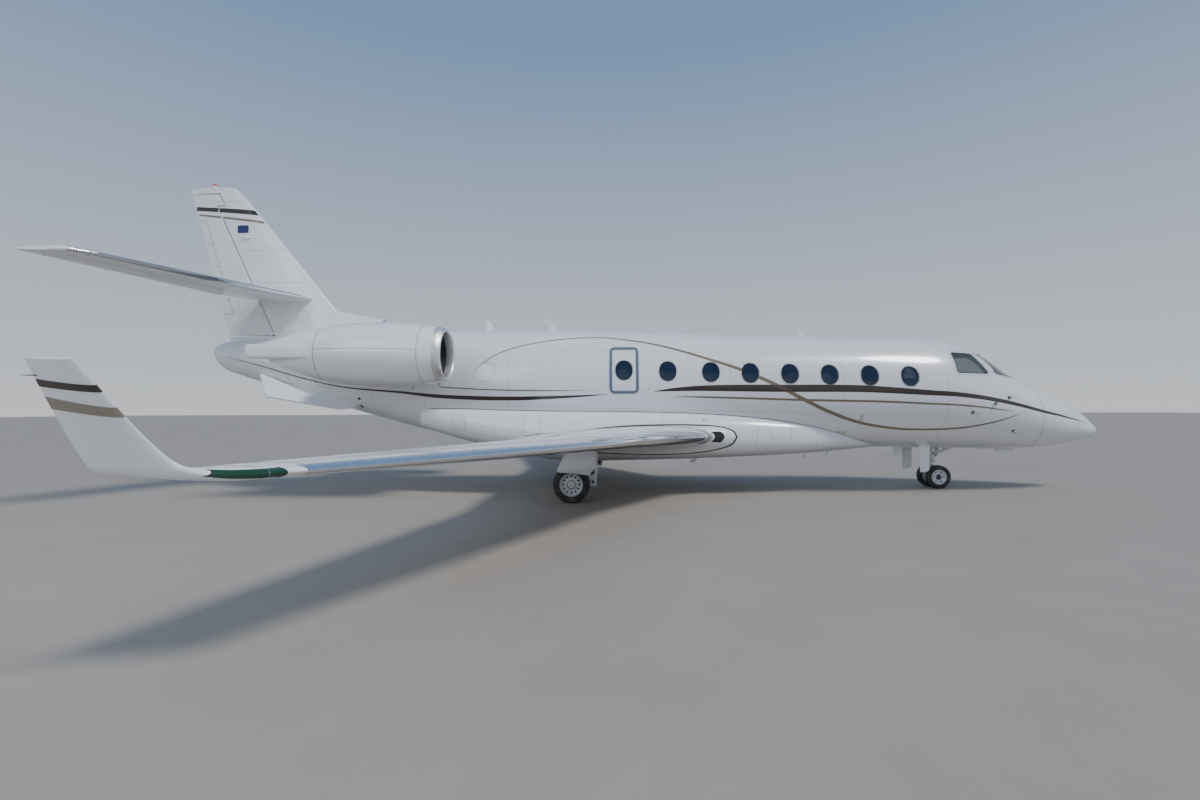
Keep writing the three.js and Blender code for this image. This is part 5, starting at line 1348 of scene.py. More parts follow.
def fin_markings():
    for name, finish, top, depth, ahead in FIN_BANDS:
        z = top[0]
        front = [band_front(top, drop) for drop in (0, depth[0])]
        for part, body, starts, x1 in (("front", "airframe", front, hinge_x(z) + 0.060),
                                       ("rear", "rudder", [hinge_x(z) + ahead] * 2, -9.6)):
            rear = np.interp(z, fin.rows[:, 0], fin.rows[:, 4]) + 0.01
            form = Form()
            for side in (1, -1):
                form.join(fin_band(side, starts, max(x1, rear), top, depth))
            finished(f"{name}_{part}", form.solid(), finish, body)
    seams, tab = Form(), Form()
    for side in (1, -1):
        for share in FIN_JOINTS:
            seams.join(fin.ribbon(np.linspace(3.5, 6.1, 40), share, 0.0025, side))
        for z in FIN_SEAMS:
            seams.join(fin.ribbon(z, np.linspace(0.02, 0.55, 30), 0.0025, side, "chord"))
        angle = np.linspace(0, TAU, 33)
        for x, z, radius in FIN_COVERS:
            rows = []
            for r in (radius, radius + 0.003):
                zs = z + r * np.sin(angle)
                rows.append(fin.at(zs, fin_share(x + r * np.cos(angle), zs), side, RIBBON_LIFT))
            seams.join(Form().sheet(np.stack(rows, 1)))
        spans = np.linspace(*TAB["z"], 40)
        tab.join(fin.ribbon(spans, tab_share(spans), 0.007, side))
        for z in TAB["z"]:
            tab.join(fin.ribbon(z, np.linspace(tab_share(z), 0.995, 8), 0.006, side, "chord"))
        for z in TAB["hinges"]:
            at = fin.at(z, tab_share(z), side)
            tab.join(tube([at + [0.09, 0, 0], at, at - [0.09, 0, 0]], [0.003, 0.014, 0.003], 12, paint=1))
    finished("fin_joints", seams.solid(), SEAM)
    hinge_line, spans = Form(), np.linspace(3.30, 5.76, 40)
    for side in (1, -1):
        hinge_line.join(fin.ribbon(spans, fin_share(hinge_x(spans) + 0.054, spans), 0.012, side))
    finished("rudder_hinge_line", hinge_line.solid(), DARK_JOINT_AND_SHADE)
    finished("rudder_tab_joint", tab.solid(), [DARK_JOINT_AND_SHADE, WHITE], "rudder")
    flag = Form()
    for side in (1, -1):
        xs, zs = np.linspace(*FLAG["x"], 8), np.linspace(*FLAG["z"], 6)
        flag.join(Form().sheet(np.stack([fin.at(z, fin_share(xs, z), side, BAND_LIFT) for z in zs], 1)))
        at = fin.at(5.325, fin_share(-8.175, 5.325), side)
        flag.join(tube([at + [0.13, 0, 0], at + [0.05, side * 0.006, 0], at - [0.05, -side * 0.006, 0],
                        at - [0.13, 0, 0]],
                       [0.006, 0.030, 0.030, 0.006], 16, paint=1))
    finished("fin_blue_rectangles", flag.solid(), [BLUE, WHITE])


def tail_pieces():
    whole = tailplane.whole()
    plan = level_hinge(tailplane, ELEVATOR["y"], ELEVATOR["hinge"], ELEVATOR["travel"],
                       ELEVATOR["inner_slope"])
    elevator, fixed = hinged(whole, "z", *plan, (3.8, 4.4))
    clear = plan[1]
    room = [[clear[0][0], 0], [clear[0][0], clear[0][1] + 0.005], [clear[3][0], clear[3][1] + 0.005],
            [clear[3][0], 0]]
    fixed = boolean(fixed, prism("z", room, 3.8, 4.4).solid())
    fixed = boolean(fixed, fin.whole())
    both("stabiliser_skin", fixed, WHITE, replaces=["stabiliser"])
    both("elevator_skin", elevator, WHITE, "elevator", ["elevator"])
    spans = np.linspace(0.32, 3.55, 50)
    both("stabiliser_edge", tailplane.nose(spans, 0.085, 0.0010).solid(), POLISHED, slot="polished_metal")
    lines = Form()
    for side in (1, -1):
        lines.join(tailplane.ribbon(np.linspace(0.35, 3.3, 40), 0.40, 0.0025, side))
        for span in (1.1, 2.2, 3.33):
            lines.join(tailplane.ribbon(span, np.linspace(0.09, 0.64, 20), 0.0025, side, "chord"))
    both("stabiliser_joints", lines.solid(), SEAM)


# Engines

ENGINE_AT, ENGINE_TILT = (-3.320, 1.750, 2.620), 0.0145
ENGINE_PLACE = Matrix.Translation(ENGINE_AT) @ Matrix.Rotation(ENGINE_TILT, 4, "Y")
# Outside of the nacelle and inside of its duct, in millimetres: distance behind the lip, radius
COWL_OUT = [[0, 436], [45, 474], [150, 512], [400, 552], [850, 582], [1350, 576], [1900, 540], [2480, 452],
            [3080, 350]]
DUCT = [[45, 415], [150, 405], [420, 418], [700, 425], [1250, 452], [1900, 470], [2480, 375], [3080, 300]]
LIP = [[0.150, 0.512], [0.085, 0.494], [0.030, 0.467], [0.0, 0.437], [0.020, 0.417], [0.080, 0.407],
       [0.150, 0.405]]
LIP_END, COWL_END, TAILPIPE = 0.150, 2.210, 3.080
FISHMOUTH = {"from": 2.080, "at_rim": 0.560, "to": 3.120, "at_end": 0.165}
STANG = {"from": 2.230, "to": 3.450, "half": 0.128, "y": (0.330, 0.480)}
FAN = {"at": 0.430, "hub": 0.120, "radius": 0.400, "blades": 16, "depth": 0.110}
PYLON = [[500, -4150, -6050, 2640, 0.1], [1750, -4150, -6050, 2640, 0.1]]
NACELLE_SIDES = 72


class NodeTree:
    """A Geometry Nodes tree with named inputs."""

    def __init__(self, name, inputs):
        self.tree = bpy.data.node_groups.new(name, "GeometryNodeTree")
        face = self.tree.interface
        face.new_socket("Geometry", in_out="INPUT", socket_type="NodeSocketGeometry")
        for key, kind in inputs.items():
            face.new_socket(key, in_out="INPUT", socket_type=f"NodeSocket{kind}")
        face.new_socket("Geometry", in_out="OUTPUT", socket_type="NodeSocketGeometry")
        self.inputs = self.node("NodeGroupInput")

    def node(self, kind, inputs=None, **settings):
        node = self.tree.nodes.new(kind)
        for key, value in settings.items():
            setattr(node, key, value)
        for key, value in (inputs or {}).items():
            if isinstance(value, bpy.types.NodeSocket):
                self.tree.links.new(value, node.inputs[key])
            else:
                node.inputs[key].default_value = value
        return node.outputs

    def close(self, instances):
        """Ends the tree in Realize Instances and Set Material."""
        plain = self.node("GeometryNodeRealizeInstances", {0: instances})[0]
        dressed = self.node("GeometryNodeSetMaterial", {"Geometry": plain,
                                                        "Material": self.inputs["Material"]})[0]
        self.node("NodeGroupOutput", {0: dressed})

    def apply(self, data, **values):
        """The plain mesh that the tree makes from a mesh and values for its inputs."""
        thing = scene_object("source", data)
        step = thing.modifiers.new("nodes", "NODES")
        step.node_group = self.tree
        for item in self.tree.interface.items_tree:
            if item.name in values:
                step[item.identifier] = values[item.name]
        made = bpy.data.meshes.new_from_object(thing.evaluated_get(bpy.context.evaluated_depsgraph_get()))
        bpy.data.objects.remove(thing)
        return made


def around_tree():
    """Copies of a mesh turned evenly about an axis through the origin."""
    made = NodeTree("around", {"Count": "Int", "Axis": "Vector", "Material": "Material"})
    points = made.node("GeometryNodePoints", {"Count": made.inputs["Count"]})[0]
    index = made.node("GeometryNodeInputIndex")[0]
    share = made.node("ShaderNodeMath", {0: index, 1: made.inputs["Count"]}, operation="DIVIDE")[0]
    angle = made.node("ShaderNodeMath", {0: share, 1: TAU}, operation="MULTIPLY")[0]
    turn = made.node("FunctionNodeAxisAngleToRotation", {"Axis": made.inputs["Axis"], "Angle": angle})[0]
    made.close(made.node("GeometryNodeInstanceOnPoints", {
        "Points": points, "Instance": made.inputs["Geometry"], "Rotation": turn})[0])
    return made


def stud_tree():
    """A low round head at each point of a mesh, along the direction that the point holds."""
    made = NodeTree("studs", {"Radius": "Float", "Height": "Float", "Sides": "Int", "Material": "Material"})
    inputs = {"Vertices": made.inputs["Sides"], "Radius Top": made.node("ShaderNodeMath", {
        0: made.inputs["Radius"], 1: 0.7}, operation="MULTIPLY")[0],
        "Radius Bottom": made.inputs["Radius"], "Depth": made.inputs["Height"]}
    head = made.node("GeometryNodeMeshCone", inputs)["Mesh"]
    out = made.node("GeometryNodeInputNamedAttribute", {"Name": "out"}, data_type="FLOAT_VECTOR")["Attribute"]
    turn = made.node("FunctionNodeAlignRotationToVector", {"Vector": out}, axis="Z")[0]
    made.close(made.node("GeometryNodeInstanceOnPoints", {
        "Points": made.inputs["Geometry"], "Instance": head, "Rotation": turn})[0])
    return made


AROUND, STUDS = around_tree(), stud_tree()


STUD = {"Radius": 0.0042, "Height": 0.0014, "Sides": 10}


def studs(points, directions, material):
    """Heads of rivets or bolts as one plain mesh."""
    data = bpy.data.meshes.new("studs")
    data.from_pydata(np.asarray(points, float).reshape(-1, 3).tolist(), [], [])
    held = data.attributes.new("out", "FLOAT_VECTOR", "POINT")
    held.data.foreach_set("vector", np.asarray(directions, float).reshape(-1))
    return STUDS.apply(data, **STUD, Material=material)


def smooth_profile(table, start, end):
    path = curve_through(np.array(table) * MM, 10)
    inside = path[(path[:, 0] > start + 1e-4) & (path[:, 0] < end - 1e-4)]
    edge = lambda d: [[d, np.interp(d, path[:, 0], path[:, 1])]]
    return np.vstack([edge(start), inside, edge(end)])


def behind(profile):
    """A profile with its distances laid out aft of the lip."""
    return np.asarray(profile, float) * [-1, 1]


def nacelle_shell(start, end):
    outline = np.vstack([smooth_profile(COWL_OUT, start, end), smooth_profile(DUCT, start, end)[::-1]])
    return turned(behind(outline), "x", NACELLE_SIDES)


def nacelle_solid():
    """The room of the nacelle, closed at both ends."""
    outline = np.vstack([[[0, 0.001]], smooth_profile(COWL_OUT, 0, TAILPIPE), [[TAILPIPE, 0.001]]])
    return turned(behind(outline), "x", NACELLE_SIDES).moved(ENGINE_PLACE).solid()


def in_place(data):
    """A mesh of the nacelle's own frame at its place on the port side."""
    data.transform(ENGINE_PLACE)
    return data


def cowl_patch(distances, angles, lift=BAND_LIFT, paint=0):
    """A thin patch on the outside of the nacelle between distances behind the lip and angles in degrees."""
    path = smooth_profile(COWL_OUT, 0.02, TAILPIPE)
    d, a = np.meshgrid(distances, np.radians(angles), indexing="ij")
    r = np.interp(d, path[:, 0], path[:, 1]) + lift
    return Form().sheet(np.stack([-d, r * np.cos(a), r * np.sin(a)], -1), paint, 0.0016)


def paint_inside(data):
    """Faces that look towards the axis of the nacelle take the second finish."""
    for polygon in data.polygons:
        c, n = polygon.center, polygon.normal
        if c.y * n.y + c.z * n.z < -0.2 * math.hypot(c.y, c.z):
            polygon.material_index = 1
    return data


# Fan blade: radius, chord, stagger in degrees
BLADE_ROWS = [(0.100, 0.100, 20), (0.180, 0.118, 34), (0.270, 0.132, 48), (0.350, 0.140, 58),
              (0.403, 0.132, 63)]
PIPE = [[1.95, 0.290], [2.45, 0.262], [2.60, 0.250], [2.60, 0.244], [2.45, 0.254], [1.95, 0.280]]
CONE = [[2.02, 0.001], [2.02, 0.165], [2.25, 0.150], [2.55, 0.085], [2.72, 0.030], [2.76, 0.001]]
SPINNER = [[0.130, 0.001], [0.105, 0.040], [0.055, 0.085], [0.0, FAN["hub"]]]
VANES = {"count": 34, "half": 0.004, "radius": (0.250, 0.428), "x": (-0.705, -0.605)}
# Covers under the cowl: distances behind the lip and angles in degrees, and the places of its latches
COWL_COVERS, LATCHES_AT = ((1.05, 1.30, -72, -58), (1.62, 1.80, -78, -66)), (0.6, 0.95, 1.3, 1.65, 2.0)
COWL_FRONT = 0.385


def fan_blade():
    """One wide blade with its twist, standing up from the hub."""
    rings = []
    s = np.linspace(-0.5, 0.5, 9)
    for r, chord, stagger in BLADE_ROWS:
        camber, half = 0.10 * (0.25 - s ** 2) * chord, 0.005 * np.sqrt(np.clip(1 - (2 * s) ** 2, 0,
                                                                               1)) + 0.0006
        a = math.radians(stagger)
        section = np.vstack([np.column_stack([s * chord, camber + half]),
                             np.column_stack([s * chord, camber - half])[::-1]])
        x = -FAN["depth"] / 2 - section[:, 0] * math.cos(a) + section[:, 1] * math.sin(a)
        y = section[:, 0] * math.sin(a) + section[:, 1] * math.cos(a)
        rings.append(np.column_stack([x, y, np.full(len(x), r)]))
    return Form().loft(rings).solid()


def engine_pieces():
    lip = turned(behind(curve_through(LIP, 8)), "x", NACELLE_SIDES)
    both("inlet_lip_ring", in_place(lip.solid()), LIP_METAL, replaces=["inlet_lip"], slot="polished_metal")
    # Faces inside the duct take the near-black lining, which is painted shade
    cowl = paint_inside(nacelle_shell(LIP_END + 0.0003, COWL_END).solid())
    both("engine_cowl_skin", in_place(cowl), [WHITE, DUCT_LINING_PAINTED_SHADE], replaces=["engine_cowl"])

    tail = nacelle_shell(COWL_END + 0.0003, TAILPIPE).solid()
    f = FISHMOUTH
    for s in (1, -1):
        wedge = [[-f["from"], s * 0.9], [-f["from"], s * f["at_rim"]], [-f["to"], s * f["at_end"]],
                 [-f["to"] - 0.4, s * f["at_end"]], [-f["to"] - 0.4, s * 0.9]]
        tail = boolean(tail, prism("y", wedge, -0.9, 0.9).solid())
    (y0, y1), half = STANG["y"], STANG["half"]
    rings = []
    for x, inset in ((STANG["from"], 0.0), (STANG["to"] - 0.10, 0.0), (STANG["to"] - 0.03, 0.012),
                     (STANG["to"], 0.05)):
        corners = [[y0, -half + inset], [y1 - inset, -half + inset], [y1 - inset, half - inset],
                   [y0, half - inset]]
        outline = rounded(corners, 0.055, 5)
        rings.append(np.column_stack([np.full(len(outline), -x), outline]))
    stang = Form().loft(rings).solid()
    bore = turned(behind([[COWL_END, 0.001], [COWL_END, 0.400], [3.090, 0.325], [3.090, 0.001]]), "x",
                  NACELLE_SIDES)
    tail = boolean(tail, boolean(stang, bore.solid()), "UNION")
    both("reverser_skin", in_place(paint_inside(tail)), [WHITE, HOT_METAL], replaces=["reverser"])

    pipe, cone = turned(behind(PIPE), "x", 64), turned(behind(CONE), "x", 48)
    both("exhaust_cone", in_place(pipe.join(cone).solid()), HOT_METAL, slot="engine_metal")
    half, (r0, r1) = VANES["half"], VANES["radius"]
    vane = prism("x", [[-half, r0], [half, r0], [half, r1], [-half, r1]], *VANES["x"])
    vanes = AROUND.apply(vane.solid(), Count=VANES["count"], Axis=(1, 0, 0), Material=STEEL)
    both("guide_vanes", in_place(vanes), STEEL, slot="engine_metal")

    blades = AROUND.apply(fan_blade(), Count=FAN["blades"], Axis=(1, 0, 0), Material=BLADE_METAL)
    hub = np.vstack([curve_through(SPINNER, 8), [[-FAN["depth"], FAN["hub"]], [-FAN["depth"], 0.001]]])
    hub = turned(hub, "x", 48).solid()
    for part, data, finish in (("blades", blades, BLADE_METAL), ("spinner", hub, STEEL)):
        data.transform(ENGINE_PLACE @ Matrix.Translation((-FAN["at"], 0, 0)))
        both(f"fan_{part}", data, finish, "fan", ["fan"] if part == "blades" else [], slot="fan_metal")

    pylon = boolean(Foil(level_rows(PYLON)).whole(), nacelle_solid())
    pylon = boolean(pylon, core_solid(-6.6, -3.8, 0.001))
    both("pylon_skin", pylon, WHITE, replaces=["pylon"])
    for side, _ in SIDES:
        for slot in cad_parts[f"engine_core_{side}"].material_slots:
            slot.material = HOT_METAL
    cowl_details()


def cowl_details():
    """Joints, latches and covers on the nacelle."""
    lines = Form()
    full = np.linspace(0, 360, 97)
    for d, half in ((COWL_FRONT, 0.003), (COWL_END, 0.004)):
        lines.join(cowl_patch([d - half, d + half], full, paint=1))
    for angle in (5, -90, 175):
        lines.join(cowl_patch(np.linspace(0.39, COWL_END, 40), [angle - 0.25, angle + 0.25], paint=1))
    for d0, d1, a0, a1 in COWL_COVERS:
        for d in (d0, d1):
            lines.join(cowl_patch([d, d + 0.003], np.linspace(a0, a1, 10)))
        for a in (a0, a1):
            lines.join(cowl_patch(np.linspace(d0, d1, 8), [a, a + 0.3]))
    both("cowl_joints", in_place(lines.solid()), [SEAM, DARK_JOINT_AND_SHADE])
    latches = Form()
    for d in LATCHES_AT:
        latches.join(cowl_patch([d - 0.045, d + 0.045], [-91.8, -88.2], 0.002))
    both("cowl_latches", in_place(latches.solid()), STEEL)
    drain = tube([[-0.62, 0, -0.560], [-0.62, 0, -0.600], [-0.66, 0, -0.622]], 0.010, 12)
    mast = tube([[-0.14, 0, -0.500], [-0.145, 0, -0.535], [-0.16, 0, -0.552]], [0.012, 0.010, 0.007], 12)
    both("nacelle_drains", in_place(drain.join(mast).solid()), STEEL)


# Strake: corners of its middle plane
STRAKE = [[-5400, 560, 1800], [-5560, 760, 1668], [-5760, 850, 1650], [-7343, 700, 1904],
          [-7640, 450, 2387], [-7600, 200, 2387], [-5400, 300, 1960]]
STRAKE_HALF = 0.017


def strakes():
    p = np.array(STRAKE) * MM
    n = unit(np.cross(p[1] - p[0], p[2] - p[0]))
    middle = p.mean(0)
    rings = [middle + (p - middle) * share + n * side * STRAKE_HALF for side, share in
             ((-1, 0.985), (-0.5, 1.0), (0.5, 1.0), (1, 0.985))]
    both("strake_skin", boolean(Form().loft(rings).solid(), core_solid(-8.1, -5.0, 0.03)), WHITE)


# Outline of the wing's root fillet on the fairing, in side view from its front to its rear
GLOVE_TOP = [[1.945, 1.100], [1.905, 1.190], [1.752, 1.268], [1.366, 1.319], [0.415, 1.330], [-0.340, 1.295],
             [-1.103, 1.215], [-1.700, 1.165], [-2.015, 1.132]]
GLOVE_LOW = [[1.945, 1.100], [1.865, 0.982], [1.532, 0.865], [0.813, 0.784], [-0.653, 0.824], [-1.400, 0.930],
             [-1.800, 1.050], [-2.015, 1.117]]
# Span where the fillet ends on the wing, by share of the chord
GLOVE_SPAN = ([0.0, 0.62, 0.72, 1.0], [1.556, 1.556, 1.412, 1.412])


def glove_outline():
    """The fillet's edge on the port side of the fairing, from the rear over the top round to the rear."""
    share = (1 - np.cos(np.linspace(0, math.pi, 44))) / 2
    x = GLOVE_TOP[0][0] + share * (GLOVE_TOP[-1][0] - GLOVE_TOP[0][0])
    sides = []
    for rows in (GLOVE_TOP, GLOVE_LOW):
        path = curve_through(rows, 12)
        sides.append(np.column_stack([x, np.interp(-x, -path[:, 0], path[:, 1])]))
    p = np.vstack([sides[0][::-1], sides[1][1:]])
    return settled(fairing, fairing.side(p[:, 0], p[:, 1], 1), 0.0), share


def glove_surface():
    """Rows of points from the fairing out to the wing, leaving the one and meeting the other smoothly."""
    edge, share = glove_outline()
    shares = np.concatenate([share[::-1], share[1:]])
    sides = np.concatenate([np.ones(len(share)), -np.ones(len(share) - 1)])
    span = np.interp(shares, *GLOVE_SPAN)
    at = lambda out: np.vstack([wing.at(s + out, f, side, 0.0025) for s, f, side in zip(span, shares, sides)])
    tip, beyond = at(0.0), at(0.2)
    along = unit(tip - beyond)
    across = tip - edge
    reach = np.linalg.norm(across, axis=1, keepdims=True)
    n = fairing.normal(edge)
    inside = across - n * (across * n).sum(1, keepdims=True)
    free = np.exp(-(shares / 0.10) ** 2)[:, None]
    first = edge + 0.34 * ((1 - free) * inside + free * (0.9 * across + 0.1 * reach * [0, 1, 0]))
    last = tip + 0.36 * reach * along
    t = np.linspace(0, 1, 25)[:, None, None]
    return (1 - t) ** 3 * edge + 3 * t * (1 - t) ** 2 * first + 3 * t ** 2 * (1 - t) * last + t ** 3 * tip


def glove(rows):
    """The fillet and the seal along its edge."""
    both("wing_root_fillet", Form().loft(rows).solid(), WHITE)
    edge, _ = glove_outline()
    seal = band(fairing, edge + 0.013 * unit(edge - rows[3]), 0.030, 2, 0.003, depth=0.005)
    both("wing_root_seal", seal.solid(), SEAL)


def crease_height(x):
    """Height where the fairing leaves the body at x."""
    low, high = fairing.at(x)[3], fairing.at(x)[0] - 1e-4
    for _ in range(40):
        z = (low + high) / 2
        low, high = (z, high) if fairing.side(x, z, 1)[1] > hull.side(x, z, 1)[1] else (low, z)
    return (low + high) / 2


def crease():
    """The seal along the top of the fairing, and its panels."""
    lines = Form()
    xs = np.linspace(-3.95, 4.90, 160)
    zs = np.array([crease_height(x) for x in xs])
    for sign in (1, -1):
        lines.join(band(hull, hull.side(xs, zs + 0.004, sign), 0.009, 1, 0.0016))
        for x in FAIRING_JOINTS:
            z = np.linspace(0.72 if x > -2 else 1.05, crease_height(x) - 0.01, 24)
            lines.join(band(fairing, fairing.side(np.full(24, x), z, sign), 0.003, 1, paint=1))
    finished("fairing_joints", lines.solid(), [DARK_JOINT_AND_SHADE, SEAM])


# Landing gear

MAIN = {"at": (-1.074, 1.800, 0.322), "spacing": 0.310, "radius": 0.322, "width": 0.170, "rim": 0.204,
        "shaft": 0.042,
        "holes": 12, "dark_cap": False}
NOSE = {"at": (6.229, 0.0, 0.236), "spacing": 0.340, "radius": 0.236, "width": 0.112, "rim": 0.150,
        "shaft": 0.028,
        "holes": 6, "dark_cap": True}
STEER_X = 6.195
# Plates of the torque links: distance ahead of the leg, height, half width of the plate
MAIN_LINKS = [([[0.040, 0.690], [0.190, 0.560], [0.175, 0.530], [0.040, 0.640]], 0.032),
              ([[0.040, 0.400], [0.190, 0.530], [0.175, 0.560], [0.040, 0.450]], 0.026)]
NOSE_LINKS = [([[-0.030, 0.530], [-0.170, 0.440], [-0.160, 0.410], [-0.030, 0.490]], 0.022),
              ([[-0.020, 0.300], [-0.165, 0.410], [-0.155, 0.440], [-0.020, 0.350]], 0.018)]
MAIN_DOOR = [[-1.325, 0.566], [-1.270, 0.540], [-1.062, 0.533], [-0.645, 0.622], [-0.668, 0.960],
             [-1.138, 0.960]]
MAIN_DOOR_Y = (2.062, 2.084)
SHAFT_PLAY = 0.0009
# Outer sides of the legs' cylinders: height, radius
MAIN_CYLINDER = [[0.632, 0.050], [0.640, 0.072], [0.668, 0.078], [0.690, 0.078], [0.700, 0.070],
                 [0.900, 0.070],
                 [0.906, 0.076], [0.940, 0.076], [0.946, 0.070], [1.095, 0.070], [1.095, 0.001],
                 [0.632, 0.001]]
NOSE_CYLINDER = [[0.560, 0.001], [0.560, 0.056], [0.566, 0.062], [0.600, 0.062], [0.606, 0.056],
                 [0.760, 0.056],
                 [0.766, 0.062], [0.800, 0.062], [0.806, 0.056], [1.000, 0.056], [1.000, 0.001]]
NOSE_COLLAR = [[0.514, 0.001], [0.514, 0.060], [0.520, 0.066], [0.552, 0.066], [0.559, 0.060], [0.559, 0.001]]
# Lower edge of the main gear door, and the heights of its ribs
DOOR_EDGE, DOOR_RIBS = [[-1.300, 0.566], [-1.062, 0.543], [-0.660, 0.628]], (0.640, 0.740, 0.860)
NOSE_DOOR_RIBS = (0.460, 0.600, 0.740)
# Lip under the front of the main gear door, in side view, and how far out it leans for each metre down
DOOR_LIP, LIP_LEAN = [[-1.056, 0.546], [-0.650, 0.642], [-0.650, 0.622], [-0.767, 0.496],
                      [-0.987, 0.525]], 0.35
# Outline of the trailing arm: distance ahead of the axle, height
TRAILING_ARM = [[0.030, 0.380], [0.300, 0.482], [0.450, 0.482], [0.430, 0.268], [0.330, 0.285],
                [0.030, 0.290]]
NOSE_DOOR = [[5.750, 1.000], [5.980, 1.000], [5.960, 0.395], [5.925, 0.365], [5.785, 0.350]]
NOSE_DOOR_Y = (0.330, 0.350)


def tyre_mesh(wheel):
    """A tyre about the y axis, its tread grooved, with a rounded shoulder and a bead."""
    r, h, rim = wheel["radius"], wheel["width"] / 2, wheel["rim"]
    wall = lambda s, share: [s * h, rim + share * (r - rim)]
    half = [[0.78 * h, rim + 0.002], [0.90 * h, rim + 0.006], wall(0.98, 0.18), wall(1.0, 0.38),
            wall(0.97, 0.62),
            wall(0.88, 0.84), wall(0.74, 0.955), [0.62 * h, r - 0.004]]
    tread = [[0.56 * h, r - 0.002], [0.55 * h, r - 0.009], [0.49 * h, r - 0.009], [0.48 * h, r - 0.001],
             [0.22 * h, r], [0.21 * h, r - 0.009], [0.15 * h, r - 0.009], [0.14 * h, r]]
    side = half + tread
    return turned([[-a, b] for a, b in side] + side[::-1], "y", 64, start=-math.pi / 2).solid()


def wheel_metal(wheel, sign):
    """One hub: a dished web with holes round it, a cap and a rim flange, turned about y."""
    h, rim, c = wheel["width"] / 2, wheel["rim"], wheel["spacing"] / 2
    face = [[0.80, rim - 0.001], [0.83, rim - 0.006], [0.80, rim - 0.015], [0.55, rim - 0.022],
            [0.34, rim - 0.034],
            [0.25, rim - 0.048], [0.24, 0.60 * rim], [0.27, 0.46 * rim], [0.30, 0.40 * rim],
            [0.30, 0.375 * rim],
            [0.10, 0.37 * rim], [0.10, 0.335 * rim], [0.50, 0.325 * rim], [0.60, 0.30 * rim],
            [0.62, 0.24 * rim],
            [0.62, 0.001]]
    profile = [[c - h * 0.75, 0.001], [c - h * 0.75, rim - 0.001]] + [[c + h * a, b] for a, b in face]
    hole = bar([0.70 * rim, c - h * 0.25, 0], [0.70 * rim, c + h * 0.5, 0], 0.088 * rim, sides=16)
    around = {"Count": wheel["holes"], "Axis": (0, 1, 0)}
    data = boolean(turned(profile, "y", 72).solid(), AROUND.apply(hole.solid(), **around, Material=HUB_GREY))
    for polygon in data.polygons:
        centre = polygon.center
        reach = math.hypot(centre.x, centre.z)
        # The walls and floors of the blind holes take the near-black second finish: painted shade, so the
        # holes look as if they ran through
        shaded_hole = centre.y < c + h * 0.228 and centre.y > c - h * 0.7 and reach < 0.82 * rim
        cap = wheel["dark_cap"] and reach < 0.32 * rim and centre.y > c + 0.3 * h
        polygon.material_index = 1 if shaded_hole or cap else 0
    bolt = bar([0.47 * rim, c + h * 0.24, 0.0], [0.47 * rim, c + h * 0.34, 0], 0.035 * rim, sides=6)
    bolts = AROUND.apply(bolt.solid(), **around, Material=STEEL)
    for polygon in bolts.polygons:
        polygon.material_index = 2
    whole = merged(data, bolts)
    if sign < 0:
        whole.transform(Matrix.Scale(-1, 4, (0, 1, 0)))
        whole.flip_normals()
    return whole


def moved(data, place):
    data.transform(Matrix.Translation(place))
    return data


def merged(*meshes):
    """Several meshes as one, keeping their finishes."""
    work = bmesh.new()
    for data in meshes:
        work.from_mesh(data)
    whole = bpy.data.meshes.new("whole")
    work.to_mesh(whole)
    work.free()
    return whole


def hub_pair(wheel, place):
    """Two hubs back to back on their shaft, at their place."""
    reach = wheel["spacing"] / 2
    shaft = bar([0, -reach, 0], [0, reach, 0], wheel["shaft"], sides=32)
    return moved(merged(wheel_metal(wheel, 1), wheel_metal(wheel, -1), shaft.solid()), place)


def wheel_pieces():
    x, y, z = MAIN["at"]
    for side, sign in SIDES:
        place = (x, sign * y, z)
        finished(f"main_hub_pair_{side}", hub_pair(MAIN, place), [HUB_GREY, DARK_JOINT_AND_SHADE, STEEL],
                 f"main_wheels_{side}",
                 "wheel_metal", [f"main_hubs_{side}"])
        for spot, offset in (("outer", sign), ("inner", -sign)):
            at = (x, sign * y + offset * MAIN["spacing"] / 2, z)
            finished(f"main_tread_{side}_{spot}", moved(tyre_mesh(MAIN), at), RUBBER, f"main_wheels_{side}",
                     "tyre_rubber", [f"main_tyre_{side}_{spot}"])
    finished("nose_hub_pair", hub_pair(NOSE, NOSE["at"]), [HUB_GREY, DARK_JOINT_AND_SHADE, STEEL], "nose_wheels",
             "wheel_metal",
             ["nose_hubs"])
    for side, sign in SIDES:
        at = (NOSE["at"][0], sign * NOSE["spacing"] / 2, NOSE["at"][2])
        finished(f"nose_tread_{side}", moved(tyre_mesh(NOSE), at), RUBBER, "nose_wheels", "tyre_rubber",
                 [f"nose_tyre_{side}"])


def link_plate(outline, half, x, y):
    """One plate of a torque link."""
    return prism("y", rounded([[x + a, z] for a, z in outline], 0.014, 4), y - half, y + half)


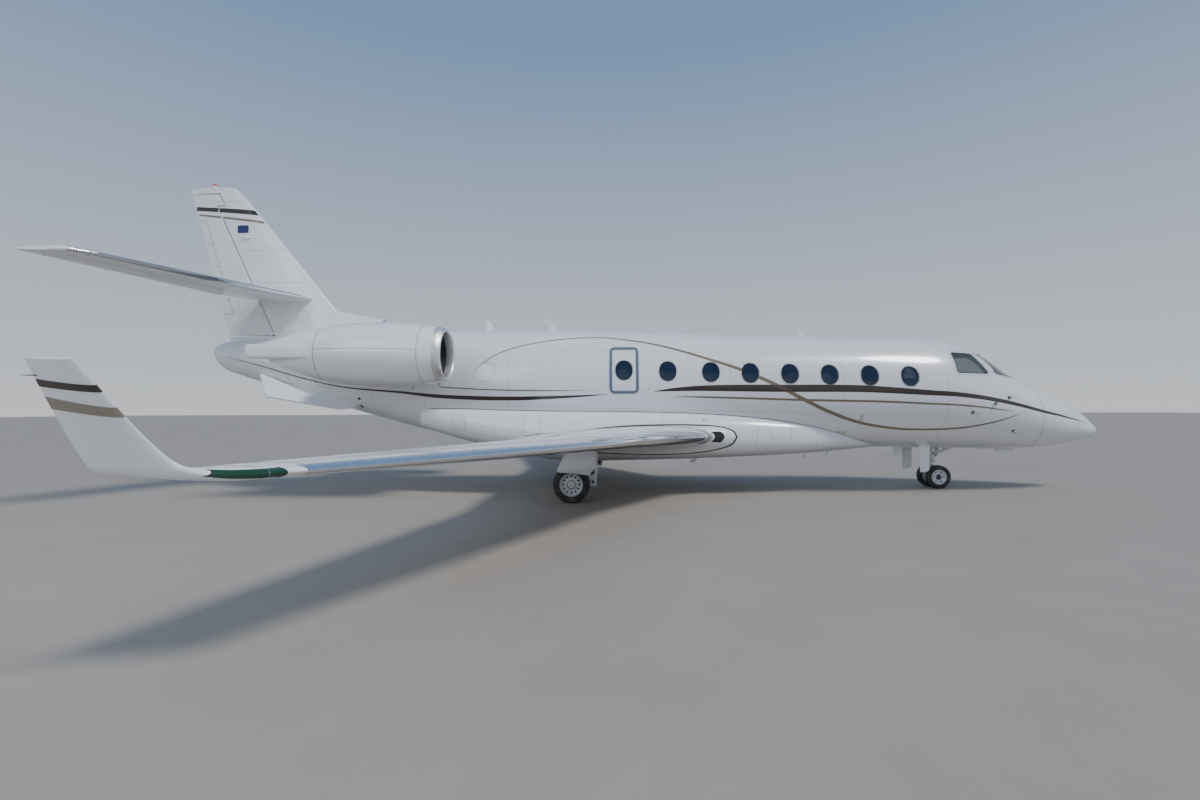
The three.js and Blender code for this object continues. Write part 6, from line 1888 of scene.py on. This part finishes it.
def main_leg():
    x, y, axle = MAIN["at"]
    # Cylinder with its collars, and the sliding rod below it
    leg = turned(MAIN_CYLINDER, "z", 40, (x, y, 0))
    leg.join(turned([[0.345, 0.001], [0.345, 0.046], [0.640, 0.046], [0.640, 0.001]], "z", 36, (x, y, 0),
                    paint=1))
    for low, high in ((0.385, 0.405), (0.405, 0.420)):
        leg.join(turned([[low, 0.001], [low, 0.060], [high, 0.056], [high, 0.001]], "z", 32, (x, y, 0)))
    bore = MAIN["shaft"] + SHAFT_PLAY
    bearing = [[-0.052, bore], [-0.052, 0.074], [-0.044, 0.078], [0.044, 0.078], [0.052, 0.074],
               [0.052, bore]]
    leg.join(turned(bearing, "y", 40, (x, y, axle)))
    for outline, half in MAIN_LINKS:
        leg.join(link_plate(outline, half, x, y))
    for ahead, z, half in ((0.183, 0.545, 0.036), (0.048, 0.665, 0.040), (0.048, 0.425, 0.036)):
        leg.join(bar([x + ahead, y - half, z], [x + ahead, y + half, z], 0.017, sides=20, paint=2))
    leg.join(bar([x, y, 0.860], [x - 0.420, y - 0.520, 1.115], 0.034, sides=24))
    # The arm that runs ahead of the axle to its pivot, between the tyres, and the post above it
    arm = rounded([[x + ahead, z] for ahead, z in TRAILING_ARM], 0.020, 4)
    leg.join(prism("y", arm, y - 0.034, y + 0.034))
    pivot_x, pivot_z, post_x = x + 0.372, 0.352, x + 0.415
    leg.join(bar([pivot_x, y - 0.046, pivot_z], [pivot_x, y + 0.046, pivot_z], 0.026, sides=24, paint=3))
    leg.join(bar([post_x, y, 0.455], [post_x, y, 1.000], 0.036, sides=28))
    leg.join(bar([x - 0.02, y, 0.872], [x - 0.05, y - 0.06, 0.892], 0.044, sides=24))
    # The jacking pad, and a hydraulic line with its clips down the leg
    leg.join(block((x - 0.040, y - 0.045, 0.236), (x + 0.040, y + 0.045, 0.262), 0.008))
    line = curve_through([[x + 0.064, y + 0.052, 1.040], [x + 0.066, y + 0.056, 0.860],
                          [x + 0.080, y + 0.070, 0.660],
                          [x + 0.120, y + 0.062, 0.540], [x + 0.080, y + 0.056, 0.400],
                          [x + 0.040, y + 0.050, 0.345]], 10)
    leg.join(tube(line, 0.0065, 10, 3))
    leg.join(tube(line - [0.004, 0.098, 0], 0.0065, 10, 3))
    for z in (0.98, 0.86, 0.74):
        leg.join(turned([[z, 0.066], [z, 0.0745], [z + 0.016, 0.0745], [z + 0.016, 0.066]], "z", 32,
                        (x, y, 0), paint=2))
    shell = Form().loft([fairing.ring(s) for s in np.linspace(-4.0, 3.0, 70)]).solid()
    both("main_leg_metal", boolean(boolean(leg.solid(), wing.whole()), shell),
         [GEAR_WHITE, CHROME, STEEL, HOSE],
         replaces=["main_leg"], slot="gear_paint")


def main_door():
    """The door on the leg's outer face: a skin with a return flange, ribs and its arm to the leg."""
    x, y, _ = MAIN["at"]
    low, high = MAIN_DOOR_Y
    outline = rounded(MAIN_DOOR, 0.020, 4)
    skin = plate(outline, ((0.010, low), (0.0, low + 0.005), (0.0, high - 0.004), (0.006, high))).solid()
    door = block((x - 0.050, y + 0.030, 0.760), (x + 0.060, low + 0.004, 0.820), 0.012, 1)
    # Pale flange along the lower edge, the lip below it, and three ribs inside
    for (x0, z0), (x1, z1) in zip(DOOR_EDGE, DOOR_EDGE[1:]):
        section = [[x0, z0], [x1, z1], [x1, z1 + 0.022], [x0, z0 + 0.022]]
        door.join(prism("y", section, high - 0.001, high + 0.004, 1))
    lip = np.array(DOOR_LIP)
    lean = 2.066 + (0.640 - lip[:, 1]) * LIP_LEAN
    door.join(Form().loft([upright(lip, lean + out) for out in (0.0, 0.004)], 1))
    for z in DOOR_RIBS:
        door.join(block((-1.20 if z > 0.7 else -1.15, low - 0.018, z), (-0.72, low + 0.002, z + 0.018), 0.004,
                        1))
    data = merged(boolean(skin, wing.whole()), door.solid())
    # Fasteners round the door
    points = grown(dense(outline, 0.055), -0.022)
    heads = studs(upright(points, high + 0.0012), np.tile([0, 1, 0], (len(points), 1)), STEEL)
    both("main_gear_door", data, [WHITE, GEAR_WHITE])
    both("main_door_fasteners", heads, STEEL)


def brakes():
    """Brake stacks on the inner sides of the main wheels, carried by the leg."""
    x, y, z = MAIN["at"]
    form = Form()
    for s in (1, -1):
        low, high = sorted((y + s * 0.058, y + s * 0.088))
        form.join(turned([[low, 0.052], [low, 0.150], [high, 0.150], [high, 0.052]], "y", 48, (x, 0, z)))
        for k in range(6):
            angle = math.radians(60 * k + 25)
            centre = np.array([x + 0.105 * math.cos(angle), 0, z + 0.105 * math.sin(angle)])
            a, b = centre + [0, y + s * 0.052, 0], centre + [0, y + s * 0.066, 0]
            form.join(bar(a, b, 0.021, 0.019, 20, 1))
    both("brake_stacks", form.solid(), [HOT_METAL, BRASS], slot="gear_paint")


def nose_gear():
    strut = turned(NOSE_CYLINDER, "z", 40, (STEER_X, 0, 0))
    strut.join(bar([STEER_X, 0, 0.640], [STEER_X + 0.420, 0, 0.860], 0.030, sides=24))
    strut.join(bar([STEER_X + 0.052, 0, 0.667], [STEER_X + 0.085, 0, 0.684], 0.038, sides=24, paint=1))
    # Steering cylinders across the sleeve and the taxi light on its bracket
    strut.join(bar([STEER_X + 0.020, -0.098, 0.700], [STEER_X + 0.020, 0.098, 0.700], 0.030, sides=24))
    for s in (1, -1):
        strut.join(bar([STEER_X + 0.020, s * 0.096, 0.700], [STEER_X + 0.020, s * 0.110, 0.700], 0.024,
                       sides=20, paint=1))
    strut.join(block((STEER_X + 0.050, -0.030, 0.722), (STEER_X + 0.090, 0.030, 0.742), 0.004))
    lamp = [[0.080, 0.001], [0.080, 0.030], [0.110, 0.052], [0.128, 0.052], [0.128, 0.046], [0.120, 0.001]]
    lens = [[0.121, 0.001], [0.121, 0.0455], [0.126, 0.0455], [0.129, 0.001]]
    for profile, paint in ((lamp, 0), (lens, 2)):
        strut.join(turned([[STEER_X + a, r] for a, r in profile], "x", 32, (0, 0, 0.782), paint=paint))
    hose = curve_through([[STEER_X - 0.058, 0.02, 0.940], [STEER_X - 0.068, 0.03, 0.800],
                          [STEER_X - 0.066, 0.03, 0.640],
                          [STEER_X - 0.064, 0.024, 0.585]], 8)
    strut.join(tube(hose, 0.006, 10, 3))
    finished("nose_sleeve", boolean(strut.solid(), core_solid(5.6, 7.0, 0.0)),
             [GEAR_WHITE, STEEL, CLEAR_LENS, HOSE],
             slot="gear_paint", replaces="nose_strut")

    x, _, z = NOSE["at"]
    fork = turned([[0.276, 0.001], [0.276, 0.040], [0.514, 0.040], [0.514, 0.001]], "z", 36, (STEER_X, 0, 0),
                  paint=1)
    fork.join(turned(NOSE_COLLAR, "z", 40, (STEER_X, 0, 0)))
    bore = NOSE["shaft"] + SHAFT_PLAY
    fork.join(turned([[-0.080, bore], [-0.080, 0.048], [-0.074, 0.052], [0.074, 0.052], [0.080, 0.048],
                      [0.080, bore]],
                     "y", 40, (x, 0, z)))
    fork.join(block((x + 0.040, -0.040, z - 0.025), (x + 0.075, 0.040, z + 0.025), 0.008))
    for outline, half in NOSE_LINKS:
        fork.join(link_plate(outline, half, STEER_X, 0))
    for ahead, height, half in ((-0.162, 0.425, 0.026), (-0.036, 0.510, 0.028), (-0.028, 0.325, 0.024)):
        fork.join(bar([STEER_X + ahead, -half, height], [STEER_X + ahead, half, height], 0.012, sides=18,
                      paint=2))
    finished("nose_fork_metal", fork.solid(), [GEAR_WHITE, CHROME, STEEL], "nose_steering", "gear_paint",
             ["nose_fork"])

    low, high = NOSE_DOOR_Y
    door = plate(rounded(NOSE_DOOR, 0.014, 4), ((0.006, low), (0.0, low + 0.004), (0.0, high - 0.004),
                                                (0.005, high)))
    for z0 in NOSE_DOOR_RIBS:
        door.join(block((5.800, low - 0.014, z0), (5.930, low + 0.002, z0 + 0.014), 0.003))
    both("nose_door_skin", boolean(door.solid(), core_solid(5.4, 6.4, 0.0)), WHITE,
         replaces=["nose_gear_door"])


# Interior

SEATS = [(3.900, -1), (2.550, 1), (1.150, -1), (-0.350, 1)]
CABIN_SEAT = {"y": 0.600, "width": 0.560}
PILOT_SEAT = {"x": 6.350, "y": 0.420, "width": 0.500}
STEP_RISES = (0.330, 0.630, 0.930, 1.230)


FLOOR_DEPTH = 0.060
# How full a cushion is at its middle, and how square it is in plan, at its rim and in height
CROWN, PLAN_BEND, RIM_BEND, HEIGHT_BEND = 0.02, 0.36, 0.32, 0.42
CUSHION_SIDES = 32


def cushion(low, high):
    """A padded block, its edges rounded all round and its faces crowned."""
    low, high = np.asarray(low, float), np.asarray(high, float)
    centre, half = (low + high) / 2, (high - low) / 2
    rings = []
    bend = lambda v, power: np.sign(v) * np.abs(v) ** power
    angle = round_angles(CUSHION_SIDES)
    for a in np.linspace(-math.pi / 2, math.pi / 2, 15)[1:-1]:
        x, y = (bend(v, PLAN_BEND) * np.cos(a) ** RIM_BEND for v in (np.cos(angle), np.sin(angle)))
        z = np.full(CUSHION_SIDES, bend(np.sin(a), HEIGHT_BEND))
        swell = 1 + CROWN * (1 - x ** 2) * (1 - y ** 2)
        rings.append(centre + np.column_stack([x, y, z * swell]) * half)
    return Form().loft(rings)


def slanted(form):
    """A form leant back with the back of its seat."""
    there = Matrix.Translation((-0.26, 0, 0.43))
    return form.moved(there @ Matrix.Rotation(math.radians(-11), 4, "Y") @ there.inverted())


def seat_forms(x, y, width, facing, base):
    """Cushions and shell of one seat, facing forward with 1."""
    soft, hard = Form(), Form()
    half = width / 2
    soft.join(cushion((-0.22, -half + 0.075, 0.345), (0.29, half - 0.075, 0.455)))
    back = cushion((-0.315, -half + 0.075, 0.42), (-0.215, half - 0.075, 0.865))
    head = cushion((-0.315, -half + 0.14, 0.855), (-0.225, half - 0.14, 1.045))
    soft.join(slanted(back)).join(slanted(head))
    for side in (1, -1):
        low, high = sorted((side * (half - 0.070), side * half))
        soft.join(cushion((-0.20, low, 0.53), (0.24, high, 0.60)))
        hard.join(block((-0.19, low + 0.012, 0.10), (0.20, high - 0.012, 0.54), 0.012))
    hard.join(block((-0.24, -half + 0.05, 0.02), (0.24, half - 0.05, 0.30), 0.03))
    hard.join(slanted(block((-0.34, -half + 0.06, 0.34), (-0.315, half - 0.06, 0.90), 0.02)))
    place = Matrix.Translation((x, y, base)) @ Matrix.Scale(facing, 4, (1, 0, 0))
    return soft.moved(place), hard.moved(place)


def floor_slab(x0, x1, reach):
    """The slab of a floor from x0 to x1, as wide as its reach to both sides."""
    z0, z1 = floor_z(x0), floor_z(x1)
    section = [[x0, z0 - FLOOR_DEPTH], [x1, z1 - FLOOR_DEPTH], [x1, z1], [x0, z0]]
    return prism("y", section, -reach, reach).solid()


def cabin():
    soft, hard = Form(), Form()
    for x, facing in SEATS:
        for _, sign in SIDES:
            cushions, shell = seat_forms(x, sign * CABIN_SEAT["y"], CABIN_SEAT["width"], facing, floor_z(x))
            soft.join(cushions)
            hard.join(shell)
    pads = finished("cabin_seat_cushions", soft.solid(), LEATHER, slot="cabin_trim", crease=60)
    finished("cabin_seat_shells", hard.solid(), LINING, slot="cabin_trim")

    # Floor with its carpet, and fold-out tables between facing seats
    core = core_solid(-2.2, 6.0, WALL + 0.002)
    deck = boolean(floor_slab(-2.14, 5.89, 1.055), core, "INTERSECT")
    deck = boolean(deck, prism("y", [[4.92, 0], [5.94, 0], [5.94, 4], [4.92, 4]], 0.48, 1.5).solid())
    finished("cabin_floor", deck, CARPET, slot="cabin_trim", replaces="cabin_interior")
    wood = Form()
    for x in (3.225, 0.400):
        for sign in (1, -1):
            low, high = sorted((sign * 0.46, sign * 1.02))
            wood.join(block((x - 0.24, low, floor_z(x) + 0.685), (x + 0.24, high, floor_z(x) + 0.712), 0.010))
    finished("cabin_tables", boolean(wood.solid(), core, "INTERSECT"), VENEER, slot="cabin_trim")


def cockpit():
    soft, hard = Form(), Form()
    base = floor_z(PILOT_SEAT["x"])
    for _, sign in SIDES:
        cushions, shell = seat_forms(PILOT_SEAT["x"], sign * PILOT_SEAT["y"], PILOT_SEAT["width"], 1, base)
        soft.join(cushions)
        hard.join(shell)
    pads = finished("pilot_seat_cushions", soft.solid(), COCKPIT_LEATHER, slot="cockpit_trim", crease=60)
    finished("pilot_seat_shells", hard.solid(), PANEL_GREY, slot="cockpit_trim")

    # Panel with its glare shield and four screens, and the pedestal with levers
    panel = prism("y", [[6.930, 1.500], [7.330, 1.500], [7.420, 2.080], [7.180, 2.190], [6.960, 2.130]],
                  -0.700, 0.700)
    panel.join(block((7.000, -0.300, 1.155), (7.300, 0.300, 1.600), 0.02))
    panel.join(prism("y", [[6.900, 2.110], [6.905, 2.130], [7.180, 2.206], [7.185, 2.186]], -0.690, 0.690))
    slope = (6.960 - 6.930) / (2.130 - 1.500)
    z0, z1 = 1.735, 2.010
    x0, x1 = 6.930 + slope * (z0 - 1.5), 6.930 + slope * (z1 - 1.5)
    frame_section = [[x0 - 0.006, z0 - 0.015], [x0 + 0.01, z0 - 0.015], [x1 + 0.01, z1 + 0.015],
                     [x1 - 0.006, z1 + 0.015]]
    screen_section = [[x0 - 0.009, z0], [x0, z0], [x1, z1], [x1 - 0.009, z1]]
    screens = Form()
    for y in (-0.525, -0.190, 0.190, 0.525):
        panel.join(prism("y", frame_section, y - 0.150, y + 0.150))
        screens.join(prism("y", screen_section, y - 0.135, y + 0.135))
    for y in (-0.06, 0.0, 0.06):
        panel.join(bar([7.08, y, 1.60], [7.03, y, 1.74], 0.009, sides=12))
        panel.join(bar([7.03, y - 0.018, 1.745], [7.03, y + 0.018, 1.745], 0.014, sides=16))
    for _, sign in SIDES:
        y = sign * 0.42
        wheel = [[6.84, y - 0.15, 1.83], [6.84, y - 0.13, 1.74], [6.83, y, 1.72], [6.84, y + 0.13, 1.74],
                 [6.84, y + 0.15, 1.83]]
        panel.join(tube(curve_through(wheel, 8), 0.013, 12))
        panel.join(bar([6.83, y, 1.72], [6.96, y, 1.70], 0.018, sides=16))
    core = core_solid(5.85, 7.6, WALL + 0.002)
    deck = boolean(floor_slab(5.905, 7.330, 0.9), core, "INTERSECT")
    finished("cockpit_floor", deck, CARPET, slot="cockpit_trim", replaces="cockpit_interior")
    finished("cockpit_panel", boolean(panel.solid(), core, "INTERSECT"), PANEL_GREY, slot="cockpit_trim")
    finished("cockpit_screens", screens.solid(), SCREEN_GLOW, slot="cockpit_trim")


def door_steps():
    """Treads across the inner face of the entry door, with dark ribs on them."""
    x0, x1 = ENTRY["x"][0] + 0.090, ENTRY["x"][1] - 0.090
    treads, ribs = Form(), Form()
    for rise in STEP_RISES:
        z = ENTRY["z"][0] + rise
        treads.join(block((x0, 0.645, z), (x1, 1.120, z + 0.035), 0.003))
        for y in np.arange(0.665, 1.00, 0.035):
            ribs.join(block((x0 + 0.030, y, z - 0.0025), (x1 - 0.030, y + 0.014, z + 0.004), 0.001, 1))
    steps = merged(boolean(treads.solid(), core_solid(4.7, 6.1, 0.02), "INTERSECT"), ribs.solid())
    finished("entry_door_treads", steps, [STEEL, SEAL], "entry_door", slot="cabin_trim")


# Small parts

# Aerials in side view: x of the front and rear edge, height of the tip and of the root
BLADE_AERIALS = [[-2.815, -3.065, 3.507, 3.262]]
HOOKED_AERIALS = [[-1.482, -1.829, 3.526, 3.250], [3.664, 3.341, 3.375, 3.095], [5.674, 5.255, 0.625, 0.870]]
LOW_AERIALS = [[0.153, -0.126, 3.276, 3.205], [1.007, 0.495, 3.252, 3.165]]
NOSE_BOX = {"x": (7.480, 7.840), "half": 0.060, "z": (0.756, 0.830)}
# Two dark ovals low on the side between the strakes' roots and the fairing, their dark painted shade standing
# for openings: x and height
STRAKE_VENTS = [[-5.440, 1.862], [-5.460, 1.704]]


# Sections of a thin blade: y, and its length as a share of the outline's
BLADE_SIDES = [(-0.009, 0.90), (-0.00405, 0.985), (0.00405, 0.985), (0.009, 0.90)]


def thin_blade(outline):
    """An upright blade in the middle plane, sharp at its front and rear."""
    p = np.asarray(outline, float)
    centre = p.mean(0)
    return Form().loft([upright(centre + (p - centre) * [share, 1], y) for y, share in BLADE_SIDES])


def aerials():
    form = Form()
    for front, rear, tip, root in BLADE_AERIALS:
        length = front - rear
        form.join(thin_blade([[front, root], [front - 0.55 * length, tip], [rear, tip],
                              [rear + 0.08 * length, root]]))
    for front, rear, tip, root in HOOKED_AERIALS:
        length, rise = front - rear, tip - root
        form.join(thin_blade([[front, root], [front - 0.40 * length, root + 0.86 * rise],
                              [front - 0.52 * length, tip],
                              [rear, tip], [rear, root + 0.90 * rise],
                              [front - 0.66 * length, root + 0.78 * rise],
                              [front - 0.55 * length, root]]))
    for front, rear, tip, root in LOW_AERIALS:
        rings = []
        for share, level in ((1.0, 0.0), (0.93, 0.45), (0.80, 0.82), (0.60, 0.97), (0.30, 1.0)):
            x, half = (front + rear) / 2, (front - rear) / 2
            outline = oval(x, 0, half * share, 0.055 * share, 2.3, 40)
            rings.append(np.column_stack([outline, np.full(40, root + level * (tip - root))]))
        form.join(Form().loft(rings))
    (x0, x1), half, (z0, z1) = NOSE_BOX["x"], NOSE_BOX["half"], NOSE_BOX["z"]
    middle = (x0 + x1) / 2
    rings = []
    for z, share in ((z1, 1.0), (z0 + 0.012, 1.0), (z0 + 0.003, 0.97), (z0, 0.90)):
        outline = oval(middle, 0, (x1 - x0) / 2 * share, half * share, 5.0, 48)
        rings.append(np.column_stack([outline, np.full(48, z)]))
    form.join(Form().loft(rings))
    finished("aerials", boolean(form.solid(), core_solid(-3.6, 8.6, 0.004)), WHITE)


def standing(body, x, z, sign):
    """A place on one side of a body, with its outward direction and a direction along it going aft."""
    p = settled(body, body.side(x, z, sign)[None], 0.0)[0]
    n = body.normal(p[None])[0]
    return p, n, unit(np.array([-1.0, 0, 0]) - n * (-n[0]))


def round_plate(body, x, z, sign, depth, height, radius, sides):
    """A round plate on one side of a body; a dark one stands for a hole, its dark painted shade."""
    p, n, _ = standing(body, x, z, sign)
    return bar(p - n * depth, p + n * height, radius, sides=sides)


# Places of the probes and static plates (x, z). Sections of the vane: distance out, chord, half thickness
PROBES, STATIC_PLATES = ((6.402, 1.553), (7.340, 1.187), (7.170, 1.830)), ((4.338, 1.412), (4.338, 1.482))
VANE_SECTIONS = ((0.004, 0.045, 0.0035), (0.045, 0.038, 0.003), (0.075, 0.022, 0.0022))


def probes():
    """Air data probes, the angle of attack vane and the static plates on the nose."""
    metal, plates = Form(), Form()
    for sign in (1, -1):
        for x, z in PROBES:
            p, n, aft = standing(hull, x, z, sign)
            neck = p + n * 0.055
            path = curve_through([p - n * 0.01, p + n * 0.035, neck - aft * 0.015, neck - aft * 0.075,
                                  neck - aft * 0.140], 6)
            radii = np.interp(np.linspace(0, 1, len(path)), [0, 0.3, 0.45, 1], [0.018, 0.012, 0.0085, 0.0055])
            metal.join(tube(path, radii, 14))
            metal.join(bar(p - n * 0.004, p + n * 0.004, 0.036, sides=28))
        p, n, aft = standing(hull, 6.867, 1.719, sign)
        metal.join(bar(p - n * 0.004, p + n * 0.006, 0.034, sides=28))
        rings = []
        up = np.cross(n, aft)
        for out, chord, thick in VANE_SECTIONS:
            centre = p + n * out + aft * 0.012
            corners = [centre - aft * chord, centre + up * thick, centre + aft * chord, centre - up * thick]
            rings.append(np.array(corners))
        metal.join(Form().loft(rings))
        for x, z in STATIC_PLATES:
            plates.join(round_plate(hull, x, z, sign, 0.003, 0.0015, 0.034, 32))
    finished("air_data_probes", metal.solid(), STEEL)
    finished("static_plates", plates.solid(), SATIN)


def wicks():
    """Static discharge wicks on the trailing edges, each carried by its own surface."""
    top = len(winglet.rows) - 1
    for name, foil, spans, reach, carrier in (("aileron", wing, (6.6, 7.2, 7.8), 0.09, "aileron"),
                                              ("winglet", winglet, (0.06 * top, 0.96 * top), 0.075,
                                               "airframe"),
                                              ("elevator", tailplane, (1.6, 2.4, 3.2), 0.06, "elevator")):
        form = Form()
        for span in spans:
            p = foil.at(span, 1.0, 0)
            aft = unit(p - foil.at(span, 0.9, 0))
            form.join(tube([p - aft * 0.02, p + aft * 0.02, p + aft * reach], [0.0045, 0.003, 0.0016], 10))
        both(f"{name}_wicks", form.solid(), HOSE, carrier)


# Covers on fairing and body: corners in side view
COVERS = [(fairing, [[-3.418, 1.475], [-3.178, 1.475], [-3.178, 1.245], [-3.418, 1.245]]),
          (fairing, [[-2.040, 1.662], [-1.738, 1.662], [-1.738, 1.200], [-2.040, 1.200]]),
          (fairing, [[2.620, 1.420], [3.020, 1.360], [3.020, 1.080], [2.620, 1.080]]),
          (hull, [[-6.350, 2.330], [-6.020, 2.300], [-6.020, 2.080], [-6.350, 2.120]])]
# Round vents and drains, drawn as dark discs whose dark is painted shade: body, x, z, radius
VENTS = [(fairing, 1.350, 1.430, 0.016), (fairing, 1.395, 1.415, 0.012), (hull, 0.312, 2.002, 0.012)]


def panels():
    """Access covers with their rows of fasteners, vents and drains."""
    lines, vents = Form(), Form()
    points, outs = [], []
    for sign in (1, -1):
        for body, corners in COVERS:
            outline = rounded(corners, 0.012, 3)
            lines.join(ring_band(body, outline, sign, 0.003))
            at = dense(grown(outline, -0.014), 0.050)
            p = settled(body, body.side(at[:, 0], at[:, 1], sign), 0.0008)
            points.append(p)
            outs.append(body.normal(p))
        if sign < 0:
            angle = np.linspace(0, TAU, 40, endpoint=False)
            circle = np.column_stack([-2.794 + 0.19 * np.cos(angle), 2.353 + 0.19 * np.sin(angle)])
            lines.join(ring_band(hull, circle, sign, 0.003))
        for body, x, z, radius in VENTS:
            vents.join(round_plate(body, x, z, sign, 0.004, 0.0012, radius, 24))
        for x, z in STRAKE_VENTS:
            vents.join(round_plate(hull, x, z, sign, 0.004, 0.0012, 0.036, 32))
    finished("access_panels", lines.solid(), SEAM)
    # Dark discs for the vents and drains: painted shade where the holes would be
    finished("skin_vents", vents.solid(), DARK_JOINT_AND_SHADE)
    finished("panel_fasteners", studs(np.vstack(points), np.vstack(outs), SATIN), SATIN)


def belly_details():
    """Drain masts and the low stub under the fairing."""
    form = Form()
    for x, y, drop in ((3.523, -0.30, 0.085), (4.002, -0.22, 0.070), (3.100, 0.25, 0.070)):
        top = float(min(fairing.at(x)[1], hull.at(x)[1])) + 0.03
        form.join(tube([[x, y, top], [x - 0.01, y, top - 0.03 - drop * 0.5],
                        [x - 0.045, y, top - 0.03 - drop]],
                       [0.020, 0.013, 0.009], 16))
    top = float(fairing.at(1.28)[1])
    rings = []
    for z, grow in ((top + 0.02, 1.0), (top - 0.045, 0.9), (top - 0.075, 0.62)):
        outline = oval(1.28 - (top - z) * 0.6, 0, 0.062 * grow, 0.020 * grow, 2.2, 32)
        rings.append(np.column_stack([outline[:, 0], outline[:, 1] - 0.35, np.full(32, z)]))
    form.join(Form().loft(rings))
    finished("belly_masts", form.solid(), SATIN)


def lamps():
    """Lenses of the wing tips and of the landing lights."""
    left, rim = Form(), Form()
    for foil, spans in ((wing, np.linspace(8.310, 8.399, 6)), (winglet, np.linspace(0.02, 12.0, 16))):
        left.join(foil.nose(spans, 0.060, 0.0018))
    for foil, spans in ((wing, (8.300, 8.312)), (winglet, (11.9, 12.5))):
        rim.join(foil.nose(np.array(spans), 0.062, 0.0030))
    finished("port_tip_lens", left.solid(), TIP_RED)
    finished("starboard_tip_lens", left.mirrored().solid(), TIP_GREEN)
    both("tip_lens_rim", rim.solid(), SEAL)

    # The landing light at the wing's root, set into the front of the fillet, with the grey piece behind it
    rows = glove_surface()
    front = rows.shape[1] // 2
    for name, (x0, x1), tall, finish in (("landing_light_lens", (1.500, 1.715), 0.105, LAMP_GLASS_DARK),
                                         ("wing_root_edge", (1.352, 1.490), 0.135, SATIN)):
        r = np.where((rows[:, front, 0] > x0) & (rows[:, front, 0] < x1))[0]
        middle = rows[r[len(r) // 2]]
        level = np.abs(middle[:, 2] - middle[front, 2]) < tall
        c = np.where(level & (middle[:, 0] > middle[front, 0] - 0.35))[0]
        c = c[np.abs(c - front) < 16]
        part = rows[r[0]:r[-1] + 1, c[0]:c[-1] + 1]
        normal = np.cross(np.gradient(part, axis=0), np.gradient(part, axis=1))
        normal /= np.maximum(np.linalg.norm(normal, axis=-1, keepdims=True), 1e-9)
        outwards = np.sign((normal * (part - np.array([0.9, 1.2, 1.10]))).sum(-1, keepdims=True))
        data = Form().sheet(part + normal * outwards * 0.002, 0, 0.0024).solid()
        both(name, data, finish)


# Stage

CAMERA = {"at": (-0.266, -11.677, 1.650), "yaw": 1.79, "pitch": 0.86, "roll": -0.20, "focal": 555.9}
PHOTO_WIDTH = 1200
SENSOR = 36.0


def camera():
    yaw, pitch, roll = (math.radians(CAMERA[k]) for k in ("yaw", "pitch", "roll"))
    forward = Vector((-math.sin(yaw) * math.cos(pitch), math.cos(yaw) * math.cos(pitch), math.sin(pitch)))
    right = Vector((math.cos(yaw), math.sin(yaw), 0))
    up = right.cross(forward)
    right, up = right * math.cos(roll) + up * math.sin(roll), up * math.cos(roll) - right * math.sin(roll)
    data = bpy.data.cameras.new("camera")
    data.sensor_width = SENSOR
    data.lens = CAMERA["focal"] / PHOTO_WIDTH * SENSOR
    data.clip_end = 500
    thing = scene_object("camera", data)
    place = Matrix((right, up, -forward)).transposed().to_4x4()
    place.translation = CAMERA["at"]
    thing.matrix_world = place
    bpy.context.scene.camera = thing


def stage():
    finish = Finish("pale_floor", (0.36, 0.325, 0.285), 0.75)
    finish.tint((0.29, 0.262, 0.230), finish.noise(0.8, 5.0, None, 0.6))
    finish.bump(finish.noise(30.0, 3.0), 0.001, 0.2)
    size = 150
    floor = Form().add([[-size, -size, 0], [size, -size, 0], [size, size, 0], [-size, size, 0]],
                       [[0, 1, 2, 3]])
    floor = scene_object("floor", floor.mesh())
    floor.data.materials.append(finish.material)

    world = bpy.data.worlds.new("studio")
    bpy.context.scene.world = world
    world.use_nodes = True
    tree = world.node_tree
    place = tree.nodes.new("ShaderNodeTexCoord")
    split = tree.nodes.new("ShaderNodeSeparateXYZ")
    ramp = tree.nodes.new("ShaderNodeValToRGB")
    tree.links.new(place.outputs["Generated"], split.inputs[0])
    tree.links.new(split.outputs["Z"], ramp.inputs["Fac"])
    ramp.color_ramp.elements[0].position = 0.0
    ramp.color_ramp.elements[0].color = (0.72, 0.75, 0.78, 1)
    ramp.color_ramp.elements[1].position = 0.55
    ramp.color_ramp.elements[1].color = (0.20, 0.33, 0.56, 1)
    tree.links.new(ramp.outputs["Color"], tree.nodes["Background"].inputs["Color"])
    tree.nodes["Background"].inputs["Strength"].default_value = 0.95

    def lamp(name, at, aim, size, power, color=(1, 1, 1)):
        data = bpy.data.lights.new(name, "AREA")
        data.size, data.energy, data.color = size, power, color
        thing = scene_object(name, data)
        thing.location = at
        thing.rotation_euler = (Vector(aim) - Vector(at)).to_track_quat("-Z", "Y").to_euler()

    def sun(name, toward, power, spread, color):
        data = bpy.data.lights.new(name, "SUN")
        data.energy, data.angle, data.color = power, math.radians(spread), color
        thing = scene_object(name, data)
        thing.rotation_euler = Vector(toward).to_track_quat("-Z", "Y").to_euler()

    sun("key", (-0.60, 0.35, -0.95), 2.4, 14, (1.0, 0.965, 0.92))
    lamp("fill", (-10, -16, 8), (-1, 0, 1.5), 10, 700, (0.92, 0.96, 1.0))


camera()
stage()
body_pieces()
glazing()
window_frames()
stripes()
seams()
fairing_pieces()
wing_pieces()
winglet_stripes()
fin_pieces()
fin_markings()
tail_pieces()
engine_pieces()
strakes()
glove(glove_surface())
crease()
wheel_pieces()
main_leg()
main_door()
brakes()
nose_gear()
cabin()
cockpit()
door_steps()
aerials()
probes()
wicks()
panels()
belly_details()
lamps()
